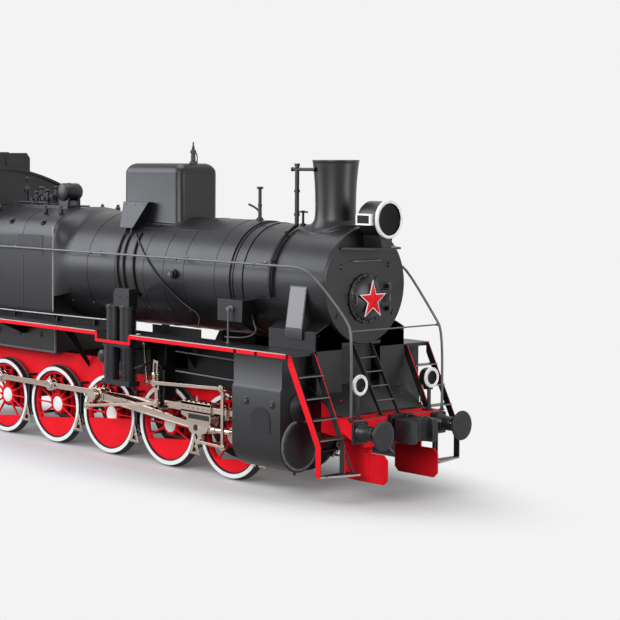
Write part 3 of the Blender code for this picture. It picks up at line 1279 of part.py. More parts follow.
def centre_ladder(datum):
    """The narrow ladder from the beam's shelf up to the smokebox saddle."""
    half, wide, sheet = 0.198, 0.05, 0.022
    foot = (-5.33, BEAM_TOP + GAP)
    top = (SMOKEBOX_FRONT + 0.07 - GAP, 2.22)
    head_deep, head_drop = 0.10, 0.02
    rung_r, rung_count = 0.011, 3
    run = [(foot[0] - wide / 2, foot[1]), (foot[0] + wide / 2, foot[1]), (top[0], top[1] - head_deep),
           top, (top[0] - wide, top[1] - head_drop)]
    pieces = [slab(run, "x", half - sheet, half), slab(run, "x", -half, -half + sheet)]
    for k in range(1, rung_count + 1):
        share = k / (rung_count + 1)
        y = foot[0] + (top[0] - foot[0]) * share - rung_r
        z = foot[1] + (top[1] - foot[1]) * share
        pieces.append(rod((-half + sheet / 2, y, z), (half - sheet / 2, y, z), rung_r, 8))
    return make("centre_ladder", pieces, "black", datum)


def handrail(name, side, datum):
    """The long hand rail along the boiler, down in front to the beam."""
    r, sides = 0.019, 6
    rail_x, rail_z = 1.075, 3.385
    post_x, post_y, seat = 0.991, -5.466, BEAM_TOP + GAP
    # from the beam up past the smokebox and back along the boiler: (x, y, z)
    route = ((post_x, post_y, seat), (post_x, post_y, 2.415), (0.93, -5.37, 2.62), (1.02, -4.78, 3.26),
             (1.062, -4.55, 3.372), (rail_x, -4.30, rail_z), (rail_x, CAB_FRONT - GAP, rail_z))
    flange_r, flange_top = 0.04, BEAM_TOP + OVER
    flange = [(seat, 0), (seat, flange_r), (flange_top, flange_r), (flange_top, 0)]
    pieces = [pipe([(x * side, y, z) for x, y, z in route], r, sides, smooth=1),
              turned(flange, "z", (side * post_x, post_y, 0), 12)]
    stanchion_r = 0.014
    for y in (-3.6, -1.9, 0.2, 2.4):
        out = FIREBOX_W
        if y < FIREBOX_FRONT:
            corner = barrel_radius(y) / math.cos(math.pi / BOILER_FACETS)
            out = math.sqrt(corner ** 2 - (rail_z - BOILER_Z) ** 2)
        start = side * (out + GAP * 2)
        pieces.append(rod((start, y, rail_z), (side * rail_x, y, rail_z), stanchion_r, sides))
    if side < 0:
        # the cross rail is carried by this post and meets the other one
        cross_x, cross_y, cross_z, cross_r = 0.958, -5.415, 2.50, 0.012
        end = cross_x - r - GAP * 4
        pieces.append(rod((-cross_x, cross_y, cross_z), (end, cross_y, cross_z), cross_r, 8))
    return make(f"handrail_{name}", pieces, "black", datum)


def air_pump(datum):
    """The two-stage air pump: steam cylinders above, ribbed air cylinders below."""
    x, r = -1.42, 0.135
    low, top, lid = 1.33, 2.60, 0.03
    mid0, mid1 = 1.94, 2.0
    rib_count, rib_deep = 3, 0.03
    facets = 12
    cylinders = (-0.74, -1.16)
    pieces = []
    for y in cylinders:
        upper = [(mid1, 0), (mid1, r), (top - lid, r), (top, r * 0.8), (top, 0)]
        pieces.append(turned(upper, "z", (x, y, 0), facets))
        ribs = [(low + lid, 0)]
        pitch = (mid0 - low - lid * 2) / rib_count
        for k in range(rib_count):
            z = low + lid + k * pitch
            ribs += [(z, r), (z + pitch / 2, r), (z + pitch / 2, r - rib_deep), (z + pitch, r - rib_deep)]
        ribs += [(mid0, r - rib_deep), (mid0, 0)]
        pieces.append(turned(ribs, "z", (x, y, 0), facets))
    # blocks: low corner, high corner
    front, rear = cylinders[1] - r - 0.015, cylinders[0] + r + 0.015
    root_in, root_out = -1.06, -1.02
    ledge = FRAME_FRONT_TOP - 0.05
    blocks = (
        ((x - 0.10, front, mid0 - 0.02), (x + 0.12, rear, mid1 + 0.02)),
        ((x - 0.11, front, low - 0.03), (x + 0.12, rear, low + 0.06)),
        ((x - 0.09, cylinders[1] - 0.10, top - 0.10), (x + 0.09, cylinders[1] + 0.34, top + 0.27)),
        # the mounting plate reaches in to the frame side
        ((x + 0.10, front + 0.03, mid0 - 0.05), (root_out, rear - 0.03, mid1)),
        ((root_in, front + 0.03, ledge), (root_out, -0.45, mid1 - 0.01)),
        ((root_in + 0.01, -1.10, ledge), (-FRAME_X - FRAME_T / 2 - GAP, -0.86, FRAME_FRONT_TOP)),
    )
    pieces += [box(*corners) for corners in blocks]
    # air strainer: (x, radius) along its axis
    tank = ((-1.42, 0), (-1.42, 0.08), (-1.39, 0.115), (-1.06, 0.115), (-1.03, 0.08), (-1.03, 0))
    tank_y, tank_z = -0.50, 1.72
    pieces.append(turned(tank, "x", (0, tank_y, tank_z), facets))
    return make("air_pump", pieces, "iron", datum)


def blast_pipe(datum):
    """The waste-steam pipe beside the chimney that curls round the smokebox."""
    r = 0.035
    x, y, top = -0.32, -3.76, 4.90
    band = SMOKEBOX_R + 0.05
    bend = 0.05
    start, turn_step, turns = 110.4, 14, 6
    points = [(x, y, top), (x, y, BOILER_Z + math.sqrt(band ** 2 - x ** 2) + bend)]
    for k in range(1, turns + 1):
        turn = math.radians(start + turn_step * k)
        points.append((band * math.cos(turn), y, BOILER_Z + band * math.sin(turn)))
    bar_z, bar_front, bar_rear, bar_share = 4.81, 0.36, 0.09, 0.8
    pieces = [pipe(points, r, 8),
              rod((x, y - bar_front, bar_z), (x, y + bar_rear, bar_z), r * bar_share, 8)]
    stack = [(z, radius + GAP * 2) for z, radius in stack_outside()]
    stack = [(stack[0][0], 0)] + stack + [(stack[-1][0], 0)]
    return make("blast_pipe", pieces, "black", datum,
                [turned(stack, "z", (0, CHIMNEY_Y, 0), STACK_FACETS)])


def valve_mast():
    """A slender relief valve on the barrel."""
    y = -2.665
    z = BOILER_Z + BARREL_R - 0.005
    # the mast: (height above the barrel, radius)
    mast = ((-0.03, 0), (-0.03, 0.05), (0.04, 0.05), (0.04, 0.03), (0.50, 0.028), (0.50, 0.055),
            (0.53, 0.055), (0.53, 0))
    lever_low, lever_high = (0, y, z + 0.14), (-0.05, y + 0.20, z + 0.26)
    lever_r = 0.02
    return [turned([(z + rise, radius) for rise, radius in mast], "z", (0, y, 0), 12),
            rod(lever_low, lever_high, lever_r, 8)]


def lubricator(datum):
    """The oil box on the boiler side with its long valve spindle."""
    out, inner = 1.10, 0.72
    front, rear = -3.39, -2.85
    low, high = 2.47, 2.82
    knob_y, knob_z = -3.15, 2.675
    knob = ((out - OVER, 0), (out - OVER, 0.05), (out + 0.09, 0.04), (out + 0.09, 0))
    spindle_x, spindle_r = out + 0.06, 0.014
    shapes = [
        box((inner, front, low), (out, rear, high)),
        turned(list(knob), "x", (0, knob_y, knob_z), 12),
        rod((spindle_x, knob_y, knob_z), (spindle_x, knob_y, BOARD_TOP + GAP), spindle_r, 8),
    ]
    return make("lubricator", [flip(p) for p in shapes], "black", datum, [boiler_cutter()])


def brake_beam(index, datum):
    """A cross beam with a hanger and brake block in front of each wheel."""
    y0 = axle_y(index)
    inner, outer = TYRE_FACE - TYRE_W + 0.03 + FLANGE_W, TYRE_FACE - 0.02
    r = WHEEL_R * 1.006 + MOVE_GAP
    thick = 0.05
    low, high = 188, 214            # degrees round the wheel
    top_y, top_z = y0 - 0.69, 1.10
    eye_r, shank, arm_t = 0.032, 0.03, 0.045
    beam_r, pin_r, sink = 0.028, 0.024, 0.005
    middle = math.radians((low + high) / 2)
    beam_y = y0 + (r + thick) * math.cos(middle) - sink
    beam_z = WHEEL_R + (r + thick) * math.sin(middle)
    span = inner + arm_t + sink
    pieces = []
    for _, side in SIDES:
        outline = arc((y0, WHEEL_R), r, low, high, 3) + arc((y0, WHEEL_R), r + thick, high, low, 3)
        shapes = [slab(outline, "x", inner, outer),
                  link_bar((top_y, top_z), (beam_y, beam_z), eye_r, shank, arm_t, inner + arm_t, 6)]
        pieces += [flip(shape) if side < 0 else shape for shape in shapes]
    pieces.append(rod((-span, beam_y, beam_z), (span, beam_y, beam_z), beam_r, 8))
    for _, side in SIDES:
        start = side * (FRAME_X + FRAME_T / 2 + GAP)
        pieces.append(rod((start, top_y, top_z), (side * span, top_y, top_z), pin_r, 8))
    return make(f"brake_beam_{index + 1}", pieces, "steel", datum)


def cab_steps():
    """Hanging steps below the cab doorway, on the left side."""
    outer, inner = CAB_W - 0.01, CAB_W - 0.26
    top, foot = CAB_FLOOR - 0.40, 0.55
    sheet, head_in = 0.02, 0.2
    front, rear = DOORWAY_FRONT - 0.04, DOORWAY_REAR + 0.02
    pieces = []
    for y in (front, rear):
        pieces.append(slab([(inner + head_in, top), (outer, top), (outer, foot), (inner, foot)],
                           "y", y, y + sheet))
    for z in (0.56, 0.98, 1.36):
        pieces.append(box((inner + sheet / 2, front + sheet / 2, z),
                          (outer - sheet / 4, rear + sheet / 2, z + sheet)))
    return pieces


def build():
    clear_scene()
    middle = (DRAG_REAR + NOSE) / 2
    datum = empty("datum", (0, -middle, FLANGE_H))
    main_frame(datum)
    buffer_beam(datum)
    coupler(datum)
    for index in range(AXLE_COUNT):
        wheelset(index, datum)
        brake_beam(index, datum)
    smokebox(datum)
    smokebox_door(datum)
    for single in (chimney, saddle, barrel, firebox, ashpan, dome_casing, turbo_generator, headlamp,
                   cab_front, cab_roof, cab_floor, centre_ladder, air_pump,
                   blast_pipe, lubricator):
        single(datum)
    for name, side in SIDES:
        for pair in (buffers, rail_guard, lamp, cylinder, side_rod, crosshead, slide_bars,
                     valve_gear, cab_side, cab_door, running_board, side_ladder, handrail):
            pair(name, side, datum)


build()
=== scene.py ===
"""Visual model of the steam locomotive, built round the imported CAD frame.

Shapes are written in the CAD's own construction frame: metres, +Z up, the
front faces -Y, the locomotive's left is +X, y = 0 is the third axle and
z = 0 the head of the rail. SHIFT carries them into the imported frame.
"""
import math

import bmesh
import bpy
from mathutils import Euler, Matrix, Vector


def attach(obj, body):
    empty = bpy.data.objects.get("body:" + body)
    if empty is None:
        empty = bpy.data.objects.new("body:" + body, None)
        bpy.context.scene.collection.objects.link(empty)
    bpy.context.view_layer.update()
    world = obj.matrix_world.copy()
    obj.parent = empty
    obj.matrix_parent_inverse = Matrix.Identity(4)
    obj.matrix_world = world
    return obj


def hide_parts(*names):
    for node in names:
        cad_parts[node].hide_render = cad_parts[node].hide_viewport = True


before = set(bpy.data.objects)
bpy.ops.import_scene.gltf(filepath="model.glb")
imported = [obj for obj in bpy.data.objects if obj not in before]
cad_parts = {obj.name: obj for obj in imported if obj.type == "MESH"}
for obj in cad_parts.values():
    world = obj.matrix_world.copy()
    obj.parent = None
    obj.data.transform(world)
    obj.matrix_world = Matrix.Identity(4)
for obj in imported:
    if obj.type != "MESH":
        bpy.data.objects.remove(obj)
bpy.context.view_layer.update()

SHIFT = Vector((0, 0.0175, 0.028))
SIDES = (("right", -1), ("left", 1))


# materials
def set_inputs(tree, node, inputs):
    """Gives each input a plain value or another node's socket."""
    for key, value in inputs.items():
        if isinstance(value, bpy.types.NodeSocket):
            tree.links.new(value, node.inputs[key])
        else:
            node.inputs[key].default_value = value


def add_node(tree, kind, inputs=None, **options):
    """Adds a shader node with its options and inputs."""
    node = tree.nodes.new("ShaderNode" + kind)
    for key, value in options.items():
        setattr(node, key, value)
    set_inputs(tree, node, inputs or {})
    return node


def ramp(tree, share, dark, light, places=(0, 1)):
    """A tone between dark and light, picked by a noise."""
    node = add_node(tree, "ValToRGB", {"Fac": share})
    for end, place, colour in zip(node.color_ramp.elements, places, (dark, light)):
        end.position = place
        end.color = (*colour, 1)
    return node.outputs["Color"]


def material(name, base, rough, metal=0.0, vary=0.12, grain=6.0, bump=0.0, bump_scale=60.0,
             dust=0.0, streak=(1, 1, 1), spread=0.08, shine=0.5):
    """Principled paint or metal with uneven tone, gloss and a fine surface."""
    mat = bpy.data.materials.new(name)
    mat.use_nodes = True
    tree = mat.node_tree
    place = add_node(tree, "TexCoord").outputs["Object"]
    place = add_node(tree, "Mapping", {"Scale": streak, "Vector": place}).outputs["Vector"]
    noise = add_node(tree, "TexNoise", {"Scale": grain, "Detail": 6, "Vector": place}).outputs["Fac"]
    dark = [c * (1 - vary) for c in base]
    light = [min(1, c * (1 + vary)) for c in base]
    colour = ramp(tree, noise, dark, light, (0.3, 0.7))
    if dust:
        # dust lies on what faces up
        normal = add_node(tree, "NewGeometry").outputs["Normal"]
        height = add_node(tree, "SeparateXYZ", {"Vector": normal}).outputs["Z"]
        up = add_node(tree, "MapRange", {"From Min": 0.2, "To Max": dust, "Value": height})
        soil = add_node(tree, "Math", {0: up.outputs["Result"], 1: noise}, operation="MULTIPLY")
        mix = {"A": colour, "B": (0.16, 0.145, 0.13, 1), "Factor": soil.outputs["Value"]}
        colour = add_node(tree, "Mix", mix, data_type="RGBA").outputs["Result"]
    gloss = {"To Min": max(0.03, rough - spread), "To Max": rough + spread, "Value": noise}
    surface = {"Base Color": colour, "Metallic": metal, "Specular IOR Level": shine,
               "Roughness": add_node(tree, "MapRange", gloss).outputs["Result"]}
    if bump:
        fine = add_node(tree, "TexNoise", {"Scale": bump_scale, "Detail": 4, "Vector": place})
        relief = {"Strength": bump, "Distance": 0.004, "Height": fine.outputs["Fac"]}
        surface["Normal"] = add_node(tree, "Bump", relief).outputs["Normal"]
    set_inputs(tree, tree.nodes["Principled BSDF"], surface)
    return mat


BLACK = (0.0065, 0.0068, 0.008)
MATS = {
    "black": material("boiler_black", BLACK, 0.37, vary=0.2, grain=1.6, bump=0.05, bump_scale=45, dust=0.02,
                      shine=0.36, spread=0.06),
    # real soot inside the chimney, and painted shade where dark patches and sheets stand in for shadow
    "soot_and_shade": material("soot_and_shade_black", (0.004, 0.004, 0.004), 0.5, vary=0.3, grain=4, bump=0.15, shine=0.12),
    "iron": material("dark_iron", (0.012, 0.013, 0.016), 0.34, vary=0.3, grain=9, bump=0.18, bump_scale=120,
                     dust=0.03, shine=0.3),
    "red": material("signal_red", (0.8, 0.01, 0.02), 0.38, vary=0.08, grain=2.5, bump=0.05, bump_scale=50,
                    shine=0.1),
    "white": material("tyre_white", (0.82, 0.82, 0.81), 0.42, vary=0.04, grain=5, bump=0.04),
    "steel": material("worked_steel", (0.46, 0.375, 0.32), 0.2, metal=1.0, vary=0.22, grain=5, bump=0.12,
                      bump_scale=40, streak=(1, 0.12, 1), spread=0.1),
    "rail": material("rail_grey", (0.1, 0.1, 0.11), 0.34, vary=0.12, grain=8, bump=0.05, shine=0.4),
    # painted highlight: this pale grey marks lit edges on black parts
    "pale": material("pale_edge_highlight", (0.42, 0.4, 0.4), 0.4, vary=0.1, grain=8, bump=0.05),
    # painted highlight: this grey marks lit rims and edges on black parts
    "painted_sheen": material("painted_highlight_grey", (0.16, 0.155, 0.165), 0.4, vary=0.08, grain=2, bump=0.04),
    "tread": material("rim_tread", (0.012, 0.012, 0.013), 0.46, metal=0.15, vary=0.3, grain=8, bump=0.05,
                      streak=(0.2, 1, 1)),
    "lens": material("lamp_glass", (0.002, 0.002, 0.0025), 0.14, vary=0.2, grain=3, shine=0.15, spread=0.04),
    "cab": material("cab_lining", (0.16, 0.19, 0.15), 0.5, vary=0.15, grain=4, bump=0.1),
    "wood": material("floor_boards", (0.1, 0.062, 0.035), 0.6, vary=0.4, grain=3, bump=0.3,
                     streak=(6, 0.6, 1)),
    "brass": material("fitting_brass", (0.62, 0.42, 0.16), 0.3, metal=1.0, vary=0.15, grain=9),
}


def window_glass():
    """Clear pane with a faint tint."""
    mat = material("window_pane", (0.75, 0.8, 0.8), 0.05, vary=0.04, grain=2, spread=0.03)
    clear = {"Transmission Weight": 0.92, "IOR": 1.12}
    set_inputs(mat.node_tree, mat.node_tree.nodes["Principled BSDF"], clear)
    return mat


MATS["glass"] = window_glass()


# mesh building
class Piece:
    """One visible piece, gathered shape by shape, that rides on one body."""

    def __init__(self, name, body, slot, *nodes, side=1):
        self.name, self.body, self.slot, self.nodes, self.side = name, body, slot, nodes, side
        self.bm = bmesh.new()
        self.keys = []

    def both(self):
        """Goes through the right side, then the left, and ends unmirrored."""
        for self.side in (-1, 1):
            yield self.side
        self.side = 1

    def key(self, m):
        """The index of a paint on this piece."""
        if m not in self.keys:
            self.keys.append(m)
        return self.keys.index(m)

    def vert(self, p):
        return self.bm.verts.new((p[0] * self.side, p[1], p[2]))

    def face(self, verts, m):
        face = self.bm.faces.new(verts)
        face.material_index = self.key(m)
        face.smooth = True

    def rows(self, rows, m):
        """Joins rings of points into a skin; m may give one paint a band."""
        made = [[self.vert(p) for p in row] for row in rows]
        for i, (one, two) in enumerate(zip(made, made[1:])):
            paint = m if isinstance(m, str) else m[i]
            for k in range(len(one)):
                self.face((one[k - 1], one[k], two[k], two[k - 1]), paint)
        self.face(made[0], m if isinstance(m, str) else m[0])
        self.face(made[-1], m if isinstance(m, str) else m[-1])

    def box(self, lo, hi, m):
        """A box between two corners."""
        (a, b, c), (d, e, f) = lo, hi
        self.rows([[(a, b, c), (d, b, c), (d, e, c), (a, e, c)],
                   [(a, b, f), (d, b, f), (d, e, f), (a, e, f)]], m)

    def slab(self, outline, axis, start, end, m, holes=()):
        """A flat outline with holes, pushed along an axis."""
        def point(a, b, at):
            return {"x": (at, a, b), "y": (a, at, b), "z": (a, b, at)}[axis]

        loops = []
        edges = []
        for loop in (outline, *holes):
            verts = [self.vert(point(a, b, start)) for a, b in loop]
            loops.append(verts)
            edges += [self.bm.edges.new((verts[i - 1], verts[i])) for i in range(len(verts))]
        filled = bmesh.ops.triangle_fill(self.bm, use_beauty=True, edges=edges)
        faces = [g for g in filled["geom"] if isinstance(g, bmesh.types.BMFace)]
        twin = {}
        for loop, verts in zip((outline, *holes), loops):
            for (a, b), vert in zip(loop, verts):
                twin[vert] = self.vert(point(a, b, end))
        for face in faces:
            face.material_index = self.key(m)
            self.face([twin[v] for v in reversed(face.verts)], m)
        for verts in loops:
            for i, vert in enumerate(verts):
                self.face((verts[i - 1], vert, twin[vert], twin[verts[i - 1]]), m)

    def lathe(self, profile, axis, centre, steps, m, loop=False):
        """Spins (along, radius) points; m may give one paint for each point's band."""
        poles = {}
        rows = []
        for i in range(steps):
            t = math.radians(360 * i / steps)
            row = []
            for j, (along, radius) in enumerate(profile):
                a, b = radius * math.cos(t), radius * math.sin(t)
                place = {"x": (along, a, b), "y": (a, along, b), "z": (a, b, along)}[axis]
                if radius > 0 or j not in poles:
                    vert = self.vert(Vector(place) + Vector(centre))
                    poles.setdefault(j, vert)
                else:
                    vert = poles[j]
                row.append(vert)
            rows.append(row)
        joins = len(profile) if loop else len(profile) - 1
        for one, two in zip(rows, rows[1:] + rows[:1]):
            for j in range(joins):
                k = (j + 1) % len(profile)
                corners = list(dict.fromkeys((one[j], one[k], two[k], two[j])))
                if len(corners) > 2:
                    self.face(corners, m if isinstance(m, str) else m[j])

    def link(self, start, end, r0, r1, w0, w1, x0, x1, m, steps=16):
        """A flat rod in a plane of constant x, tapered, with a round eye at each end."""
        (y0, z0), (y1, z1) = start, end
        length = math.hypot(y1 - y0, z1 - z0)
        lean = math.atan2(z1 - z0, y1 - y0)
        s0 = math.degrees(math.asin(min(1, w0 / r0)))
        s1 = math.degrees(math.asin(min(1, w1 / r1)))
        plan = arc((length, 0), r1, s1 - 180, 180 - s1, steps) + arc((0, 0), r0, s0, 360 - s0, steps)
        c, s = math.cos(lean), math.sin(lean)
        self.slab([(y0 + a * c - b * s, z0 + a * s + b * c) for a, b in plan], "x", x0, x1, m)

    def tube(self, points, radius, m, sides=12, smooth=0):
        """A round bar bent through points; smooth rounds its corners."""
        path = [Vector(p) for p in points]
        for _ in range(smooth):
            cut = [path[0]]
            for one, two in zip(path, path[1:]):
                cut += [one.lerp(two, 0.25), one.lerp(two, 0.75)]
            path = cut + [path[-1]]
        rows = []
        side = None
        for i, place in enumerate(path):
            ahead = path[min(i + 1, len(path) - 1)] - place
            behind = place - path[max(i - 1, 0)]
            along = (ahead.normalized() + behind.normalized()).normalized()
            side = along.orthogonal() if side is None else side - along * side.dot(along)
            side.normalize()
            other = along.cross(side)
            rows.append([place + side * a + other * b for a, b in around(sides, radius)])
        self.rows(rows, m)

    def dome(self, place, out, radius, m):
        """A rivet or bolt head standing on a surface."""
        out = Vector(out).normalized()
        side = out.orthogonal().normalized()
        other = out.cross(side)
        place = Vector(place)
        rows = []
        for share, rise in ((1.0, -0.18), (0.92, 0.21), (0.55, 0.51)):
            centre = place + out * rise * radius
            rows.append([centre + side * a + other * b for a, b in around(8, radius * share)])
        self.rows(rows, m)

    def bolt(self, place, out, radius, m, height=0.7):
        """A hexagon nut with the bolt's end proud of it."""
        out = Vector(out).normalized()
        place = Vector(place)
        self.tube([place - out * radius * 0.3, place + out * radius * height], radius, m, 6)
        self.tube([place, place + out * radius * height * 1.5], radius * 0.5, m, 8)

    def done(self, bevel, sharp=34):
        """Turns the shapes into one object on its body, with its edges softened."""
        bmesh.ops.recalc_face_normals(self.bm, faces=self.bm.faces)
        mesh = bpy.data.meshes.new(self.name)
        self.bm.to_mesh(mesh)
        self.bm.free()
        mesh.transform(Matrix.Translation(SHIFT))
        mesh.shade_smooth()
        mesh.set_sharp_from_angle(angle=math.radians(sharp))
        item = bpy.data.objects.new(self.name, mesh)
        bpy.context.scene.collection.objects.link(item)
        for m in self.keys:
            mesh.materials.append(MATS[m])
        if bevel:
            change = item.modifiers.new("Bevel", "BEVEL")
            change.width = bevel
            change.segments = 2
            change.limit_method = "ANGLE"
            change.angle_limit = math.radians(sharp)
            change.use_clamp_overlap = True
        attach(item, self.body)
        if self.nodes:
            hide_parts(*self.nodes)


def arc(centre, radius, start, end, steps):
    """Points on a circle from one angle to another, in degrees."""
    turn = [math.radians(start + (end - start) * i / steps) for i in range(steps + 1)]
    return [(centre[0] + radius * math.cos(t), centre[1] + radius * math.sin(t)) for t in turn]


def ring(centre, radius, steps):
    """A full circle of points."""
    return arc(centre, radius, 0, 360, steps)[:-1]


def rect(a0, a1, b0, b1):
    """The outline of a rectangle."""
    return [(a0, b0), (a1, b0), (a1, b1), (a0, b1)]


def band(along0, along1, r0, r1):
    """The profile of a ring, or with r0 zero of a plain drum."""
    return [(along0, r0), (along0, r1), (along1, r1), (along1, r0)]


def around(count, radius, shift=0.0):
    """Offsets of evenly spaced places on a circle; shift is a share of a step."""
    turns = [2 * math.pi * (k + shift) / count for k in range(count)]
    return [(radius * math.cos(t), radius * math.sin(t)) for t in turns]


def flat(path, half):
    """A strip of constant half width round an open path, as one closed outline."""
    left, right = [], []
    for i, place in enumerate(path):
        ahead = Vector(path[min(i + 1, len(path) - 1)]) - Vector(place)
        behind = Vector(place) - Vector(path[max(i - 1, 0)])
        along = (ahead.normalized() + behind.normalized()).normalized()
        left.append((place[0] - along.y * half, place[1] + along.x * half))
        right.append((place[0] + along.y * half, place[1] - along.x * half))
    return left + right[::-1]


# sizes
WHEEL_R, FLANGE_H, TYRE_FACE, TYRE_BACK, BORE = 0.66, 0.028, 0.85, 0.718, 0.572
PITCH, DRIVEN, CRANK_R, PIN_R = 1.445, 2, 0.35, 0.06
SIDE_ROD_X, CYL_X, GEAR_X, GEAR_T = 0.955, 1.12, 1.245, 0.036
BOILER_Z, SMOKE_R, SMOKE_FRONT, SMOKE_REAR = 3.091, 0.872, -4.841, -2.95
SKIN = ((-2.9497, 0.884), (-2.9, 0.884), (-2.9, 0.905), (-0.9, 0.915), (1.3297, 0.95))
BOX_FRONT, BOX_REAR, BOX_W, BOX_TOP, BOX_FOOT = 1.33, 4.55, 0.985, 4.1, 1.585
DOOR_Z, DOOR_R, HINGE_X, HINGE_Y = 2.898, 0.367, 0.475, -4.896
STACK_Y = -4.246
FRAME_IN, FRAME_OUT, FRAME_TOP, FRAME_FRONT_TOP = 0.595, 0.665, 1.56, 1.5
BEAM_FACE, BEAM_W, BEAM_TOP, BEAM_FOOT = -5.49, 1.004, 1.228, 0.82
BOARD_EDGE, BOARD_TOP, BOARD_FRONT, BOARD_IN = 1.58, 2.15, -4.74, 0.955
CAB_FRONT, CAB_REAR, CAB_W, CAB_WALL, CAB_FLOOR = 4.12, 5.8, 1.5, 0.05, 1.95
EAVES, CROWN, DRAG_REAR = 4.42, 4.78, 5.95
WAY_FRONT, WAY_REAR, WAY_TOP = 5.16, 5.72, 3.95
CYL_FRONT, CYL_REAR, CYL_Z, CYL_R, VALVE_Z = -4.6, -3.62, 0.775, 0.405, 1.33
ROD_L, LAG, BACK_R, BACK_ROD_L = 2.51, -20, 0.18, 1.725
LINK_PIVOT, LINK_FOOT_R, SPINDLE = (-1.62, 1.51), 0.45, (-3.13, VALVE_Z)
LEVER_L, UNION_L, BAR_Z, BRACKET_Y = 0.775, 0.53, 1.08, -1.7
# depth of each wheel's counterweight chord below the hub
CHORDS = (0.37, 0.24, 0.08, 0.24, 0.37)
CAB_HINGE, CAB_HINGE_Z = (1.514, 5.168), (2.24, 3.69)
CRANK = {"right": 90, "left": 0}
SEAT = 0.0003           # between pieces that are bolted or rest together
RUN_GAP = 0.0006        # between a sliding or turning piece and its seat
OUTWARD, FORWARD, UPWARD = (1, 0, 0), (0, -1, 0), (0, 0, 1)


def axle_y(i):
    """Where an axle stands; the driven one is at zero."""
    return (i - DRIVEN) * PITCH


def meet(one, one_r, two, two_r):
    """Where two circles cross, on the left of the line between their centres."""
    across = Vector(two) - Vector(one)
    along = (one_r ** 2 - two_r ** 2 + across.length_squared) / (2 * across.length)
    up = math.sqrt(one_r ** 2 - along ** 2)
    way = across.normalized()
    return (one[0] + way.x * along - way.y * up, one[1] + way.y * along + way.x * up)


def pose(name):
    """Places of the motion's pins on one side, as (y, z)."""
    turn = math.radians(CRANK[name])
    main = (CRANK_R * math.cos(turn), WHEEL_R + CRANK_R * math.sin(turn))
    head = (main[0] - math.sqrt(ROD_L ** 2 - (main[1] - CYL_Z) ** 2), CYL_Z)
    turn = math.radians(CRANK[name] + LAG)
    back = (BACK_R * math.cos(turn), WHEEL_R + BACK_R * math.sin(turn))
    foot = meet(back, BACK_ROD_L, LINK_PIVOT, LINK_FOOT_R)
    arm = (head[0] - 0.1, CYL_Z - 0.2)
    return {"main": main, "head": head, "back": back, "foot": foot, "arm": arm,
            "low": meet(arm, UNION_L, SPINDLE, LEVER_L)}


def barrel_r(y):
    """The boiler's radius at y."""
    if y < SMOKE_REAR:
        return SMOKE_R
    for (y0, r0), (y1, r1) in zip(SKIN, SKIN[1:]):
        if y0 <= y <= y1 and y1 > y0:
            return r0 + (r1 - r0) * (y - y0) / (y1 - y0)
    return SKIN[-1][1]


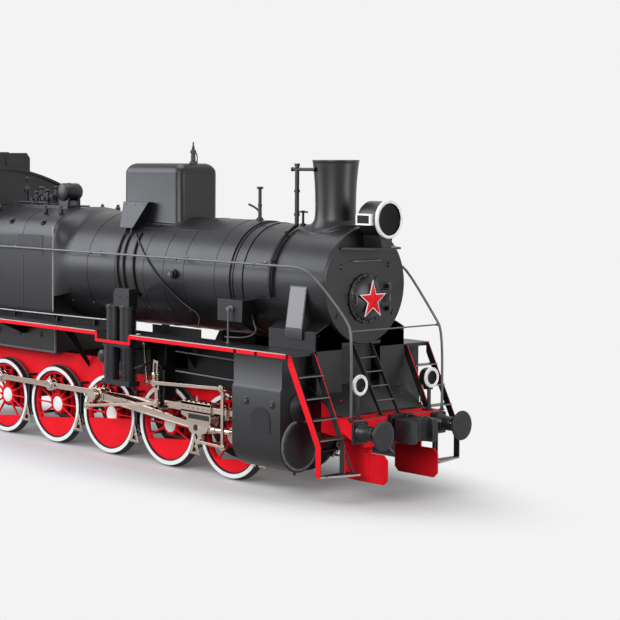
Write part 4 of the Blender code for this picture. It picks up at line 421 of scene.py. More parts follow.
# wheels and rods
def wheelset(i):
    """An axle with its two spoked wheels, tyres and crank pins."""
    y0 = axle_y(i)
    p = Piece(f"wheels_{i + 1}", f"wheelset_{i + 1}", "red_paint", f"wheelset_{i + 1}")
    centre = (0, y0, WHEEL_R)
    p.lathe(band(-0.7, 0.7, 0, 0.096), "x", centre, 40, "tread")
    for name, side in SIDES:
        p.side = side
        crank = CRANK[name]
        tyre = [(TYRE_BACK, BORE - 0.004), (TYRE_BACK, WHEEL_R + 0.012), (0.722, WHEEL_R + 0.024),
                (0.73, WHEEL_R + FLANGE_H), (0.738, WHEEL_R + 0.025), (0.746, WHEEL_R + 0.012),
                (0.754, WHEEL_R + 0.002), (0.766, WHEEL_R), (0.842, WHEEL_R), (TYRE_FACE, WHEEL_R - 0.008),
                (TYRE_FACE, BORE + 0.016), (0.843, BORE + 0.012), (0.843, BORE - 0.004)]
        p.lathe(tyre, "x", centre, 96, ["tread"] * 9 + ["white", "black", "black", "tread"], loop=True)
        rim = [(0.722, BORE + 0.002), (0.722, 0.536), (0.732, 0.524), (0.758, 0.52), (0.794, 0.524),
               (0.812, 0.536), (0.818, BORE + 0.002)]
        p.lathe(rim, "x", centre, 96, "red", loop=True)
        hub = [(FRAME_OUT + RUN_GAP, 0.09), (FRAME_OUT + RUN_GAP, 0.16), (0.69, 0.17), (0.745, 0.178),
               (0.774, 0.166), (0.782, 0.158), (0.782, 0.09)]
        p.lathe(hub, "x", centre, 64, "red", loop=True)
        cap = [(0.765, 0), (0.765, 0.128), (0.784, 0.128), (0.789, 0.122), (0.789, 0.104), (0.793, 0.098),
               (0.796, 0.06), (0.797, 0.02), (0.797, 0)]
        p.lathe(cap, "x", centre, 48, "white")
        lean = crank + 180 - 6
        aim = (math.cos(math.radians(lean)), math.sin(math.radians(lean)))
        chord = CHORDS[i]
        count = 14
        for k in range(count):
            t = math.radians(crank + 360 * (k + 0.5) / count)
            out = (math.cos(t), math.sin(t))
            across = (-out[1], out[0])
            if (out[0] * aim[0] + out[1] * aim[1]) * 0.5 > chord + 0.06:
                continue
            rows = []
            for r, wide, deep in ((0.15, 0.046, 0.04), (0.182, 0.032, 0.034), (0.215, 0.019, 0.028),
                                  (0.3, 0.015, 0.024), (0.42, 0.014, 0.022), (0.49, 0.016, 0.023),
                                  (0.518, 0.027, 0.028), (0.54, 0.042, 0.034)):
                row = []
                for s in (2 * math.pi * n / 12 for n in range(12)):
                    a, b = wide * math.cos(s), deep * math.sin(s)
                    row.append((0.767 + b, y0 + out[0] * r + across[0] * a,
                                WHEEL_R + out[1] * r + across[1] * a))
                rows.append(row)
            p.rows(rows, "red")
        half = math.degrees(math.acos(chord / 0.56))
        segment = arc((y0, WHEEL_R), 0.56, lean - half, lean + half, 40)
        p.slab(segment, "x", 0.728, 0.828, "red")
        pin = (y0 + CRANK_R * math.cos(math.radians(crank)),
               WHEEL_R + CRANK_R * math.sin(math.radians(crank)))
        p.link((y0, WHEEL_R), pin, 0.15, 0.108, 0.064, 0.058, 0.735, 0.78, "red", 20)
        boss = [(0.77, 0), (0.77, 0.106), (0.8, 0.1), (0.88, 0.1), (0.885, 0.094), (0.885, 0)]
        p.lathe(boss, "x", (0, *pin), 36, "steel")
        end = 1.003 if i != DRIVEN else 1.071
        p.lathe(band(0.88, end - 0.016, 0, PIN_R), "x", (0, *pin), 32, "steel")
        p.lathe([(0.9865, 0), (0.9865, 0.082), (0.99, 0.084), (end - 0.006, 0.08), (end, 0.07),
                 (end, 0.046), (end - 0.004, 0.044), (end - 0.004, 0)], "x", (0, *pin), 36, "steel")
        for a, b in around(6, 0.06):
            p.dome((end - 0.003, pin[0] + a, pin[1] + b), OUTWARD, 0.007, "iron")
    p.done(0.005)


def side_rod(name, side):
    """Knuckles on the five crank pins with flat bars between them."""
    p = Piece(f"coupling_rod_{name}", f"side_rod_{name}", "bright_steel", f"side_rod_{name}", side=side)
    crank = math.radians(CRANK[name])
    dy, z = CRANK_R * math.cos(crank), WHEEL_R + CRANK_R * math.sin(crank)
    places = [axle_y(i) + dy for i in range(5)]
    for y in places:
        p.lathe([(0.9255, PIN_R + 0.001), (0.9255, 0.1), (0.93, 0.105), (0.98, 0.105), (0.9845, 0.1),
                 (0.9845, PIN_R + 0.001)], "x", (0, y, z), 48, "steel", loop=True)
        # the oil cup on top of the knuckle
        p.lathe([(0.095, 0), (0.095, 0.03), (0.128, 0.03), (0.132, 0.018), (0.148, 0.018), (0.152, 0)],
                "z", (SIDE_ROD_X, y, z), 16, "steel")
    for one, two in zip(places, places[1:]):
        mid = (one + two) / 2
        a, b = one + 0.085, two - 0.085
        plan = [(a, z - 0.062), (a + 0.1, z - 0.048), (mid, z - 0.046), (b - 0.1, z - 0.048), (b, z - 0.062),
                (b, z + 0.062), (b - 0.1, z + 0.048), (mid, z + 0.046), (a + 0.1, z + 0.048), (a, z + 0.062)]
        p.slab(plan, "x", 0.936, 0.974, "steel")
    for y in (places[1] + 0.16, places[3] - 0.16):
        p.lathe(band(0.931, 0.979, 0, 0.055), "x", (0, y, z), 32, "steel")
        p.lathe([(0.978, 0), (0.978, 0.028), (0.984, 0.026), (0.984, 0)], "x", (0, y, z), 20, "iron")
    p.done(0.004)


def main_rod(name, side):
    """A fluted rod from the crosshead's pin to the crank."""
    at = pose(name)
    p = Piece(f"driving_rod_{name}", f"main_rod_{name}", "bright_steel", f"main_rod_{name}", side=side)
    (y0, z0), (y1, z1) = at["head"], at["main"]
    length = math.hypot(y1 - y0, z1 - z0)
    lean = math.atan2(z1 - z0, y1 - y0)
    c, s = math.cos(lean), math.sin(lean)

    def bar(outline, x0, x1, m):
        p.slab([(y0 + a * c - b * s, z0 + a * s + b * c) for a, b in outline], "x", x0, x1, m)

    a, b = 0.07, length - 0.1
    low, high, flange = 0.052, 0.066, 0.017
    bar([(a, -low), (b, -high), (b, -high + flange), (a, -low + flange)], 1.0865, 1.1535, "steel")
    bar([(a, low - flange), (b, high - flange), (b, high), (a, low)], 1.0865, 1.1535, "steel")
    bar([(a, -low + flange), (b, -high + flange), (b, high - flange), (a, low - flange)], 1.1, 1.14, "steel")
    for share in (0.0, 1.0):
        at_a = a + 0.02 + (b - a - 0.1) * share
        bar([(at_a - 0.03, -0.05), (at_a + 0.07, -0.056), (at_a + 0.07, 0.056), (at_a - 0.03, 0.05)],
            1.0866, 1.1534, "steel")
    p.lathe(band(1.0862, 1.1538, 0.046, 0.084), "x", (0, y0, z0), 40, "steel", loop=True)
    big = [(length - 0.165, -0.085), (length - 0.135, -0.118), (length + 0.09, -0.118),
           (length + 0.118, -0.09), (length + 0.118, 0.09), (length + 0.09, 0.118), (length - 0.135, 0.118),
           (length - 0.165, 0.085)]
    bar(big, 1.085, 1.155, "steel")
    for sign in (-1, 1):
        bar(rect(length - 0.15, length + 0.1, sign * 0.07, sign * 0.102), 1.154, 1.161, "steel")
        for t in (-0.115, 0.065):
            place = (1.16, y0 + (length + t) * c - sign * 0.086 * s,
                     z0 + (length + t) * s + sign * 0.086 * c)
            p.bolt(place, OUTWARD, 0.015, "steel")
    p.lathe([(1.15, 0), (1.15, 0.077), (1.178, 0.077), (1.185, 0.07), (1.185, 0)], "x", (0, y1, z1), 40,
            "steel")
    for a, b in around(6, 0.055, 0.5):
        p.dome((1.184, y1 + a, z1 + b), OUTWARD, 0.007, "iron")
    p.lathe([(0.11, 0), (0.11, 0.026), (0.15, 0.026), (0.154, 0.014), (0.166, 0.014), (0.168, 0)], "z",
            (CYL_X, y1, z1), 16, "steel")
    p.done(0.004)


def crosshead(name, side):
    """The slipper round its bar, with arm, pin and piston rod."""
    at = pose(name)
    y, z = at["head"]
    p = Piece(f"slipper_{name}", f"crosshead_{name}", "bright_steel", f"crosshead_{name}", side=side)
    wide, half, inner, outer = 0.095, 0.33, 1.0844, 1.1556
    low, high = BAR_Z - 0.0425, BAR_Z + 0.0425
    x0, x1 = CYL_X - wide, CYL_X + wide
    p.box((x0, y - half, low - 0.06), (x1, y + half, low - RUN_GAP), "steel")
    p.box((x0, y - half, high + RUN_GAP), (x1, y + half, high + 0.045), "steel")
    for a, b in ((x0, CYL_X - 0.0656), (CYL_X + 0.0656, x1)):
        p.box((a, y - half, low - 0.03), (b, y + half, high + 0.04), "steel")
    # castellated keeper with its studs, and the oil cup
    for k in range(6):
        at_y = y - half + 0.055 + k * 0.11
        p.box((x0 + 0.012, at_y - 0.026, high + 0.04), (x1 - 0.012, at_y + 0.026, high + 0.062), "steel")
        p.bolt((x1 - 0.03, at_y, high + 0.06), UPWARD, 0.011, "iron", 0.5)
        p.bolt((x1 - 0.001, at_y, BAR_Z), OUTWARD, 0.012, "iron", 0.35)
    p.lathe([(0.05, 0), (0.05, 0.022), (0.11, 0.022), (0.115, 0.011), (0.14, 0.011), (0.142, 0)], "z",
            (CYL_X, y + 0.06, high), 20, "steel")
    neck = [(y - half, low - 0.03), (y - half, low - 0.14), (y - half * 0.7, z - 0.062),
            (y - 0.12, z - 0.092), (y + 0.09, z - 0.096), (y + 0.15, z - 0.055),
            (y + half * 0.66, low - 0.12), (y + half, low - 0.09), (y + half, low - 0.03)]
    p.slab(neck, "x", x0 + 0.004, inner, "steel")
    p.slab(neck, "x", outer, x1 - 0.004, "steel")
    p.slab([(y - half, low - 0.03), (y - half, low - 0.14), (y - half * 0.7, z - 0.062),
            (y - 0.12, z - 0.07), (y - 0.12, low - 0.03)], "x", inner - 0.003, outer + 0.003, "steel")
    p.box((x1 - 0.006, y - half * 0.9, low - 0.13), (x1, y + half * 0.5, low - 0.05), "iron")
    arm = at["arm"]
    p.slab([(arm[0] - 0.045, arm[1] - 0.03), (arm[0] - 0.03, arm[1] - 0.045),
            (arm[0] + 0.03, arm[1] - 0.045), (arm[0] + 0.045, arm[1] - 0.03),
            (arm[0] + 0.055, arm[1] + 0.06), (arm[0] + 0.12, arm[1] + 0.22), (arm[0] - 0.02, arm[1] + 0.22)],
           "x", outer, x1, "steel")
    p.bolt((x1 - 0.013, y, z), OUTWARD, 0.055, "iron", 0.25)
    p.lathe(band(x0 + 0.002, x1 - 0.002, 0, 0.045), "x", (0, y, z), 32, "steel")
    tip = CYL_REAR - 0.05 + y + 2.157
    front = y - half
    p.lathe([(tip, 0), (tip, 0.0445), (front - 0.05, 0.0445), (front - 0.04, 0.062), (front + 0.02, 0.066),
             (front + 0.2, 0.085), (front + 0.2, 0)], "y", (CYL_X, 0, z), 36, "steel")
    p.done(0.003)


def motion(name, side):
    """Slide bar and bracket, then the valve gear in bright steel."""
    at = pose(name)
    p = Piece(f"guide_{name}", "chassis", "dark_iron", f"slide_bar_{name}", side=side)
    low, high = BAR_Z - 0.0425, BAR_Z + 0.0425
    p.box((CYL_X - 0.065, CYL_REAR + SEAT, low), (CYL_X + 0.065, BRACKET_Y + 0.04, high), "steel")
    over = WHEEL_R * 2 + FLANGE_H + 0.024
    clear = WHEEL_R + CRANK_R + 0.129
    web_x = 1.188
    web = [(FRAME_OUT + SEAT, over), (0.88, over), (0.905, clear), (CYL_X - 0.07, clear),
           (CYL_X - 0.07, low - 0.05), (web_x, low - 0.05), (web_x, 1.62), (CYL_X - 0.02, 1.68),
           (CYL_X - 0.02, 2.02), (0.98, 2.02), (FRAME_OUT + SEAT, 1.68)]
    p.slab(web, "y", BRACKET_Y, BRACKET_Y + 0.04, "soot_and_shade")
    # painted shade: a near-black sheet between the cylinder and the bracket stands in for the shadowed space
    # behind the slide bars
    p.slab([(CYL_REAR + 0.0005, 1.42), (BRACKET_Y + 0.01, 1.38), (BRACKET_Y + 0.01, 2.02),
            (CYL_REAR + 0.0005, 2.02)], "x", 0.895, 0.905, "soot_and_shade")
    for z in (1.93, 1.62):
        p.tube([(1.235, CYL_REAR + 0.0005, z - 0.02), (1.215, -2.05, z)], 0.012, "rail", 10)
    p.box((web_x - 0.03, BRACKET_Y - 0.05, low - 0.045), (web_x, BRACKET_Y + 0.09, 1.6), "black")
    p.box((FRAME_OUT + SEAT, BRACKET_Y - 0.03, over - 0.001), (0.905, BRACKET_Y + 0.07, over + 0.022),
          "black")
    p.slab([(BRACKET_Y + 0.01, LINK_PIVOT[1] - 0.2), (LINK_PIVOT[0] + 0.07, LINK_PIVOT[1] - 0.07),
            (LINK_PIVOT[0] + 0.07, LINK_PIVOT[1] + 0.07), (BRACKET_Y + 0.01, LINK_PIVOT[1] + 0.16)],
           "x", 1.156, 1.208, "black")
    p.box((CYL_X - 0.09, CYL_REAR + 0.0005, low - 0.04), (CYL_X + 0.09, CYL_REAR + 0.06, high + 0.05),
          "iron")
    for a, b in ((-0.07, 0.035), (0.07, 0.035), (-0.07, -0.062), (0.07, -0.062)):
        p.bolt((CYL_X + a, CYL_REAR + 0.058, BAR_Z + b), (0, 1, 0), 0.015, "iron")
    for k in range(5):
        p.bolt((web_x - 0.002, BRACKET_Y + 0.02, low + 0.05 + k * 0.1), OUTWARD, 0.012, "iron", 0.5)
    p.done(0.004)

    g = Piece(f"radial_gear_{name}", "chassis", "bright_steel", f"valve_gear_{name}", side=side)
    half, eye, pin = GEAR_T / 2, 0.062, 0.032
    inner, outer = GEAR_X - GEAR_T, GEAR_X + GEAR_T
    top = (SPINDLE[0], VALVE_Z + 0.13)
    die = (LINK_PIVOT[0] + 0.005, LINK_PIVOT[1] - 0.12)
    g.link(at["main"], at["back"], 0.095, 0.066, 0.062, 0.046, inner - half, inner + half, "steel", 20)
    g.link(at["back"], at["foot"], eye, eye * 0.94, 0.02, 0.027, outer - half * 0.8, outer + half * 0.8,
           "steel")
    g.link(top, at["low"], eye * 0.9, eye * 0.85, 0.03, 0.024, GEAR_X - half, GEAR_X + half, "steel")
    g.link(die, top, eye, eye * 0.9, 0.027, 0.024, outer - half, outer + half, "steel")
    x0 = 1.215 + 0.006
    g.link(at["arm"], at["low"], 0.044, 0.044, 0.02, 0.02, x0, x0 + GEAR_T, "steel")
    lift_top, lift_low = (-1.365, 2.00), (-1.445, 1.385)
    g.link(lift_low, lift_top, 0.04, 0.04, 0.018, 0.018, outer - half, outer + half, "steel")
    g.link(lift_low, die, 0.045, 0.045, 0.024, 0.024, outer - half * 0.99, outer + half * 0.99, "steel")
    g.link((lift_top[0] + 0.02, 1.985), (lift_top[0] + 0.3, 1.93), 0.05, 0.06, 0.026, 0.032,
           outer - half - 0.012, outer + half - 0.012, "steel")
    lean = math.atan2(at["foot"][0] - LINK_PIVOT[0], LINK_PIVOT[1] - at["foot"][1])
    curve = 1.1
    for w, t, m, grow in ((0.055, half * 1.2, "steel", 0), (0.028, half * 1.26, "iron", -0.04)):
        span = (0.24 + grow) / curve * 57.3
        plan = arc((-curve, 0), curve + w, -span, span, 16) + arc((-curve, 0), curve - w, span, -span, 16)
        g.slab([(LINK_PIVOT[0] + a * math.cos(lean) - b * math.sin(lean),
                 LINK_PIVOT[1] + a * math.sin(lean) + b * math.cos(lean)) for a, b in plan],
               "x", GEAR_X - t, GEAR_X + t, m)
    g.link(LINK_PIVOT, at["foot"], eye, eye * 0.95, 0.038, 0.034, GEAR_X - half, GEAR_X + half, "steel")
    g.lathe([(GEAR_X - 0.036, 0), (GEAR_X - 0.036, 0.048), (1.312, 0.048), (1.316, 0.042), (1.316, 0)], "x",
            (0, *LINK_PIVOT), 32, "steel")
    for place, start, end in ((at["back"], inner - half, outer + half),
                              (at["foot"], inner - half, outer + half), (top, GEAR_X, outer + half),
                              (at["low"], x0, outer), (at["arm"], x0, x0 + GEAR_T),
                              (die, outer - half, outer + half), (lift_top, outer - half, outer + half),
                              (lift_low, outer - half, outer + half)):
        r = pin if place in (at["back"], at["foot"], top) else 0.022
        g.lathe(band(start, end + 0.004, 0, r), "x", (0, *place), 24, "steel")
        g.bolt((end + 0.002, *place), OUTWARD, r * 0.72, "steel", 0.5)
    g.tube([(CYL_X, *SPINDLE), (GEAR_X, *SPINDLE)], 0.032, "steel", 24)
    g.lathe([(CYL_REAR + SEAT, 0), (CYL_REAR + SEAT, 0.031), (SPINDLE[0] + 0.03, 0.031),
             (SPINDLE[0] + 0.05, 0)], "y", (CYL_X, 0, VALVE_Z), 24, "steel")
    g.box((CYL_X - 0.045, SPINDLE[0] - 0.05, VALVE_Z - 0.045),
          (CYL_X + 0.045, SPINDLE[0] + 0.05, VALVE_Z + 0.045), "steel")
    g.done(0.0025)


def cylinder(name, side):
    """Cylinder and valve chest in one casing, with their covers."""
    p = Piece(f"engine_cylinder_{name}", "chassis", "black_paint", f"cylinder_{name}", side=side)
    outer, crease, top = CYL_X + CYL_R, 1.61, BOARD_TOP - 0.0603
    plan = (arc((CYL_X, CYL_Z), CYL_R, 0, -150, 40)
            + [(FRAME_OUT + SEAT, CYL_Z + 0.1), (FRAME_OUT + SEAT, crease - 0.12), (CYL_X - 0.3, crease),
               (CYL_X - 0.3, top), (outer - 0.03, top), (outer - 0.03, crease + 0.02),
               (outer - 0.022, crease + 0.006), (outer - 0.006, crease - 0.012), (outer, crease - 0.03)])
    p.slab(plan, "y", CYL_FRONT, CYL_REAR, "black")
    # the raised panel with its arched top, and two round plugs
    p.slab([(-4.4, 0.96), (-4.01, 0.96)] + arc((-4.205, 1.13), 0.195, 0, 180, 20), "x", outer - 0.004,
           outer + 0.0095, "black")
    for y, z in ((-4.437, 1.38), (-3.907, 1.39)):
        p.lathe([(-0.01, 0), (-0.01, 0.058), (0.006, 0.058), (0.01, 0.052), (0.01, 0.034), (0.018, 0.028),
                 (0.02, 0)], "x", (outer, y, z), 32, "black")
        p.lathe([(0.016, 0), (0.016, 0.022), (0.024, 0.02), (0.024, 0)], "x", (outer, y, z), 6, "rail")
    for y in (CYL_FRONT + 0.06, CYL_REAR - 0.06):
        for z in (0.84, 1.02, 1.2, 1.38, 1.54):
            p.dome((outer - 0.001, y, z), OUTWARD, 0.008, "black")
        for z in (1.68, 1.86, 2.04):
            p.dome((outer - 0.031, y, z), OUTWARD, 0.008, "black")
    face = CYL_FRONT - 0.01
    # painted highlight: a grey ring on the front cover's rim
    p.lathe([(CYL_FRONT + 0.02, 0.344), (CYL_FRONT + 0.02, 0.38), (face - 0.002, 0.38),
             (face - 0.008, 0.374), (face - 0.008, 0.344)], "y", (CYL_X, 0, CYL_Z), 72, "painted_sheen", loop=True)
    p.lathe([(CYL_FRONT + 0.02, 0), (CYL_FRONT + 0.02, 0.352), (face, 0.352), (face - 0.006, 0.34),
             (face - 0.014, 0.29), (face - 0.028, 0.2), (face - 0.04, 0.1), (face - 0.046, 0)],
            "y", (CYL_X, 0, CYL_Z), 72, "black")
    p.lathe([(0.02, 0), (0.02, 0.222), (-0.016, 0.222), (-0.024, 0.214), (-0.03, 0.18), (-0.044, 0.12),
             (-0.055, 0.05), (-0.056, 0)], "y", (CYL_X, CYL_FRONT, VALVE_Z), 56, "black")
    for a, b in around(16, 0.362, 0.5):
        p.bolt((CYL_X + a, face - 0.006, CYL_Z + b), FORWARD, 0.01, "iron", 0.6)
    for a, b in around(16, 0.196, 0.5)[1::2]:
        p.bolt((CYL_X + a, CYL_FRONT - 0.026, VALVE_Z + b), FORWARD, 0.01, "iron", 0.6)
    # rear covers round the piston rod and the valve spindle
    p.lathe([(-0.02, 0.0475), (-0.02, 0.33), (0.012, 0.33), (0.02, 0.3), (0.024, 0.12), (0.06, 0.09),
             (0.064, 0.0475)], "y", (CYL_X, CYL_REAR, CYL_Z), 56, "iron", loop=True)
    p.lathe([(-0.02, 0), (-0.02, 0.2), (0.014, 0.2), (0.02, 0.17), (0.03, 0.07), (0.1, 0.055), (0.1, 0)],
            "y", (CYL_X, CYL_REAR, VALVE_Z), 48, "iron")
    # drain cocks under the barrel
    for y in (CYL_FRONT + 0.1, CYL_REAR - 0.12):
        p.lathe([(0.315, 0), (0.315, 0.014), (0.345, 0.022), (0.372, 0.022), (0.38, 0.03), (0.38, 0)], "z",
                (CYL_X, y, 0), 16, "iron")
    p.done(0.005)


# frame and front
def frame_and_beam():
    """Plate frames with axleboxes and springs, then the front beam."""
    p = Piece("engine_frame", "chassis", "red_paint", "main_frame")
    front, rear, foot, leg_foot = BEAM_FACE + 0.36, DRAG_REAR, 1.0, 0.47
    low = []
    for i in range(5):
        y = axle_y(i)
        low += [(y - 0.3, foot), (y - 0.235, foot - 0.05), (y - 0.21, leg_foot), (y + 0.21, leg_foot),
                (y + 0.235, foot - 0.05), (y + 0.3, foot)]
    plan = ([(front + 0.5, FRAME_FRONT_TOP), (front, 1.168), (front, BEAM_FOOT + 0.05),
             (front + 1.2, foot)] + low + [(rear - 0.9, foot), (rear, BEAM_FOOT), (rear, FRAME_FRONT_TOP),
                                           (rear - 0.4, FRAME_TOP), (-1.02, FRAME_TOP),
                                           (-1.17, FRAME_FRONT_TOP)])
    bores = [ring((axle_y(i), WHEEL_R), 0.0995, 32) for i in range(5)]
    for _ in p.both():
        p.slab(plan, "x", FRAME_IN, FRAME_OUT, "red", bores)
        for i in range(5):
            y = axle_y(i)
            # painted shade: a near-black disc and patch on each frame plate behind each wheel stand in for
            # the shadow between the spokes
            low = math.degrees(math.asin((foot + 0.004 - WHEEL_R) / 0.545))
            p.slab(arc((y, WHEEL_R), 0.545, low, 180 - low, 30), "x", FRAME_OUT - 0.002, FRAME_OUT + 0.0004,
                   "soot_and_shade")
            p.slab(rect(y - 0.208, y + 0.208, leg_foot + 0.002, foot + 0.02), "x", FRAME_OUT - 0.002,
                   FRAME_OUT + 0.0004, "soot_and_shade", [ring((y, WHEEL_R), 0.0995, 32)])
            for dy in (-0.165, 0.165):
                p.box((FRAME_OUT - 0.14, y + dy - 0.028, leg_foot + 0.02),
                      (FRAME_IN + 0.01, y + dy + 0.028, foot - 0.06), "red")
            p.box((FRAME_IN - 0.03, y - 0.23, leg_foot - 0.03),
                  (FRAME_OUT - 0.004, y + 0.23, leg_foot + 0.012), "iron")
            for dy in (-0.19, 0.19):
                p.bolt((0.62, y + dy, leg_foot - 0.028), (0, 0, -1), 0.018, "iron")
            p.lathe(band(0.56, FRAME_IN + 0.01, 0.1, 0.15), "x", (0, y, WHEEL_R), 32, "iron", loop=True)
            # the spring above each axlebox, inside the plates
            for k in range(7):
                long = 0.46 - 0.055 * k
                p.tube([(0.52, y - long, 1.19 - k * 0.018), (0.52, y, 1.15 - k * 0.018),
                        (0.52, y + long, 1.19 - k * 0.018)], 0.013, "iron", 6, smooth=2)
            p.box((0.49, y - 0.05, 0.99), (0.55, y + 0.05, 1.18), "iron")
        for k in range(26):
            y = front + 0.15 + k * 0.42
            if y < rear - 0.2:
                p.dome((FRAME_OUT - 0.001, y, 1.44), OUTWARD, 0.014, "red")
    half = PITCH / 2
    for y, t, z0, z1 in ((front + 0.3, 0.06, BEAM_FOOT + 0.08, 1.168),
                         (CYL_FRONT + 0.2, 0.08, foot + 0.02, 1.48),
                         (axle_y(1) - half, 0.05, foot + 0.03, 1.46),
                         (axle_y(2) - half, 0.05, foot + 0.03, 1.46),
                         (axle_y(3) - half, 0.05, foot + 0.03, 1.42),
                         (BOX_REAR - 0.12, 0.05, foot + 0.03, 1.42),
                         (rear - 0.22, 0.18, BEAM_FOOT + 0.03, 1.45)):
        p.box((-FRAME_IN - 0.01, y - t, z0), (FRAME_IN + 0.01, y + t, z1), "red")
        for x in (-0.35, 0.0, 0.35):
            p.lathe(band(-0.004, 0.01, 0, 0.085), "y", (x, y - t, (z0 + z1) / 2), 24, "iron")
    p.box((-0.16, rear - 0.03, 0.98), (0.16, rear, 1.32), "iron")
    p.done(0.005)

    b = Piece("front_beam", "chassis", "red_paint", "buffer_beam")
    taper, deep = 0.14, BEAM_FACE + 0.3597
    plan = [(-BEAM_W, BEAM_TOP), (-BEAM_W, BEAM_FOOT + taper), (-BEAM_W + taper * 2, BEAM_FOOT),
            (BEAM_W - taper * 2, BEAM_FOOT), (BEAM_W, BEAM_FOOT + taper), (BEAM_W, BEAM_TOP)]
    b.slab(plan, "y", BEAM_FACE, BEAM_FACE + 0.03, "red")
    b.box((-BEAM_W, BEAM_FACE - 0.001, BEAM_TOP - 0.03), (BEAM_W, deep, BEAM_TOP), "red")
    b.box((-BEAM_W - 0.001, BEAM_FACE - 0.004, BEAM_TOP - 0.01),
          (BEAM_W + 0.001, BEAM_FACE + 0.01, BEAM_TOP + 0.001), "rail")
    for x in (-BEAM_W + 0.0175, -0.32, 0.32, BEAM_W - 0.0175):
        b.slab([(BEAM_FACE + 0.02, BEAM_TOP - 0.02), (BEAM_FACE + 0.02, BEAM_FOOT + taper),
                (deep - 0.02, BEAM_TOP - 0.12), (deep - 0.02, BEAM_TOP - 0.02)], "x", x - 0.0155, x + 0.0155,
               "red")
    for x in (-0.56, -0.45, 0.45, 0.56):
        for z in (0.88, 1.02, 1.16):
            b.dome((x, BEAM_FACE + 0.002, z), FORWARD, 0.012, "red")
    for k in range(13):
        b.dome((-0.9 + k * 0.15, BEAM_FACE + 0.05, BEAM_TOP - 0.001), UPWARD, 0.01, "red")
    b.done(0.004)


def buffers(name, side):
    p = Piece(f"buffer_gear_{name}", "chassis", "dark_iron", f"buffer_{name}", side=side)
    x, z, base, face = 0.852, 1.062, BEAM_FACE - SEAT, -5.959
    plan = []
    for cx, cz, start in ((0.122, 0.123, 0), (-0.122, 0.123, 90), (-0.122, -0.14, 180), (0.122, -0.14, 270)):
        plan += [(x + a, z + b) for a, b in arc((cx, cz), 0.028, start, start + 90, 6)]
    p.slab(plan, "y", base - 0.045, base, "black")
    for a, b in ((0.115, 0.115), (-0.115, 0.115), (-0.115, -0.132), (0.115, -0.132)):
        p.bolt((x + a, base - 0.044, z + b), FORWARD, 0.019, "iron")
    p.lathe([(base - 0.02, 0), (base - 0.02, 0.138), (base - 0.055, 0.138), (base - 0.075, 0.124),
             (base - 0.155, 0.114), (base - 0.165, 0.106), (base - 0.285, 0.104), (base - 0.3, 0.098),
             (base - 0.3, 0.062), (face + 0.06, 0.06), (face + 0.046, 0.085), (face + 0.04, 0.19),
             (face + 0.034, 0.208), (face + 0.022, 0.2175), (face + 0.01, 0.2175), (face + 0.004, 0.213),
             (face + 0.0005, 0.2), (face, 0.15), (face, 0)], "y", (x, 0, z), 64,
            ["black"] * 8 + ["steel"] + ["iron"] * 9)
    p.done(0.003)


def coupler():
    p = Piece("centre_coupler", "chassis", "dark_iron", "coupler")
    nose, z0, z1 = -5.985, 0.885, 1.215
    guard = [(-0.235, -5.62), (-0.285, -5.7), (-0.3, -5.82), (-0.3, nose + 0.05), (-0.28, nose + 0.012),
             (-0.2, nose), (-0.165, nose + 0.012), (-0.13, nose + 0.1), (-0.09, nose + 0.145),
             (0.0, nose + 0.17), (0.07, nose + 0.165), (0.14, nose + 0.12), (0.16, nose + 0.08),
             (0.165, nose + 0.01), (0.18, nose), (0.262, nose), (0.275, nose + 0.01), (0.325, -5.86),
             (0.33, -5.8), (0.3, -5.68), (0.235, -5.62)]
    p.slab(guard, "z", z0 + 0.03, z1 - 0.03, "iron")
    p.slab([(a * 0.96, nose + 0.012 + (b - nose) * 0.97) for a, b in guard], "z", z0, z1, "iron")
    p.box((-0.13, -5.66, 0.93), (0.13, BEAM_FACE - 0.06, 1.19), "iron")
    p.box((-0.235, BEAM_FACE - 0.075, 0.865), (0.235, BEAM_FACE - SEAT, BEAM_TOP + 0.028), "black")
    for x in (-0.2, 0.2):
        for z in (0.9, 1.06, 1.22):
            p.bolt((x, BEAM_FACE - 0.074, z), FORWARD, 0.018, "iron")
    p.lathe([(z0 - 0.012, 0), (z0 - 0.012, 0.042), (z1 + 0.012, 0.042), (z1 + 0.018, 0.03), (z1 + 0.018, 0)],
            "z", (0.245, -5.8, 0), 24, "iron")
    p.box((0.155, nose + 0.001, 0.96), (0.262, nose + 0.09, 1.14), "iron")
    p.tube([(0.32, -5.62, 1.18), (0.6, -5.6, 1.16), (0.68, -5.6, 1.1), (0.68, -5.6, 0.92)], 0.013, "iron",
           10, 2)
    p.tube([(0.02, -5.62, 1.215), (0.02, -5.62, 1.25), (0.1, -5.62, 1.255), (0.34, -5.62, 1.18)], 0.012,
           "iron", 10, 1)
    p.done(0.006)


def rail_guard(name, side):
    p = Piece(f"guard_iron_{name}", "chassis", "red_paint", f"rail_guard_{name}", side=side)
    rear, front, foot, head, root, cut = -4.97, -5.76, 0.29, 0.72, BEAM_FACE + 0.0353, 0.07
    plan = [(rear, 0.95), (rear, foot + cut), (rear - cut, foot), (front + cut, foot), (front, foot + cut),
            (front, head - cut), (front + cut, head), (root, head), (root, 0.95)]
    p.slab(plan, "x", 0.53, 0.56, "red")
    for y in (-5.4, -5.02):
        p.box((0.556, y - 0.03, foot + 0.05), (0.57, y + 0.03, 0.93), "red")
        for z in (0.74, 0.86):
            p.bolt((0.568, y, z), OUTWARD, 0.017, "iron")
    p.done(0.004)


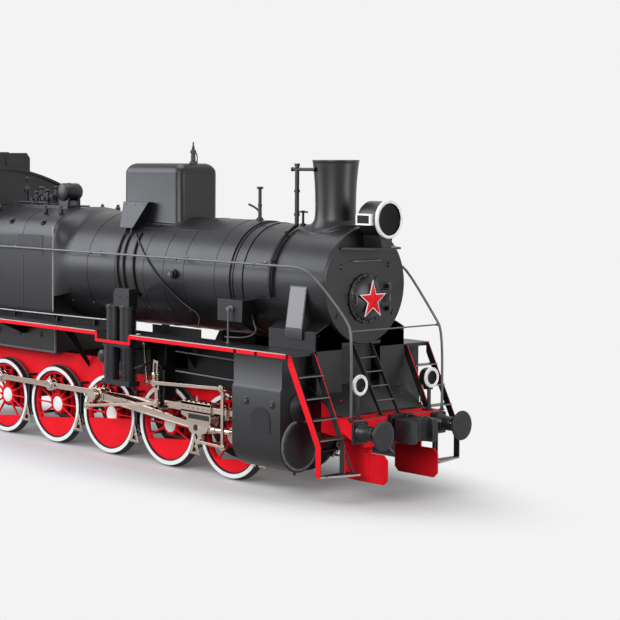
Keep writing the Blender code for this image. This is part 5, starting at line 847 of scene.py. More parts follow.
def marker_lamp(name, side):
    p = Piece(f"lamp_{name}", "chassis", "black_paint", f"marker_lamp_{name}", side=side)
    x, z, face = 0.779, 1.722, -5.461
    p.lathe([(0.03, 0), (0.024, 0.06), (0.018, 0.096), (0.004, 0.1), (0, 0.108), (0, 0.146), (0.005, 0.1525),
             (0.03, 0.1525), (0.036, 0.144), (0.12, 0.14), (0.145, 0.128), (0.168, 0.09), (0.17, 0)], "y",
            (x, face, z), 64, ["lens"] * 3 + ["white"] * 4 + ["black"] * 5)
    p.slab([(x - 0.05, BEAM_TOP), (x + 0.05, BEAM_TOP), (x + 0.03, BEAM_TOP + 0.1), (x + 0.03, z - 0.12),
            (x - 0.03, z - 0.12), (x - 0.03, BEAM_TOP + 0.1)], "y", face + 0.05, face + 0.075, "black")
    p.box((x - 0.06, face + 0.02, BEAM_TOP + SEAT), (x + 0.06, face + 0.14, BEAM_TOP + 0.018), "black")
    p.box((x - 0.05, face + 0.03, z - 0.182), (x + 0.05, face + 0.13, z - 0.125), "black")
    for a in (-0.045, 0.045):
        p.bolt((x + a, face + 0.115, BEAM_TOP + 0.017), UPWARD, 0.011, "iron")
    p.tube([(x, face + 0.15, z - 0.05), (x, face + 0.22, z - 0.1), (x, face + 0.22, BEAM_TOP + 0.05),
            (x, face + 0.14, BEAM_TOP + 0.012)], 0.009, "black", 8, 2)
    p.done(0.003)


# boiler
def hoop(p, y, r, wide, m, rise=0.004):
    """A flat band round the boiler."""
    p.lathe(band(-wide / 2, wide / 2, r - 0.004, r + rise), "y", (0, y, BOILER_Z), 120, m, loop=True)


def smokebox():
    p = Piece("smoke_box", "chassis", "black_paint", "smokebox")
    r, f = SMOKE_R, SMOKE_FRONT
    hoop(p, -3.12, r, 0.075, "black", 0.014)
    p.lathe([(f + 0.022, r - 0.03), (f + 0.01, r - 0.018), (f + 0.012, r - 0.01), (f + 0.024, r - 0.002),
             (f + 0.045, r), (SMOKE_REAR, r), (SMOKE_REAR, r - 0.03), (f + 0.05, r - 0.03)], "y",
            (0, 0, BOILER_Z), 128, "black", loop=True)
    mouth = ring((0, DOOR_Z), DOOR_R - 0.035, 56)
    plate = ring((0, BOILER_Z), r - 0.012, 112)
    p.slab(plate, "y", f, f + 0.03, "black", [mouth])
    for a, b in around(64, r - 0.05):
        p.dome((a, f + 0.001, BOILER_Z + b), FORWARD, 0.01, "black")
    for y in (f + 0.09, SMOKE_REAR - 0.05):
        for a, b in around(72, 1):
            if b > -0.55:
                p.dome((r * a, y, BOILER_Z + r * b), (a, 0, b), 0.009, "black")
    # the wrapper's longitudinal seam, low on each side
    for x in (-1, 1):
        t = math.radians(-16)
        row = []
        for y in (f + 0.12, SMOKE_REAR - 0.1):
            row.append((x * (r + 0.004) * math.cos(t), y, BOILER_Z + (r + 0.004) * math.sin(t)))
        p.tube(row, 0.006, "black", 6)
        for k in range(24):
            y = f + 0.16 + k * 0.072
            p.dome((x * r * math.cos(t + 0.035), y, BOILER_Z + r * math.sin(t + 0.035)),
                   (x * math.cos(t), 0, math.sin(t)), 0.007, "black")
    for z0 in (DOOR_Z - 0.2, DOOR_Z + 0.13):
        plan = [(HINGE_X - 0.03, f + 0.01), (HINGE_X - 0.03, HINGE_Y)]
        plan += arc((HINGE_X, HINGE_Y), 0.03, 180, 360, 12) + [(HINGE_X + 0.03, f + 0.01)]
        hole = ring((HINGE_X, HINGE_Y), 0.0175, 16)
        p.slab(plan, "z", z0, z0 + 0.06, "black", [hole])
    # lamp irons and small hand holds on the front plate
    for x, z in ((-0.6, 2.62), (0.6, 2.62)):
        p.slab([(x - 0.035, z), (x + 0.035, z), (x, z + 0.09)], "y", f - 0.012, f + 0.002, "black")
    p.tube([(-0.28, f, 3.46), (-0.28, f - 0.055, 3.46), (0.28, f - 0.055, 3.46), (0.28, f, 3.46)], 0.013,
           "rail", 12, 2)
    for x, z in ((0.52, 3.38), (-0.52, 3.38)):
        p.lathe([(-0.02, 0), (-0.02, 0.035), (0.002, 0.045), (0.002, 0)], "y", (x, f, z), 20, "black")
    p.done(0.003)


def smokebox_door():
    """The dished door with its clamps, then the star."""
    p = Piece("smoke_box_door", "smokebox_door", "black_paint", "smokebox_door")
    back = SMOKE_FRONT - SEAT
    p.lathe([(0, 0), (0, DOOR_R - 0.004), (-0.006, DOOR_R), (-0.024, DOOR_R), (-0.03, DOOR_R - 0.006),
             (-0.03, DOOR_R * 0.915), (-0.042, DOOR_R * 0.9), (-0.05, DOOR_R * 0.88),
             (-0.075, DOOR_R * 0.78), (-0.099, DOOR_R * 0.62), (-0.118, DOOR_R * 0.44),
             (-0.131, DOOR_R * 0.25), (-0.137, DOOR_R * 0.1), (-0.1375, 0)], "y", (0, back, DOOR_Z), 96,
            "black")
    count = 16
    for k in range(count):
        t = 2 * math.pi * (k + 0.5) / count
        out, across = (math.cos(t), math.sin(t)), (-math.sin(t), math.cos(t))
        if out[0] > 0.93:
            continue
        rows = []
        for r, wide, deep in ((DOOR_R - 0.062, 0.012, 0.01), (DOOR_R - 0.05, 0.017, 0.016),
                              (DOOR_R - 0.01, 0.017, 0.02), (DOOR_R + 0.012, 0.014, 0.016)):
            y = back - 0.024
            rows.append([(out[0] * r + across[0] * a, y - b, DOOR_Z + out[1] * r + across[1] * a)
                         for a, b in ((-wide, 0), (wide, 0), (wide * 0.7, deep), (-wide * 0.7, deep))])
        p.rows(rows, "black")
        r = DOOR_R - 0.028
        p.bolt((out[0] * r, back - 0.04, DOOR_Z + out[1] * r), FORWARD, 0.012, "rail", 0.9)
    p.lathe([(-0.22, 0), (-0.22, 0.0155), (0.215, 0.0155), (0.215, 0.024), (0.225, 0.018), (0.228, 0)], "z",
            (HINGE_X, HINGE_Y, DOOR_Z), 24, "rail")
    z0, z1 = DOOR_Z - 0.128, DOOR_Z + 0.118
    strap = [(DOOR_R * 0.72, HINGE_Y - 0.03), (HINGE_X - 0.01, HINGE_Y - 0.022),
             (HINGE_X + 0.015, HINGE_Y - 0.018), (HINGE_X + 0.022, HINGE_Y),
             (HINGE_X + 0.015, HINGE_Y + 0.018), (HINGE_X, HINGE_Y + 0.022),
             (DOOR_R * 0.72, HINGE_Y + 0.025)]
    for z in (z0, z1 - 0.07):
        p.slab(strap, "z", z, z + 0.07, "black")
    p.tube([(-0.3, back - 0.05, DOOR_Z - 0.09), (-0.3, back - 0.115, DOOR_Z - 0.07),
            (-0.3, back - 0.115, DOOR_Z + 0.07), (-0.3, back - 0.05, DOOR_Z + 0.09)], 0.01, "rail", 10, 2)
    p.done(0.003)

    s = Piece("star", "smokebox_door", "red_paint", "door_star")
    front = back - 0.1403

    def star(tip, notch):
        out = []
        for k in range(10):
            r, t = (notch if k % 2 else tip), math.radians(90 + 36 * k)
            out.append((r * math.cos(t), DOOR_Z - 0.02 + r * math.sin(t)))
        return out

    def relief(tip, notch, y0, y1, m, crown=0.0):
        made = [[s.vert((x, y, z)) for x, z in star(tip, notch)] for y in (y0, y1)]
        for k in range(10):
            s.face((made[0][k - 1], made[0][k], made[1][k], made[1][k - 1]), m)
        s.face(made[0], m)
        peak = s.vert((0, y1 - crown, DOOR_Z - 0.02))
        for k in range(10):
            s.face((made[1][k - 1], made[1][k], peak), m)

    relief(0.3, 0.118, front, front - 0.01, "white")
    relief(0.262, 0.1, front - 0.008, front - 0.014, "red", 0.012)
    s.lathe(band(0.06, -0.002, 0, 0.03), "y", (0, front, DOOR_Z - 0.02), 24, "black")
    s.done(0.0015, sharp=8)


def chimney():
    p = Piece("stack", "chassis", "black_paint", "chimney")
    top, flue = 4.953, 0.24
    curve = [(top, 0.335), (top, 0.344), (top - 0.004, 0.35), (top - 0.02, 0.35), (top - 0.027, 0.344),
             (top - 0.06, 0.34), (4.8, 0.329), (4.69, 0.319), (4.58, 0.311), (4.44, 0.305), (4.3, 0.302),
             (4.18, 0.302), (4.1, 0.306)]
    inner = [(4.06, flue), (top - 0.3, flue + 0.01), (top - 0.12, flue + 0.045)]
    steps = 96

    def hoop_row(r, z):
        return [(a, STACK_Y + b, z) for a, b in around(steps, r)]

    def saddle_row(r, lift, share):
        """A ring that hugs the smokebox and turns level as share grows."""
        out = []
        for a, b in around(steps, r):
            z = BOILER_Z + math.sqrt(SMOKE_R ** 2 - a ** 2) + lift
            out.append((a, STACK_Y + b, z + (4.06 - z) * share))
        return out

    base = [saddle_row(r, lift, share) for r, lift, share in (
        (0.44, -0.01, 0), (0.44, 0.01, 0), (0.436, 0.016, 0), (0.392, 0.02, 0), (0.366, 0.03, 0.04),
        (0.345, 0.05, 0.15), (0.328, 0.07, 0.38), (0.316, 0.06, 0.7))]
    rows = [hoop_row(r, z) for z, r in reversed(curve)]
    down = [hoop_row(r, z) for z, r in reversed(inner)] + [hoop_row(flue, 3.93)]
    every = base + rows + down
    outside = len(base) + len(rows) - 2
    p.rows(every, ["black"] * outside + ["soot_and_shade"] * (len(every) - outside))
    for a, b in around(16, 0.415, 0.5):
        rise = math.sqrt(SMOKE_R ** 2 - a ** 2) + 0.016
        p.bolt((a, STACK_Y + b, BOILER_Z + rise), (a, 0, rise), 0.011, "black", 0.5)
    p.done(0)


def saddle():
    """The smokebox's seat with its apron, wings and steam pipe covers."""
    p = Piece("smoke_box_saddle", "chassis", "black_paint", "saddle")
    half, foot, front, rear = 0.36, FRAME_FRONT_TOP + SEAT, SMOKE_FRONT + 0.2, -3.45
    skin = SMOKE_R + 0.001
    top = [(half - 2 * half * k / 12, BOILER_Z - math.sqrt(skin ** 2 - (half - 2 * half * k / 12) ** 2))
           for k in range(13)]
    p.slab([(-half, foot), (half, foot)] + top, "y", front, rear, "black")
    wide, apron_y, apron_z = 0.94, BEAM_FACE + 0.33, BEAM_TOP + SEAT
    p.slab([(apron_y, apron_z), (front + 0.02, 1.6), (front + 0.02, 1.63), (apron_y, apron_z + 0.03)], "x",
           -wide, wide, "black")
    plate_y, plate_rear = SMOKE_FRONT + 0.07, BOARD_FRONT - SEAT
    p.box((-0.44, plate_y, 2.2), (0.44, front, 2.25), "black")
    for k in range(9):
        p.bolt((-0.8 + k * 0.2, apron_y + 0.06, apron_z + 0.068), (0, -0.57, 0.82), 0.012, "black", 0.5)
    for _ in p.both():
        wing = [(0.42, BOARD_TOP + SEAT), (0.42, 2.62), (0.6, 2.585), (0.8, 2.505), (0.95, 2.43),
                (0.95, BOARD_TOP + SEAT)]
        p.slab(wing, "y", plate_y, -3.8, "black")
        p.slab([(0.42, 1.46), (0.42, 2.61), (0.6, 2.575), (0.8, 2.495), (0.95, 2.42), (0.95, 1.46)], "y",
               plate_y, plate_rear, "black")
        for z in (1.56, 1.84, 2.12, 2.38):
            for x in (0.46, 0.91):
                p.dome((x, plate_y - 0.001, z), FORWARD, 0.01, "black")
        cover = [(0.98, 2.3), (0.98, 2.43), (0.97, 2.48), (0.872, 3.09), (0.855, 3.13), (0.83, 3.14),
                 (0.7, 3.14), (0.7, 2.3)]
        p.slab(cover, "y", -4.5, -4.16, "black")
        # painted highlight: a grey strip along the pipe cover's sloping edge
        p.slab([(0.972, 2.47), (0.876, 3.07), (0.88, 3.071), (0.977, 2.471)], "y", -4.485, -4.175, "painted_sheen")
        for k in range(4):
            z = 2.52 + k * 0.17
            x = 0.977 - (z - 2.47) * 0.16
            for y in (-4.482, -4.178):
                p.dome((x - 0.002, y, z), (1, 0, 0.16), 0.008, "black")
        for k in range(7):
            p.bolt((half - 0.03, front - 0.001, foot + 0.16 + k * 0.07), FORWARD, 0.012, "black", 0.5)
    p.done(0.004)


def barrel():
    p = Piece("boiler_shell", "chassis", "black_paint", "boiler_barrel")
    profile = [(SKIN[0][0], 0)] + list(SKIN) + [(SKIN[-1][0], 0)]
    p.lathe(profile, "y", (0, 0, BOILER_Z), 128, "black")
    for y in (-2.55, -1.85, -1.38, -0.9, -0.2, 0.5, 1.05):
        hoop(p, y, barrel_r(y), 0.046, "black", 0.005)
        for side in (-1, 1):
            t = math.radians(-38)
            r = barrel_r(y) + 0.008
            p.bolt((side * r * math.cos(t), y, BOILER_Z + r * math.sin(t)),
                   (side * math.cos(t), 0, math.sin(t)), 0.014, "rail", 0.6)
    # lagging sheets overlap in a long seam high on each side
    for side in (-1, 1):
        t = math.radians(52)
        for (y0, y1) in ((-2.86, -0.94), (-0.86, 0.96)):
            row = [(side * (barrel_r(y) + 0.001) * math.cos(t), y,
                    BOILER_Z + (barrel_r(y) + 0.001) * math.sin(t)) for y in (y0, (y0 + y1) / 2, y1)]
            p.tube(row, 0.004, "black", 6)
    # the throat that swells into the firebox's shoulders
    steps = 72
    box_line = section_by_angle(steps)
    rows = []
    for k in range(9):
        share = k / 8
        soft = share * share * (3 - 2 * share)
        y = 0.98 + (BOX_FRONT - 0.001 - 0.98) * share
        row = []
        for n in range(steps + 1):
            t = math.radians(-28 + 236 * n / steps)
            r = barrel_r(y) + 0.002
            a = Vector((r * math.cos(t), BOILER_Z + r * math.sin(t)))
            b = Vector(box_line[n])
            place = a.lerp(b, soft)
            row.append((place.x, y, place.y))
        rows.append(row)
    made = [[p.vert(q) for q in row] for row in rows]
    inner = [[p.vert((q[0] * 0.9, q[1], BOILER_Z + (q[2] - BOILER_Z) * 0.9)) for q in row]
             for row in (rows[0], rows[-1])]
    for one, two in zip(made, made[1:]):
        for n in range(steps):
            p.face((one[n], one[n + 1], two[n + 1], two[n]), "black")
    for n in range(steps):
        p.face((made[0][n], made[0][n + 1], inner[0][n + 1], inner[0][n]), "black")
        p.face((made[-1][n], made[-1][n + 1], inner[1][n + 1], inner[1][n]), "black")
        p.face((inner[0][n], inner[0][n + 1], inner[1][n + 1], inner[1][n]), "black")
    for n in (0, steps):
        p.face([row[n] for row in made] + [inner[1][n], inner[0][n]], "black")
    # the slender relief valve in front of the dome casing
    z, y = BOILER_Z + 0.903, -2.665
    p.lathe([(-0.03, 0), (-0.03, 0.062), (0.018, 0.062), (0.022, 0.05), (0.04, 0.048), (0.05, 0.03),
             (0.22, 0.028), (0.225, 0.036), (0.245, 0.036), (0.25, 0.027), (0.49, 0.026), (0.5, 0.052),
             (0.53, 0.052), (0.532, 0)], "z", (0, y, z), 32, "black")
    p.tube([(0, y, z + 0.13), (-0.02, y + 0.08, z + 0.2), (-0.05, y + 0.2, z + 0.25)], 0.017, "black", 12, 2)
    p.done(0.003)


SHOULDER_R, CROWN_RISE = 0.42, 0.116


def section(grow=0.0, fine=18):
    """The firebox casing's outline from the right shoulder round to the left."""
    w, top, turn = BOX_W + grow, BOX_TOP + grow, 74
    z0 = top - CROWN_RISE - SHOULDER_R * math.sin(math.radians(turn))
    right = arc((w - SHOULDER_R, z0), SHOULDER_R, 0, turn, fine)
    end = right[-1][0]
    crown_r = (end ** 2 + CROWN_RISE ** 2) / (2 * CROWN_RISE)
    crown = []
    for k in range(1, 16):
        x = end - 2 * end * k / 16
        crown.append((x, top - crown_r + math.sqrt(crown_r ** 2 - x ** 2)))
    return right + crown + [(-x, z) for x, z in reversed(right)]


def section_by_angle(steps):
    """Points of that outline where rays from the boiler's centre meet it."""
    line = [(BOX_W, 1.8)] + section() + [(-BOX_W, 1.8)]
    out = []
    for n in range(steps + 1):
        t = math.radians(-28 + 236 * n / steps)
        way = Vector((math.cos(t), math.sin(t)))
        best = None
        for one, two in zip(line, line[1:]):
            a, b = Vector((one[0], one[1] - BOILER_Z)), Vector((two[0], two[1] - BOILER_Z))
            det = way.x * (b - a).y - way.y * (b - a).x
            if abs(det) < 1e-9:
                continue
            reach = (a.x * (b - a).y - a.y * (b - a).x) / det
            share = (a.x * way.y - a.y * way.x) / det
            if reach > 0 and -1e-6 <= share <= 1 + 1e-6:
                best = way * reach
        out.append((best.x, BOILER_Z + best.y))
    return out


def firebox():
    """The casing with its fittings, then the ash hopper."""
    p = Piece("fire_box_casing", "chassis", "black_paint", "firebox")
    narrow = BOX_W - 0.055
    line = section()
    low = [(-BOX_W, 2.34), (-BOX_W + 0.012, 2.25), (-narrow - 0.012, 2.21), (-narrow, 2.12),
           (-narrow, BOX_FOOT), (narrow, BOX_FOOT), (narrow, 2.12), (narrow + 0.012, 2.21),
           (BOX_W - 0.012, 2.25), (BOX_W, 2.34)]
    p.slab(line + low, "y", BOX_FRONT + 0.002, BOX_REAR, "black")
    for _ in p.both():
        # painted highlight: a pale strip down the casing's front edge
        p.box((BOX_W - 0.006, BOX_FRONT - 0.002, 2.3), (BOX_W + 0.004, BOX_FRONT + 0.012, 3.78), "pale")
        p.slab(rect(1.62, 2.36, 3.25, 3.62), "x", BOX_W - 0.002, BOX_W + 0.006, "black")
    strips = (1.365, 2.2, 3.05, 3.9)
    for y in strips:
        path = [(BOX_W, 2.36)] + line + [(-BOX_W, 2.36)]
        p.slab(flat(path, 0.0045), "y", y - 0.022, y + 0.022, "black")
        for side in (-1, 1):
            for z in (2.5, 2.8, 3.1, 3.4):
                p.dome((side * (BOX_W + 0.004), y, z), (side, 0, 0), 0.008, "black")
    for _ in p.both():
        # the lower panel's front edge, its foot strip, covers and rivets
        p.box((narrow - 0.02, BOX_FRONT - 0.006, BOX_FOOT - 0.012), (narrow + 0.006, BOX_FRONT + 0.03, 2.15),
              "rail")
        p.box((narrow - 0.03, BOX_FRONT, BOX_FOOT - 0.018), (narrow + 0.01, CAB_FRONT, BOX_FOOT + 0.012),
              "rail")
        for y in (1.75, 2.35, 2.95, 3.55):
            p.lathe([(-0.004, 0), (-0.004, 0.055), (0.01, 0.055), (0.014, 0.048), (0.014, 0.03),
                     (0.026, 0.028), (0.026, 0)], "x", (narrow, y, 1.86), 28, "black")
        for k in range(18):
            p.dome((narrow + 0.002, BOX_FRONT + 0.1 + k * 0.155, BOX_FOOT + 0.05), OUTWARD, 0.011, "black")
        # washout plugs along the shoulder
        t = math.radians(38)
        cx, cz = BOX_W - SHOULDER_R, BOX_TOP - CROWN_RISE - SHOULDER_R * math.sin(math.radians(74))
        for y in (1.72, 2.62, 3.48):
            out = Vector((math.cos(t), 0, math.sin(t)))
            base = Vector((cx, y, cz)) + out * SHOULDER_R
            p.tube([base - out * 0.01, base + out * 0.02], 0.062, "black", 28)
            p.tube([base + out * 0.018, base + out * 0.045], 0.036, "black", 6)
        for y in (1.52, 1.95, 3.3):
            p.lathe([(BOX_TOP - 0.06, 0), (BOX_TOP - 0.06, 0.045), (BOX_TOP + 0.02, 0.045),
                     (BOX_TOP + 0.035, 0.028), (BOX_TOP + 0.06, 0.028), (BOX_TOP + 0.075, 0.015),
                     (BOX_TOP + 0.078, 0)], "z", (0.66, y, -0.045), 24, "black")
    # the backhead's fittings inside the cab
    rear = BOX_REAR
    p.lathe([(-0.01, 0), (-0.01, 0.23), (0.035, 0.22), (0.045, 0.19), (0.045, 0)],
            "y", (0, rear, 2.5), 40, "iron")
    p.box((-0.26, rear + 0.02, 2.27), (-0.2, rear + 0.06, 2.73), "iron")
    for x in (-0.62, 0.62):
        p.tube([(x, rear, 3.00), (x, rear + 0.07, 3.00)], 0.03, "brass", 16)
        p.tube([(x, rear, 3.38), (x, rear + 0.07, 3.38)], 0.03, "brass", 16)
        p.tube([(x, rear + 0.06, 2.96), (x, rear + 0.06, 3.42)], 0.014, "brass", 12)
    p.tube([(-0.02, rear, 3.55), (-0.02, rear + 0.1, 3.55)], 0.035, "iron", 16)
    p.tube([(-0.02, rear + 0.09, 3.55), (-0.42, rear + 0.13, 3.3), (-0.46, rear + 0.13, 3.27)], 0.018,
           "steel", 12, 1)
    for x, z, r in ((0.3, 3.72, 0.1), (-0.32, 3.76, 0.085), (0.02, 3.86, 0.07)):
        p.lathe([(-0.01, 0), (-0.01, r), (0.05, r), (0.055, r * 0.94), (0.048, r * 0.86), (0.048, 0)], "y",
                (x, rear, z), 32, ["iron"] * 4 + ["white"])
    for k in range(6):
        x = -0.55 + k * 0.22
        p.tube([(x, rear, 3.14), (x, rear + 0.05, 3.14), (x, rear + 0.08, 3.02), (x, rear + 0.08, 2.86)],
               0.013, "brass", 10, 1)
    p.done(0.004)
    a = Piece("ash_hopper", "chassis", "dark_iron", "ashpan")
    half, top = 0.583, BOX_FOOT - SEAT
    a.slab([(BOX_FRONT + 0.35, top), (BOX_FRONT + 0.35, 1.25), (axle_y(3) + 0.26, 1.0),
            (axle_y(3) + 0.4, 0.75), (axle_y(4) - 0.45, 0.75), (axle_y(4) - 0.2, 1.0),
            (BOX_REAR - 0.3, 1.25), (BOX_REAR - 0.3, top)], "x", -half, half, "iron")
    for y in (axle_y(3) + 0.44, axle_y(4) - 0.49):
        a.box((-half + 0.04, y - 0.02, 0.735), (half - 0.04, y + 0.02, 0.77), "iron")
    for k in range(5):
        a.bolt((-0.48 + k * 0.24, axle_y(3) + 0.4, 0.8), (0, -1, -0.2), 0.014, "iron")
    a.done(0.006)


def dome():
    """The housing over dome and sand box, with its sand pipes and valves."""
    p = Piece("dome_housing", "chassis", "black_paint", "dome_casing")
    half, front, rear, top, eaves, corner = 0.44, -1.28, 0.12, 4.885, 4.72, 0.12
    plan = []
    for cx, cy, start in ((half - corner, front + corner, -90), (half - corner, rear - corner, 0),
                          (-half + corner, rear - corner, 90), (-half + corner, front + corner, 180)):
        plan += arc((cx, cy), corner, start, start + 90, 14)
    middle, length = (front + rear) / 2, (rear - front) / 2

    def row(z, inset, hug=None):
        """The plan drawn in by inset at height z, or hugging the boiler."""
        sx, sy = (half - inset) / half, (length - inset) / length
        out = []
        for x, y in plan:
            x, y = x * sx, middle + (y - middle) * sy
            out.append((x, y, z if hug is None else BOILER_Z + math.sqrt(barrel_r(y) ** 2 - x ** 2) + hug))
        return out

    walls = [row(0, -0.035, -0.02), row(0, -0.035, 0.008), row(0, -0.03, 0.012), row(0, -0.006, 0.016),
             row(0, 0, 0.04), row(eaves - 0.004, 0), row(eaves - 0.002, 0.003), row(eaves + 0.002, 0.003)]
    lid = [row(eaves + rise, inset) for rise, inset in (
        (0.004, 0.001), (0.02, 0.0015), (0.05, 0.008), (0.082, 0.022), (0.11, 0.042), (0.13, 0.062),
        (0.146, 0.084), (0.157, 0.108), (0.163, 0.128), (0.165, 0.145))]
    p.rows(walls + lid, "black")
    for _ in p.both():
        for k in range(10):
            y = front + 0.14 + k * 0.125
            p.dome((half + 0.028, y, BOILER_Z + math.sqrt(barrel_r(y) ** 2 - 0.468 ** 2) + 0.012),
                   (0.4, 0, 1), 0.008, "black")
        foot, head, lean = 3.8, 4.24, 0.32
        hopper = [[(0.3, -0.66, head), (0.575, -0.66, head), (0.575, -0.05, head), (0.3, -0.05, head)],
                  [(0.3, -0.66, head - 0.012), (0.58, -0.66, head - 0.012), (0.58, -0.05, head - 0.012),
                   (0.3, -0.05, head - 0.012)],
                  [(0.44, -0.44, foot + 0.01), (0.58 + (head - foot) * lean, -0.44, foot + 0.01),
                   (0.58 + (head - foot) * lean, -0.12, foot + 0.01), (0.44, -0.12, foot + 0.01)],
                  [(0.46, -0.43, foot), (0.7, -0.43, foot), (0.7, -0.13, foot), (0.46, -0.13, foot)]]
        p.rows(hopper, "black")
        for y in (-0.58, -0.355, -0.13):
            p.bolt((0.592, y, 4.195), (1, 0, 0.32), 0.011, "black", 0.5)
        for y in (-0.39, -0.24):
            pipe = [(0.68, y, 3.83)]
            for t in (41, 34, 26, 18, 10, 2, -6, -14, -22, -30):
                t = math.radians(t)
                r = barrel_r(y) + 0.022
                pipe.append((r * math.cos(t), y - 0.0016 * (41 - math.degrees(t)),
                             BOILER_Z + r * math.sin(t)))
            p.tube(pipe, 0.016, "black", 12, 1)
        r = barrel_r(-0.668) + 0.02
        low = [(r * math.cos(math.radians(t)), -0.62 - 0.0018 * (44 - t),
                BOILER_Z + r * math.sin(math.radians(t))) for t in (44, 34, 24, 14, 4, -6, -16, -26)]
        p.tube(low, 0.02, "black", 12, 1)
        p.lathe([(0.9, 0), (0.9, 0.085), (0.945, 0.08), (0.95, 0.055), (0.985, 0.052), (0.99, 0.066),
                 (1.000, 0.066), (1.002, 0)], "x", (0, -1.66, 3.12), 28, "black")
        p.lathe([(1.0, 0), (1.0, 0.04), (1.014, 0.036), (1.016, 0)], "x", (0, -1.66, 3.12), 6, "rail")
    z, y = top, -1.13
    p.lathe([(-0.02, 0), (-0.02, 0.07), (0.01, 0.07), (0.014, 0.058), (0.04, 0.055), (0.045, 0.04),
             (0.17, 0.038), (0.175, 0.05), (0.215, 0.05), (0.225, 0.03), (0.27, 0.022), (0.3, 0.013),
             (0.355, 0.011), (0.36, 0)], "z", (0, y, z), 36, "black")
    p.tube([(0.03, y, z + 0.19), (0.1, y + 0.01, z + 0.15), (0.1, y + 0.01, z - 0.01)], 0.01, "black", 10, 1)
    p.done(0.004)


def generator():
    """The turbine set and the row of valves behind it."""
    p = Piece("turbine_set", "chassis", "dark_iron", "turbo_generator")
    x, y, z, foot = -0.1, 1.95, 4.36, 4.00
    p.box((x - 0.26, y - 0.24, foot), (x + 0.26, y + 1.3, foot + 0.12), "black")
    p.lathe([(-0.22, 0), (-0.215, 0.06), (-0.205, 0.12), (-0.185, 0.152), (-0.16, 0.16), (-0.05, 0.16),
             (-0.045, 0.165), (-0.015, 0.165), (-0.01, 0.158), (0.15, 0.155), (0.19, 0.13), (0.205, 0.09),
             (0.21, 0.04), (0.22, 0.038), (0.22, 0)], "x", (x, y, z), 56, "black")
    for a, b in around(10, 0.15):
        p.bolt((x - 0.046, y + a, z + b), (-1, 0, 0), 0.01, "iron")
    for a in (-0.15, 0.09):
        p.box((x + a, y - 0.12, foot + 0.1), (x + a + 0.05, y + 0.12, z - 0.08), "black")
    for dx, dy, r, tall in ((-0.16, 0.45, 0.065, 0.4), (0.08, 0.5, 0.06, 0.46), (-0.14, 0.8, 0.06, 0.36),
                            (0.1, 0.95, 0.08, 0.44), (-0.08, 1.15, 0.05, 0.62)):
        p.lathe([(0.1, 0), (0.1, r * 1.4), (0.135, r * 1.4), (0.14, r * 0.8), (tall * 0.48, r * 0.8),
                 (tall * 0.52, r), (tall * 0.66, r), (tall * 0.7, r * 0.6), (tall * 0.88, r * 0.5),
                 (tall * 0.92, r * 0.8), (tall * 0.98, r * 0.8), (tall, 0)], "z", (x + dx, y + dy, foot), 28,
                "iron")
        high = foot + tall * 0.6
        p.tube([(x + dx, y + dy, high), (x + dx - r - 0.05, y + dy, high)], 0.012, "iron", 10)
        p.lathe(band(-0.06, -0.048, 0, 0.035), "x", (x + dx - r, y + dy, high), 20, "iron")
    p.tube([(x - 0.2, y + 0.45, foot + 0.16), (x - 0.2, y + 1.25, foot + 0.16)], 0.02, "black", 12)
    p.done(0.004)


def headlamp():
    p = Piece("head_light", "chassis", "black_paint", "headlamp")
    z, face, r, glass, shell = 4.085, -5.3, 0.285, 0.232, 0.265
    profile = [(face + 0.04, 0), (face + 0.036, 0.12), (face + 0.026, glass - 0.002), (face + 0.01, glass),
               (face + 0.002, glass + 0.006), (face, glass + 0.012), (face, r - 0.01),
               (face + 0.006, r - 0.002), (face + 0.014, r), (face + 0.04, r), (face + 0.046, r - 0.012),
               (face + 0.05, shell), (face + 0.36, shell), (face + 0.41, shell - 0.03),
               (face + 0.45, shell - 0.09), (face + 0.468, 0.1), (face + 0.47, 0)]
    p.lathe(profile, "y", (0, 0, z), 96, ["lens"] * 4 + ["white"] * 5 + ["black"] * 7)
    for _ in p.both():
        near, far, half = face + 0.08, face + 0.36, 0.085
        p.box((0.2, near, z - half), (0.328, far, z + half), "black")
        frame_in = rect(near + 0.028, far - 0.028, z - half + 0.026, z + half - 0.026)
        p.slab(rect(near, far, z - half, z + half), "x", 0.326, 0.335, "white", [frame_in])
        p.slab(frame_in, "x", 0.325, 0.329, "lens")
        p.box((0.24, near - 0.004, z - half), (0.335, near + 0.002, z + half), "white")
        for dz in (0.03, 0.24):
            p.box((0.3, SMOKE_FRONT - 0.006, 3.4 + dz), (0.4, SMOKE_FRONT + 0.002, 3.43 + dz), "black")
    low, high = 3.64, 3.67
    shelf = [(0.28, face + 0.03), (0.56, SMOKE_FRONT - 0.03), (0.56, SMOKE_FRONT - SEAT)]
    p.slab(shelf + [(-x, y) for x, y in reversed(shelf)], "z", low, high, "black")
    p.slab([(-0.1, high - 0.003), (0.1, high - 0.003), (0.13, z - 0.24), (-0.13, z - 0.24)], "y",
           face + 0.06, face + 0.4, "black")
    p.slab([(face + 0.4, high - 0.002), (SMOKE_FRONT - SEAT, high - 0.002), (SMOKE_FRONT - SEAT, 3.86),
            (face + 0.44, 4.02), (face + 0.4, 4.02)], "x", -0.03, 0.03, "black")
    for x in (-0.07, 0.07):
        p.bolt((x, face + 0.1, high), UPWARD, 0.014, "iron")
    p.done(0.003)


# cab
def roof_z(x, drop=0.0):
    """Height of the roof at a distance from the middle."""
    return CROWN - (CROWN - EAVES) * min(1, abs(x) / CAB_W) ** 1.8 - drop


def roof_line(drop=0.0):
    """The roof's curve from the left eaves to the right, lowered by drop."""
    half, steps = 1.55, 32
    return [(x * half / steps, roof_z(x * half / steps, drop)) for x in range(steps, -steps - 1, -1)]


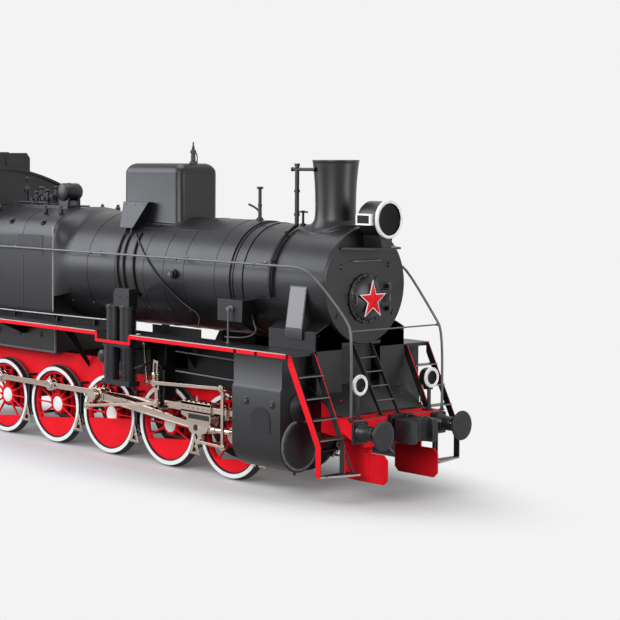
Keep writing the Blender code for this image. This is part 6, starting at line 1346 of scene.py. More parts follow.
def window(p, axis, at, deep, u0, u1, z0, z1, out):
    """A frame round an opening with its pane; axis is the wall's own axis."""
    rim = rect(u0 - 0.022, u1 + 0.022, z0 - 0.022, z1 + 0.022)
    hole = rect(u0 + 0.014, u1 - 0.014, z0 + 0.014, z1 - 0.014)
    p.slab(rim, axis, at - 0.002 * out, at + 0.01 * out, "black", [hole])
    jamb = rect(u0, u1, z0, z1)
    p.slab(jamb, axis, at - deep * 0.62 * out, at - deep * 0.38 * out, "black", [hole])
    p.slab(hole, axis, at - deep * 0.52 * out, at - deep * 0.46 * out, "glass")


def cab():
    """Front wall, both sides with their doors, roof and floor."""
    p = Piece("cab_front_wall", "chassis", "black_paint", "cab_front")
    half, y0, y1 = CAB_W - CAB_WALL - SEAT, CAB_FRONT, CAB_FRONT + CAB_WALL
    line = [(x * (BOX_W + 0.0004) / BOX_W, z + 0.0004) for x, z in section()]
    under = [(x, z) for x, z in roof_line(0.0403) if abs(x) < half]
    outline = ([(half, CAB_FLOOR + SEAT), (half, roof_z(half, 0.0403))] + under
               + [(-half, roof_z(half, 0.0403)), (-half, CAB_FLOOR + SEAT),
                  (-BOX_W - 0.0004, CAB_FLOOR + SEAT)] + line[::-1] + [(BOX_W + 0.0004, CAB_FLOOR + SEAT)])
    holes = [rect(s * 1.22 - 0.13, s * 1.22 + 0.13, 3.275, 3.825) for s in (-1, 1)]
    p.slab(outline, "y", y0, y1, "black", holes)
    for _ in p.both():
        window(p, "y", y0, CAB_WALL, 1.09, 1.35, 3.275, 3.825, -1)
        p.box((1.05, y0 - 0.1, 3.835), (1.4, y0 + 0.002, 3.85), "black")
        for z in (2.3, 2.75, 3.15, 4.00):
            p.dome((half - 0.06, y0 + 0.001, z), FORWARD, 0.01, "black")
        p.box((1.02, y0 - 0.006, 2.86), (1.44, y0 + 0.002, 2.885), "black")
    collar = flat([(BOX_W, 2.2)] + section() + [(-BOX_W, 2.2)], 0.02)
    p.slab(collar, "y", y0 - 0.016, y0 + 0.004, "black")
    # the upright fitting and the slotted one on the front wall
    p.slab([(-0.86, 4.02), (-0.72, 4.02), (-0.7, 4.05), (-0.7, 4.36), (-0.72, 4.4), (-0.86, 4.4),
            (-0.88, 4.36), (-0.88, 4.05)], "y", y0 - 0.1, y0 + 0.003, "black")
    for z in (3.02, 3.08, 3.14):
        p.box((-1.1, y0 - 0.008, z - 0.012), (-1.02, y0 + 0.002, z + 0.012), "rail")
    p.done(0.003)

    for name, side in SIDES:
        s = Piece(f"cab_wall_{name}", "chassis", "black_paint", f"cab_side_{name}", side=side)
        sill, head, wide = 3.05, 3.85, 0.42
        low = CAB_FLOOR - 0.45
        plan = [(CAB_FRONT, low + 0.06), (CAB_FRONT + 0.06, low), (WAY_FRONT, low),
                (WAY_FRONT, WAY_TOP - 0.03), (WAY_FRONT + 0.03, WAY_TOP), (WAY_REAR - 0.03, WAY_TOP),
                (WAY_REAR, WAY_TOP - 0.03), (WAY_REAR, low), (CAB_REAR, low), (CAB_REAR, EAVES - 0.0403),
                (CAB_FRONT, EAVES - 0.0403)]
        holes = [rect(y, y + wide, sill, head) for y in (4.22, 4.69)]
        s.slab(plan, "x", CAB_W - CAB_WALL, CAB_W, "black", holes)
        s.slab([(CAB_FRONT + 0.01, 2.0), (WAY_FRONT - 0.01, 2.0), (WAY_FRONT - 0.01, 2.98),
                (CAB_FRONT + 0.06, 2.98)], "x", CAB_W - CAB_WALL - 0.004, CAB_W - CAB_WALL + 0.001, "cab")
        for y in (4.22, 4.69):
            window(s, "x", CAB_W, CAB_WALL, y, y + wide, sill, head, 1)
        s.box((CAB_W - 0.01, 4.19, 3.00), (CAB_W + 0.045, 5.14, 3.022), "black")
        s.slab(rect(4.18, 5.14, 3.885, 3.9), "x", CAB_W - 0.01, CAB_W + 0.045, "black")
        for y in (CAB_FRONT + 0.03, WAY_FRONT - 0.03, CAB_REAR - 0.03):
            for k in range(22):
                z = low + 0.1 + k * 0.127
                if z < EAVES - 0.06:
                    s.dome((CAB_W - 0.001, y, z), OUTWARD, 0.008, "black")
        for k in range(13):
            s.dome((CAB_W - 0.001, CAB_FRONT + 0.09 + k * 0.128, EAVES - 0.09), OUTWARD, 0.008, "black")
            if k < 8:
                s.dome((CAB_W - 0.001, CAB_FRONT + 0.09 + k * 0.128, 2.05), OUTWARD, 0.008, "black")
        for z in CAB_HINGE_Z:
            for lo in (z - 0.1, z + 0.0503):
                s.lathe([(lo, 0.0), (lo, 0.0125), (lo + 0.0497, 0.0125), (lo + 0.0497, 0)], "z",
                        (*CAB_HINGE, 0), 20, "black")
                s.box((CAB_W - 0.02, 5.118, lo), (1.516, 5.162, lo + 0.0497), "black")
        # hand rails beside the doorway
        for y in (WAY_FRONT - 0.07, WAY_REAR + 0.045):
            s.tube([(CAB_W, y, 2.2), (CAB_W + 0.052, y, 2.2), (CAB_W + 0.052, y, 3.55), (CAB_W, y, 3.55)],
                   0.013, "rail", 12, 2)
            for z in (2.2, 3.55):
                s.lathe([(-0.002, 0), (-0.002, 0.026), (0.01, 0.024), (0.012, 0)], "x",
                        (CAB_W, y, z), 18, "rail")
        outer, inner, top = CAB_W - 0.01, CAB_W - 0.26, CAB_FLOOR - 0.4
        for y in (WAY_FRONT - 0.04, WAY_REAR + 0.02):
            s.slab([(inner + 0.2, top), (outer, top), (outer, 0.55), (inner, 0.55), (inner, 0.6)], "y", y,
                   y + 0.018, "black")
        for z in (0.56, 0.98, 1.36):
            s.box((inner + 0.01, WAY_FRONT - 0.03, z), (outer - 0.005, WAY_REAR + 0.03, z + 0.018), "iron")
            s.box((outer - 0.018, WAY_FRONT - 0.028, z - 0.02), (outer - 0.004, WAY_REAR + 0.028, z + 0.019),
                  "rail")
        s.done(0.003)

        d = Piece(f"cab_leaf_{name}", f"cab_door_{name}", "black_paint", f"cab_door_{name}", side=side)
        x0, x1 = CAB_W - CAB_WALL + 0.008, CAB_W - 0.008
        a, b, c, e = WAY_FRONT + 0.012, WAY_REAR - 0.012, CAB_FLOOR + 0.024, WAY_TOP - 0.012
        hole = rect(a + 0.1, b - 0.08, 3.05, 3.8)
        d.slab([(a, c), (b, c), (b, e - 0.02), (b - 0.02, e), (a + 0.02, e), (a, e - 0.02)], "x", x0, x1,
               "black", [hole])
        window(d, "x", x1 - 0.006, x1 - x0, a + 0.1, b - 0.08, 3.05, 3.8, 1)
        for z0, z1 in ((c + 0.1, 2.46), (2.56, 2.94)):
            d.slab(rect(a + 0.07, b - 0.07, z0, z1), "x", x1 - 0.002, x1 + 0.004, "black")
        for z in CAB_HINGE_Z:
            d.lathe(band(z - 0.05, z + 0.05, 0, 0.0125), "z", (*CAB_HINGE, 0), 20, "black")
            d.box((x1 - 0.003, 5.168, z - 0.028), (1.517, 5.256, z + 0.028), "black")
        d.tube([(x1, b - 0.05, 2.86), (x1 + 0.035, b - 0.05, 2.86), (x1 + 0.035, b - 0.05, 3.00),
                (x1, b - 0.05, 3.00)], 0.009, "rail", 10, 2)
        d.done(0.003)

    r = Piece("cab_roofing", "chassis", "black_paint", "cab_roof")
    front, rear = CAB_FRONT - 0.06, CAB_REAR + 0.12
    r.slab(roof_line() + roof_line(0.04)[::-1], "y", front, rear, "black")
    for y in (front + 0.02, CAB_FRONT + 0.58, CAB_FRONT + 1.16, rear - 0.02):
        over = roof_line(-0.005)
        r.slab(over + roof_line(0.004)[::-1], "y", y - 0.018, y + 0.018, "black")
    for x in (-1.535, 1.535):
        r.slab(rect(x - 0.012, x + 0.012, roof_z(x) - 0.038, roof_z(x) + 0.02), "y", front, rear, "black")
    w, top, cut = 0.66, 5.06, 0.1
    foot = roof_z(w) - 0.02
    vent = [(-w, foot), (-w * 0.5, roof_z(w * 0.5) - 0.01), (0, roof_z(0) - 0.01),
            (w * 0.5, roof_z(w * 0.5) - 0.01), (w, foot), (w, top - cut), (w - cut * 0.8, top),
            (-w + cut * 0.8, top), (-w, top - cut)]
    r.slab(vent, "y", front + 0.03, rear - 0.5, "black")
    for _ in r.both():
        r.box((0.08, front + 0.012, foot + 0.14), (0.58, front + 0.034, top - 0.08), "black")
        r.box((w - 0.01, front + 0.18, foot + 0.08), (w + 0.014, rear - 0.68, top - 0.14), "black")
    r.box((-0.36, front + 0.3, top - 0.004), (0.36, front + 0.8, top + 0.016), "black")
    for k in range(9):
        r.dome((-0.56 + k * 0.14, front + 0.029, top - 0.035), FORWARD, 0.008, "black")
    r.done(0.004)

    f = Piece("cab_footplate", "chassis", "black_paint", "cab_floor")
    wide = BOX_W + 0.0009
    plan = [(-half, CAB_FRONT), (-wide, CAB_FRONT), (-wide, BOX_REAR + SEAT), (wide, BOX_REAR + SEAT),
            (wide, CAB_FRONT), (half, CAB_FRONT), (half, CAB_REAR), (-half, CAB_REAR)]
    f.slab(plan, "z", CAB_FLOOR - 0.05, CAB_FLOOR - 0.006, "black")
    f.slab([(x * 0.999, y) for x, y in plan], "z", CAB_FLOOR - 0.008, CAB_FLOOR, "wood")
    for y in (BOX_REAR + 0.18, DRAG_REAR - 0.35):
        f.box((-0.66, y - 0.05, FRAME_TOP + SEAT), (0.66, y + 0.05, CAB_FLOOR - 0.03), "red")
    for _ in f.both():
        f.slab(rect(4.72, 5.06, 2.5, 2.56), "x", 0.98, 1.38, "wood")
        f.tube([(1.18, 4.89, CAB_FLOOR), (1.18, 4.89, 2.51)], 0.035, "iron", 16)
        f.box((1.00, 5.04, 2.56), (1.36, 5.07, 2.86), "wood")
    f.tube([(-1.02, 4.62, CAB_FLOOR), (-1.02, 4.62, 2.95)], 0.03, "iron", 14)
    f.lathe(band(4.6, 4.625, 0.11, 0.135), "y", (-1.02, 0, 2.98), 32, "iron", loop=True)
    f.done(0.003)


# platforms and pipes
def running_board(name, side):
    p = Piece(f"foot_board_{name}", "chassis", "black_paint", f"running_board_{name}", side=side)
    top, rear, edge = BOARD_TOP, CAB_FRONT - SEAT, BOARD_EDGE
    notch = (-1.36, -0.5) if side < 0 else None
    plan = rect(BOARD_IN, edge - 0.004, BOARD_FRONT, rear)
    if notch:
        plan = [(BOARD_IN, BOARD_FRONT), (edge - 0.004, BOARD_FRONT), (edge - 0.004, notch[0]),
                (1.26, notch[0]), (1.26, notch[1]), (edge - 0.004, notch[1]), (edge - 0.004, rear),
                (BOARD_IN, rear)]
    p.slab(plan, "z", top - 0.012, top, "black")
    runs = [(BOARD_FRONT, rear)] if not notch else [(BOARD_FRONT, notch[0]), (notch[1], rear)]
    for y0, y1 in runs:
        p.box((edge - 0.018, y0, top - 0.066), (edge, y1, top - 0.006), "red")
        # painted highlight: a pale strip along the board's top edge
        p.box((edge - 0.03, y0, top - 0.01), (edge, y1, top + 0.003), "pale")
        p.box((edge - 0.1, y0 + 0.01, top - 0.035), (edge - 0.018, y1 - 0.01, top - 0.012), "black")
    p.box((BOARD_IN, BOARD_FRONT, top - 0.055), (edge - 0.02, BOARD_FRONT + 0.018, top - 0.01), "black")
    if notch:
        dip, strip = top - 0.17, 0.045
        p.slab([(notch[0], top - 0.008), (notch[0], dip), (notch[1], dip), (notch[1], top - 0.008),
                (notch[1] - strip, top - 0.008), (notch[1] - strip, dip + strip),
                (notch[0] + strip, dip + strip), (notch[0] + strip, top - 0.008)], "x", edge - 0.017,
               edge - 0.001, "red")
    for i in range(5):
        y = axle_y(i) + PITCH / 2
        if notch and notch[0] < y < notch[1]:
            continue
        foot = FRAME_FRONT_TOP - 0.04
        if y > BOX_FRONT:
            root, reach = BOX_W - 0.0547, edge - 0.1
            plan = [(root, top - 0.3), (root + 0.05, top - 0.3), (reach, top - 0.09), (reach, top - 0.012),
                    (root, top - 0.012)]
        else:
            root, reach = FRAME_OUT + SEAT, 1.26
            plan = [(root, foot), (root, foot - 0.09), (reach, top - 0.09), (reach, top - 0.012),
                    (reach - 0.16, top - 0.012)]
        p.slab(plan, "y", y, y + 0.018, "soot_and_shade")
        p.box((BOARD_IN + 0.03, y - 0.03, top - 0.024), (reach, y + 0.048, top - 0.011), "black")
    seams = 6
    for k in range(1, seams):
        y = BOARD_FRONT + (rear - BOARD_FRONT) * k / seams
        if not notch or not notch[0] < y < notch[1]:
            p.box((BOARD_IN + 0.01, y - 0.03, top - 0.002), (edge - 0.03, y + 0.03, top + 0.003), "black")
    for y in (-4.15, -3.72):
        p.box((edge - 0.004, y - 0.028, top - 0.075), (edge, y + 0.028, top - 0.012), "black")
    # painted shade: dark sheets inside the boards stand in for the shadowed space below the boiler
    for y0, y1 in ((-2.33, -1.21), (-0.42, BOX_FRONT - 0.05)):
        p.box((BOARD_IN - 0.02, y0, top - 0.05), (BOARD_IN + 0.004, y1, top + 0.13), "soot_and_shade")
    p.box((0.895, -2.0, 1.62), (0.905, -0.9, 2.06), "soot_and_shade")
    p.done(0.002)


def side_ladder(name, side):
    p = Piece(f"side_steps_{name}", "chassis", "black_paint", f"side_ladder_{name}", side=side)
    outer, inner, t, half = 1.52, BEAM_W + SEAT, 0.016, 0.047
    top = (BOARD_FRONT - SEAT, BOARD_TOP - 0.02)
    bend, foot = (-5.33, 0.88), 0.44
    run = [(top[0], top[1]), (top[0], top[1] - 0.14), (bend[0] + half, bend[1] - 0.012),
           (bend[0] + half, foot), (bend[0] - half, foot), (bend[0] - half, bend[1] + 0.012),
           (top[0] - 0.05, top[1])]
    core = [(y + (0.005 if y > bend[0] + half - 0.001 and z < 1 else 0), z) for y, z in run]
    p.slab(core, "x", outer - t, outer - 0.006, "black")
    p.slab(run, "x", outer - 0.007, outer, "red")
    p.slab(run, "x", inner, inner + t, "black")
    edge = [(top[0] - 0.05, top[1] - 0.002), (bend[0] - half, bend[1] + 0.012),
            (bend[0] - half, foot + 0.02)]
    p.slab(edge + [(y - 0.003, z) for y, z in reversed(edge)], "x", inner, inner + t, "red")
    for share in (0.24, 0.48, 0.71, 0.93):
        y, z = top[0] + (bend[0] - top[0]) * share, top[1] + (bend[1] - top[1]) * share
        p.box((inner + 0.008, y - 0.075, z - 0.006), (outer - 0.012, y + 0.075, z + 0.006), "black")
        # painted highlight: a grey strip on each rung's front edge
        p.box((inner + 0.008, y - 0.079, z - 0.01), (outer - 0.012, y - 0.073, z + 0.008), "painted_sheen")
    tread = [(1.511, -5.377), (1.511, -5.283), (0.86, -5.283), (0.86, -5.53)]
    p.slab(tread, "z", foot, foot + 0.018, "black")
    # painted highlight: a pale strip along the tread's front edge
    p.slab([(1.511, -5.377), (0.86, -5.53), (0.86, -5.534), (1.511, -5.381)], "z", foot - 0.004,
           foot + 0.022, "pale")
    for k in range(5):
        x = 0.92 + k * 0.12
        p.box((x, -5.36, foot + 0.017), (x + 0.07, -5.345, foot + 0.022), "black")
        p.box((x, -5.42, foot + 0.017), (x + 0.05, -5.405, foot + 0.022), "black")
    p.tube([(1.013, -5.3065, 0.927), (0.892, -5.43, 0.451)], 0.016, "black", 12)
    p.done(0.002)


def centre_ladder():
    p = Piece("front_steps", "chassis", "black_paint", "centre_ladder")
    half, wide, t = 0.198, 0.05, 0.016
    foot, top = (-5.33, BEAM_TOP + SEAT), (-4.7713, 2.22)
    run = [(foot[0] - wide / 2, foot[1]), (foot[0] + wide / 2, foot[1]), (top[0], top[1] - 0.1),
           (top[0], top[1]), (top[0] - wide, top[1] - 0.02)]
    for _ in p.both():
        p.slab(run, "x", half - t, half, "black")
        p.box((half - 0.045, foot[0] - 0.05, BEAM_TOP), (half + 0.03, foot[0] + 0.05, BEAM_TOP + 0.01),
              "black")
        p.bolt((half + 0.015, foot[0], BEAM_TOP + 0.009), UPWARD, 0.01, "iron")
    for k in range(1, 5):
        share = k / 5
        y, z = foot[0] + (top[0] - foot[0]) * share, foot[1] + (top[1] - foot[1]) * share
        p.tube([(-half + 0.006, y - 0.012, z), (half - 0.006, y - 0.012, z)], 0.011, "rail", 14)
    p.done(0.002)


def handrail(name, side):
    p = Piece(f"hand_rail_{name}", "chassis", "black_paint", f"handrail_{name}", side=side)
    r = 0.0185
    route = [(0.991, -5.466, BEAM_TOP + SEAT), (0.991, -5.466, 2.4), (0.93, -5.37, 2.62),
             (1.02, -4.78, 3.26), (1.062, -4.55, 3.372), (1.075, -4.3, 3.385),
             (1.075, CAB_FRONT - SEAT, 3.385)]
    p.tube(route, r, "rail", 16, 3)
    p.lathe([(0, 0), (0, 0.044), (0.012, 0.044), (0.018, 0.026), (0.05, 0.023), (0.05, 0)], "z",
            (0.991, -5.466, BEAM_TOP), 28, "black")
    z = 3.385
    for y in (-3.6, -1.9, 0.2, 2.4):
        out = BOX_W if y > BOX_FRONT else math.sqrt(barrel_r(y) ** 2 - (z - BOILER_Z) ** 2)
        p.lathe([(out - 0.01, 0), (out - 0.01, 0.036), (out + 0.008, 0.034), (out + 0.014, 0.016),
                 (1.05, 0.012), (1.05, 0)], "x", (0, y, z), 22, "rail")
        p.lathe([(-0.03, 0.0), (-0.028, 0.02), (-0.012, 0.029), (0.012, 0.029), (0.028, 0.02), (0.03, 0.0)],
                "y", (1.075, y, z), 24, "rail")
    if side < 0:
        p.tube([(0.958, -5.415, 2.5), (-0.9375, -5.415, 2.5)], 0.012, "rail", 14)
        for x in (0.955, -0.935):
            p.lathe(band(-0.02, 0.02, 0, 0.02), "x", (x, -5.415, 2.5), 18, "rail")
    p.done(0)


def air_pump():
    """Two cylinders over two, the front lower one finned."""
    p = Piece("brake_pump", "chassis", "dark_iron", "air_pump")
    x, low, top, mid0, mid1, r = -1.42, 1.33, 2.6, 1.94, 2.0, 0.14
    for y in (-0.8, -1.13):
        p.lathe([(mid1 - 0.01, 0), (mid1 - 0.01, r), (mid1 + 0.02, r), (mid1 + 0.024, r - 0.01),
                 (2.535, r - 0.01), (2.54, r), (2.585, r), (2.59, r - 0.008), (top, r - 0.012), (top, 0)],
                "z", (x, y, 0), 48, "black")
        for a, b in around(8, 0.105, 0.5):
            p.bolt((x + a, y + b, top - 0.004), UPWARD, 0.01, "iron", 0.35)
        p.lathe(band(2.26, 2.29, r - 0.012, r - 0.004), "z", (x, y, 0), 48, "black", loop=True)
    # the rear lower cylinder is smooth, the front one is finned for cooling
    for y, inset in ((-0.74, 0.016), (-1.16, 0.034)):
        p.lathe(band(low + 0.02, mid0 - 0.01, 0, r - inset), "z", (x, y, 0), 40, "iron")
    fins = 15
    for k in range(fins):
        z = low + 0.08 + k * (mid0 - low - 0.11) / (fins - 1)
        p.lathe([(-0.006, r - 0.036), (-0.004, r), (0.004, r), (0.006, r - 0.036)], "z", (x, -1.16, z),
                44, "iron", loop=True)
    p.box((x - 0.09, -1.26, 2.58), (x + 0.09, -0.88, 2.82), "black")
    p.box((x - 0.075, -1.24, 2.81), (x + 0.075, -0.9, 2.87), "black")
    for y in (-1.2, -1.04, -0.88):
        p.bolt((x - 0.088, y, 2.74), (-1, 0, 0), 0.013, "iron")
    p.box((x - 0.1, -1.29, mid0 - 0.02), (x + 0.12, -0.62, mid1 + 0.02), "iron")
    for y in (-1.25, -0.95, -0.65):
        p.bolt((x - 0.098, y, mid0 + 0.03), (-1, 0, 0), 0.016, "iron")
    p.box((x - 0.11, -1.29, low - 0.03), (x + 0.12, -0.62, low + 0.05), "iron")
    p.box((x + 0.1, -1.28, mid0 - 0.05), (-1.02, -0.66, mid1), "iron")
    p.box((-1.06, -1.28, FRAME_FRONT_TOP - 0.05), (-1.02, -0.45, mid1 - 0.01), "iron")
    p.box((-1.05, -1.1, FRAME_FRONT_TOP - 0.05), (-FRAME_OUT - SEAT, -0.86, FRAME_FRONT_TOP), "iron")
    p.lathe([(-1.42, 0), (-1.42, 0.05), (-1.41, 0.088), (-1.385, 0.112), (-1.36, 0.115), (-1.09, 0.115),
             (-1.065, 0.112), (-1.04, 0.088), (-1.03, 0.05), (-1.03, 0)], "x", (0, -0.46, 1.72), 44, "iron")
    p.tube([(x + 0.06, -1.04, 2.78), (-1.22, -1.02, 2.8), (-1.02, -0.94, 2.76), (-0.94, -0.9, 2.74)], 0.026,
           "black", 16, 3)
    p.tube([(x, -1.2, 1.6), (x, -1.33, 1.6), (x + 0.06, -1.42, 1.66), (-1.1, -1.44, 1.7)], 0.02, "iron", 14,
           2)
    p.tube([(x + 0.02, -0.62, 1.46), (x + 0.06, -0.48, 1.46), (-1.3, -0.44, 1.6), (-1.28, -0.45, 1.64)],
           0.02, "iron", 14, 2)
    p.done(0.003)


def blast_pipe():
    p = Piece("steam_escape_pipe", "chassis", "black_paint", "blast_pipe")
    r, x, y, bend = 0.033, -0.32, -3.76, 0.922
    points = [(x, y, 4.9), (x, y, 4.3)]
    for k in range(13):
        t = math.radians(110.4 + 7 * k)
        points.append((bend * math.cos(t), y, BOILER_Z + bend * math.sin(t)))
    points[1] = (x, y, points[2][2] + 0.1)
    p.tube(points, r, "black", 20)
    p.tube([(x, -4.12, 4.81), (x, -3.67, 4.81)], 0.026, "black", 16)
    for at in (-4.12, -3.67):
        p.lathe(band(-0.012, 0.012, 0, 0.034), "y", (x, at, 4.81), 20, "black")
    p.lathe([(4.86, 0), (4.86, r * 1.3), (4.895, r * 1.3), (4.9, r), (4.9, 0)], "z", (x, y, 0), 24, "black")
    for z in (4.1, 4.46):
        p.lathe(band(0, 0.04, 0, r * 1.35), "z", (x, y, z), 24, "black")
    for t in (126, 158, 190):
        t = math.radians(t)
        out = Vector((math.cos(t), 0, math.sin(t)))
        root = Vector((0, y, BOILER_Z)) + out * (SMOKE_R - 0.002)
        p.tube([root, root + out * 0.09], 0.012, "black", 10)
        p.bolt(root + out * 0.08, out, 0.022, "black", 0.5)
    # a capped stem with a crossbar stands behind it
    sx, sy = -0.12, -3.7
    z = BOILER_Z + math.sqrt(SMOKE_R ** 2 - sx ** 2)
    p.lathe([(-0.02, 0), (-0.02, 0.045), (0.02, 0.045), (0.03, 0.02), (0.19, 0.018), (0.195, 0.035),
             (0.22, 0.035), (0.225, 0)], "z", (sx, sy, z), 24, "black")
    p.tube([(sx, sy - 0.09, z + 0.2), (sx, sy + 0.09, z + 0.2)], 0.014, "black", 12)
    p.done(0)


def lubricator():
    p = Piece("oil_box", "chassis", "black_paint", "lubricator")
    p.side = -1
    front, rear, low, high, out = -3.39, -2.85, 2.47, 2.82, 1.1
    p.slab([(0.76, low), (out - 0.012, low), (out, low + 0.012), (out, high - 0.02), (0.76, high - 0.02)],
           "y", front + 0.004, rear - 0.004, "black")
    p.slab([(0.74, high - 0.022), (out, high - 0.022), (out, high - 0.006), (0.74, high)], "y", front, rear,
           "black")
    for y in (front + 0.1, rear - 0.1):
        p.box((out - 0.012, y - 0.035, high - 0.055), (out - 0.001, y + 0.035, high - 0.03), "black")
    p.lathe([(-0.01, 0), (-0.01, 0.05), (0.012, 0.048), (0.016, 0.03), (0.045, 0.026), (0.05, 0.034),
             (0.078, 0.034), (0.082, 0)], "x", (out, -3.15, 2.675), 28, "rail")
    p.tube([(1.16, -3.15, 2.675), (1.16, -3.15, BOARD_TOP + SEAT)], 0.014, "rail", 14)
    p.lathe([(0, 0), (0, 0.035), (0.015, 0.035), (0.02, 0.018), (0.05, 0.016), (0.05, 0)], "z",
            (1.16, -3.15, BOARD_TOP), 22, "rail")
    p.done(0.003)


def brakes(i):
    """Shoes, hangers and the cross beam behind one axle."""
    y0 = axle_y(i)
    p = Piece(f"brake_rig_{i + 1}", "chassis", "bright_steel", f"brake_beam_{i + 1}")
    inner, outer = 0.748, 0.83
    r, thick = WHEEL_R * 1.006 + 0.012, 0.05
    low, high = 188, 214
    middle = math.radians((low + high) / 2)
    hub = (y0 + (r + thick) * math.cos(middle), WHEEL_R + (r + thick) * math.sin(middle))
    top = (y0 - 0.69, 1.1)
    for _ in p.both():
        p.slab(arc((y0, WHEEL_R), r, low, high, 14) + arc((y0, WHEEL_R), r + thick, high, low, 14), "x",
               inner + 0.034, outer, "steel")
        head = arc((y0, WHEEL_R), r + 0.03, low + 5, high - 5, 8)
        far = (r + thick + 0.045)
        head += [(y0 + far * math.cos(middle + 0.07), WHEEL_R + far * math.sin(middle + 0.07)),
                 (y0 + far * math.cos(middle - 0.07), WHEEL_R + far * math.sin(middle - 0.07))]
        p.slab(head, "x", inner + 0.048, outer - 0.012, "steel")
        y, z = hub
        p.slab([(y - 0.005, z + 0.17), (y + 0.035, z + 0.16), (y + 0.13, z - 0.1), (y + 0.18, z - 0.13),
                (y - 0.13, z - 0.13), (y - 0.09, z - 0.1)], "x", 0.852, 0.866, "steel",
               [[(y + 0.01, z + 0.09), (y + 0.07, z - 0.09), (y - 0.045, z - 0.09)]])
        p.tube([(outer - 0.01, y, z), (0.866, y, z)], 0.022, "steel", 16)
        p.link(top, (hub[0] - 0.005, hub[1]), 0.034, 0.034, 0.019, 0.019, inner + 0.052, inner + 0.092,
               "iron")
        p.tube([(FRAME_OUT + SEAT, *top), (inner + 0.1, *top)], 0.023, "iron", 20)
        p.bolt((inner + 0.094, *top), OUTWARD, 0.02, "iron")
        p.bolt((inner + 0.094, hub[0] - 0.005, hub[1]), OUTWARD, 0.022, "steel")
    p.tube([(-inner - 0.08, hub[0] - 0.005, hub[1]), (inner + 0.08, hub[0] - 0.005, hub[1])], 0.027, "iron",
           20)
    p.done(0.003)


def side_pipes():
    """Pipework that hangs beside the boiler on the side with the pump."""
    p = Piece("side_pipework", "chassis", "black_paint")
    p.side = -1
    # painted highlight: the thin pipe along the board is drawn pale along its whole length
    p.tube([(1.0, CAB_FRONT - 0.002, 2.24), (1.0, 2.84, 2.24), (1.0, 0.03, 2.265), (1.02, -0.2, 2.28)],
           0.011, "pale", 10, 1)
    for y in (3.6, 2.4, 1.2, 0.2):
        p.box((0.96, y - 0.012, BOARD_TOP), (1.012, y + 0.012, 2.255), "black")
    curve = []
    for k in range(9):
        share = k / 8
        y, turn = -0.5 - 1.55 * share, math.radians(42 - 84 * share)
        r = barrel_r(y) + 0.022
        curve.append((r * math.cos(turn), y, BOILER_Z + r * math.sin(turn)))
    p.tube(curve + [(0.8, -2.12, 2.3)], 0.013, "black", 12, 2)
    p.tube([(0.86, -3.36, 2.6), (0.98, -3.5, 2.52), (1.0, -3.62, 2.34), (1.02, -3.4, 2.24),
            (1.02, -2.95, 2.22)], 0.018, "black", 12, 3)
    for y in (-0.6, -1.8, -2.9):
        p.box((0.55, y - 0.012, 2.31), (1.03, y + 0.012, 2.326), "black")
    p.done(0.002)


# stage
BACKDROP = 0.896


def place_item(name, data, spot=(0, 0, 0), turn=(0, 0, 0)):
    """A new object in the scene."""
    item = bpy.data.objects.new(name, data)
    item.location = spot
    item.rotation_euler = turn
    bpy.context.scene.collection.objects.link(item)
    return item


def stage():
    """Floor, sky, four lamps and the camera that matches the photo."""
    floor = bpy.data.meshes.new("floor")
    size = 60
    floor.from_pydata([(-size, -size, 0), (size, -size, 0), (size, size, 0), (-size, size, 0)], [],
                      [range(4)])
    floor.materials.append(floor_paint())
    place_item("floor", floor, (0, 0, -0.001))

    world = bpy.data.worlds.new("studio")
    bpy.context.scene.world = world
    world.use_nodes = True
    tree = world.node_tree
    level = add_node(tree, "MapRange", {"To Min": 0.16, "To Max": BACKDROP, "Value": pale_rays(tree)})
    sky = {"Color": (1, 1, 1, 1), "Strength": level.outputs["Result"]}
    set_inputs(tree, tree.nodes["Background"], sky)

    for name, spot, aim, size, power, colour in (
            ("key", (-15, -9, 8), (0, -1.5, 1.5), 9, 2250, (1, 0.985, 0.97)),
            ("side", (-11, 11, 9.5), (0, 0, 2.8), 13, 3300, (0.9, 0.92, 1)),
            ("front", (4, -18, 5), (0, -4, 2), 7, 1100, (1, 1, 1)),
            ("top", (1, 0, 14), (0, 0, 2), 8, 800, (0.92, 0.95, 1))):
        lamp = bpy.data.lights.new(name, "AREA")
        lamp.energy, lamp.size, lamp.color = power, size, colour
        way = Vector(aim) - Vector(spot)
        place_item(name, lamp, spot, way.to_track_quat("-Z", "Y").to_euler())

    lens = bpy.data.cameras.new("camera")
    lens.sensor_width = 36
    # focal length and picture width of the photo, in pixels
    focal, photo = 1774.44, 620
    lens.lens = focal / photo * lens.sensor_width
    lens.shift_x, lens.shift_y = 0.6011, -0.1633
    lens.clip_end = 200
    aim = Euler((math.pi / 2 - 0.0314, 0, -0.6116))
    bpy.context.scene.camera = place_item("camera", lens, (-20.337, -22.7355, 5.086), aim)
    bpy.context.scene.view_settings.view_transform = "Standard"


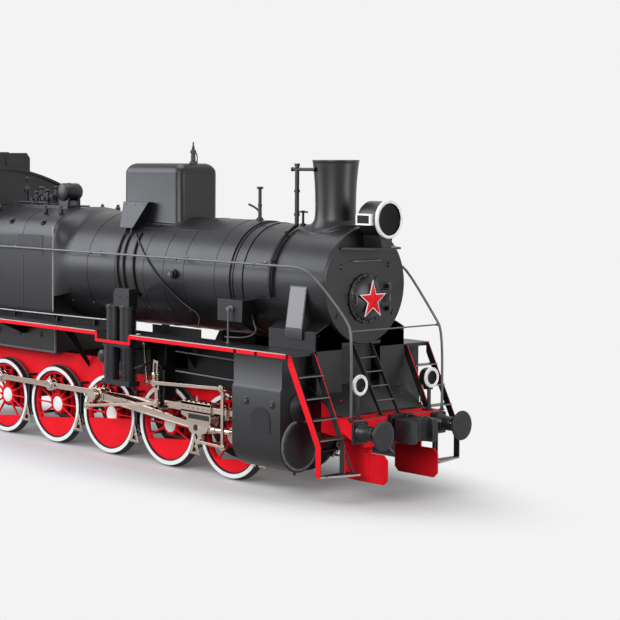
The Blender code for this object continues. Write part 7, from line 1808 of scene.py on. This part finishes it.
def pale_rays(tree):
    """One where a ray comes from the camera, a mirror or a window, else zero."""
    path = add_node(tree, "LightPath").outputs
    seen = path["Is Camera Ray"]
    for other in ("Is Glossy Ray", "Is Transmission Ray"):
        seen = add_node(tree, "Math", {0: seen, 1: path[other]}, operation="MAXIMUM").outputs["Value"]
    return seen


def floor_paint():
    """Pale floor that takes the shadow near the engine and glows evenly beyond it."""
    mat = bpy.data.materials.new("pale_floor")
    mat.use_nodes = True
    tree = mat.node_tree
    tree.nodes.remove(tree.nodes["Principled BSDF"])
    place = add_node(tree, "TexCoord").outputs["Object"]
    noise = add_node(tree, "TexNoise", {"Scale": 3, "Vector": place}).outputs["Fac"]
    seen = pale_rays(tree)
    tone = {"A": (0.1, 0.1, 0.1, 1), "B": ramp(tree, noise, [0.63] * 3, [0.65] * 3), "Factor": seen}
    colour = add_node(tree, "Mix", tone, data_type="RGBA").outputs["Result"]
    lit = add_node(tree, "BsdfDiffuse", {"Color": colour})
    level = add_node(tree, "Math", {0: seen, 1: BACKDROP}, operation="MULTIPLY")
    glow = add_node(tree, "Emission", {"Strength": level.outputs["Value"]})
    # how far a spot lies outside the engine's own footprint
    squeeze = add_node(tree, "Mapping", {"Scale": (1, 0.42, 1), "Vector": place})
    length = add_node(tree, "VectorMath", {0: squeeze.outputs["Vector"]}, operation="LENGTH")
    reach = {"From Min": 2.1, "From Max": 3.5, "To Min": 0.08, "Value": length.outputs["Value"]}
    share = add_node(tree, "MapRange", reach, interpolation_type="SMOOTHSTEP").outputs["Result"]
    mix = add_node(tree, "MixShader", {"Fac": share, 1: lit.outputs["BSDF"], 2: glow.outputs["Emission"]})
    set_inputs(tree, tree.nodes["Material Output"], {"Surface": mix.outputs["Shader"]})
    return mat


def build():
    """Every piece, then the stage."""
    for i in range(5):
        wheelset(i)
        brakes(i)
    for single in (frame_and_beam, coupler, smokebox, smokebox_door, chimney, saddle, barrel, firebox, dome,
                   generator, headlamp, cab, centre_ladder, air_pump, blast_pipe, lubricator, side_pipes):
        single()
    for name, side in SIDES:
        for pair in (side_rod, main_rod, crosshead, motion, cylinder, buffers, rail_guard, marker_lamp,
                     running_board, side_ladder, handrail):
            pair(name, side)
    stage()


build()
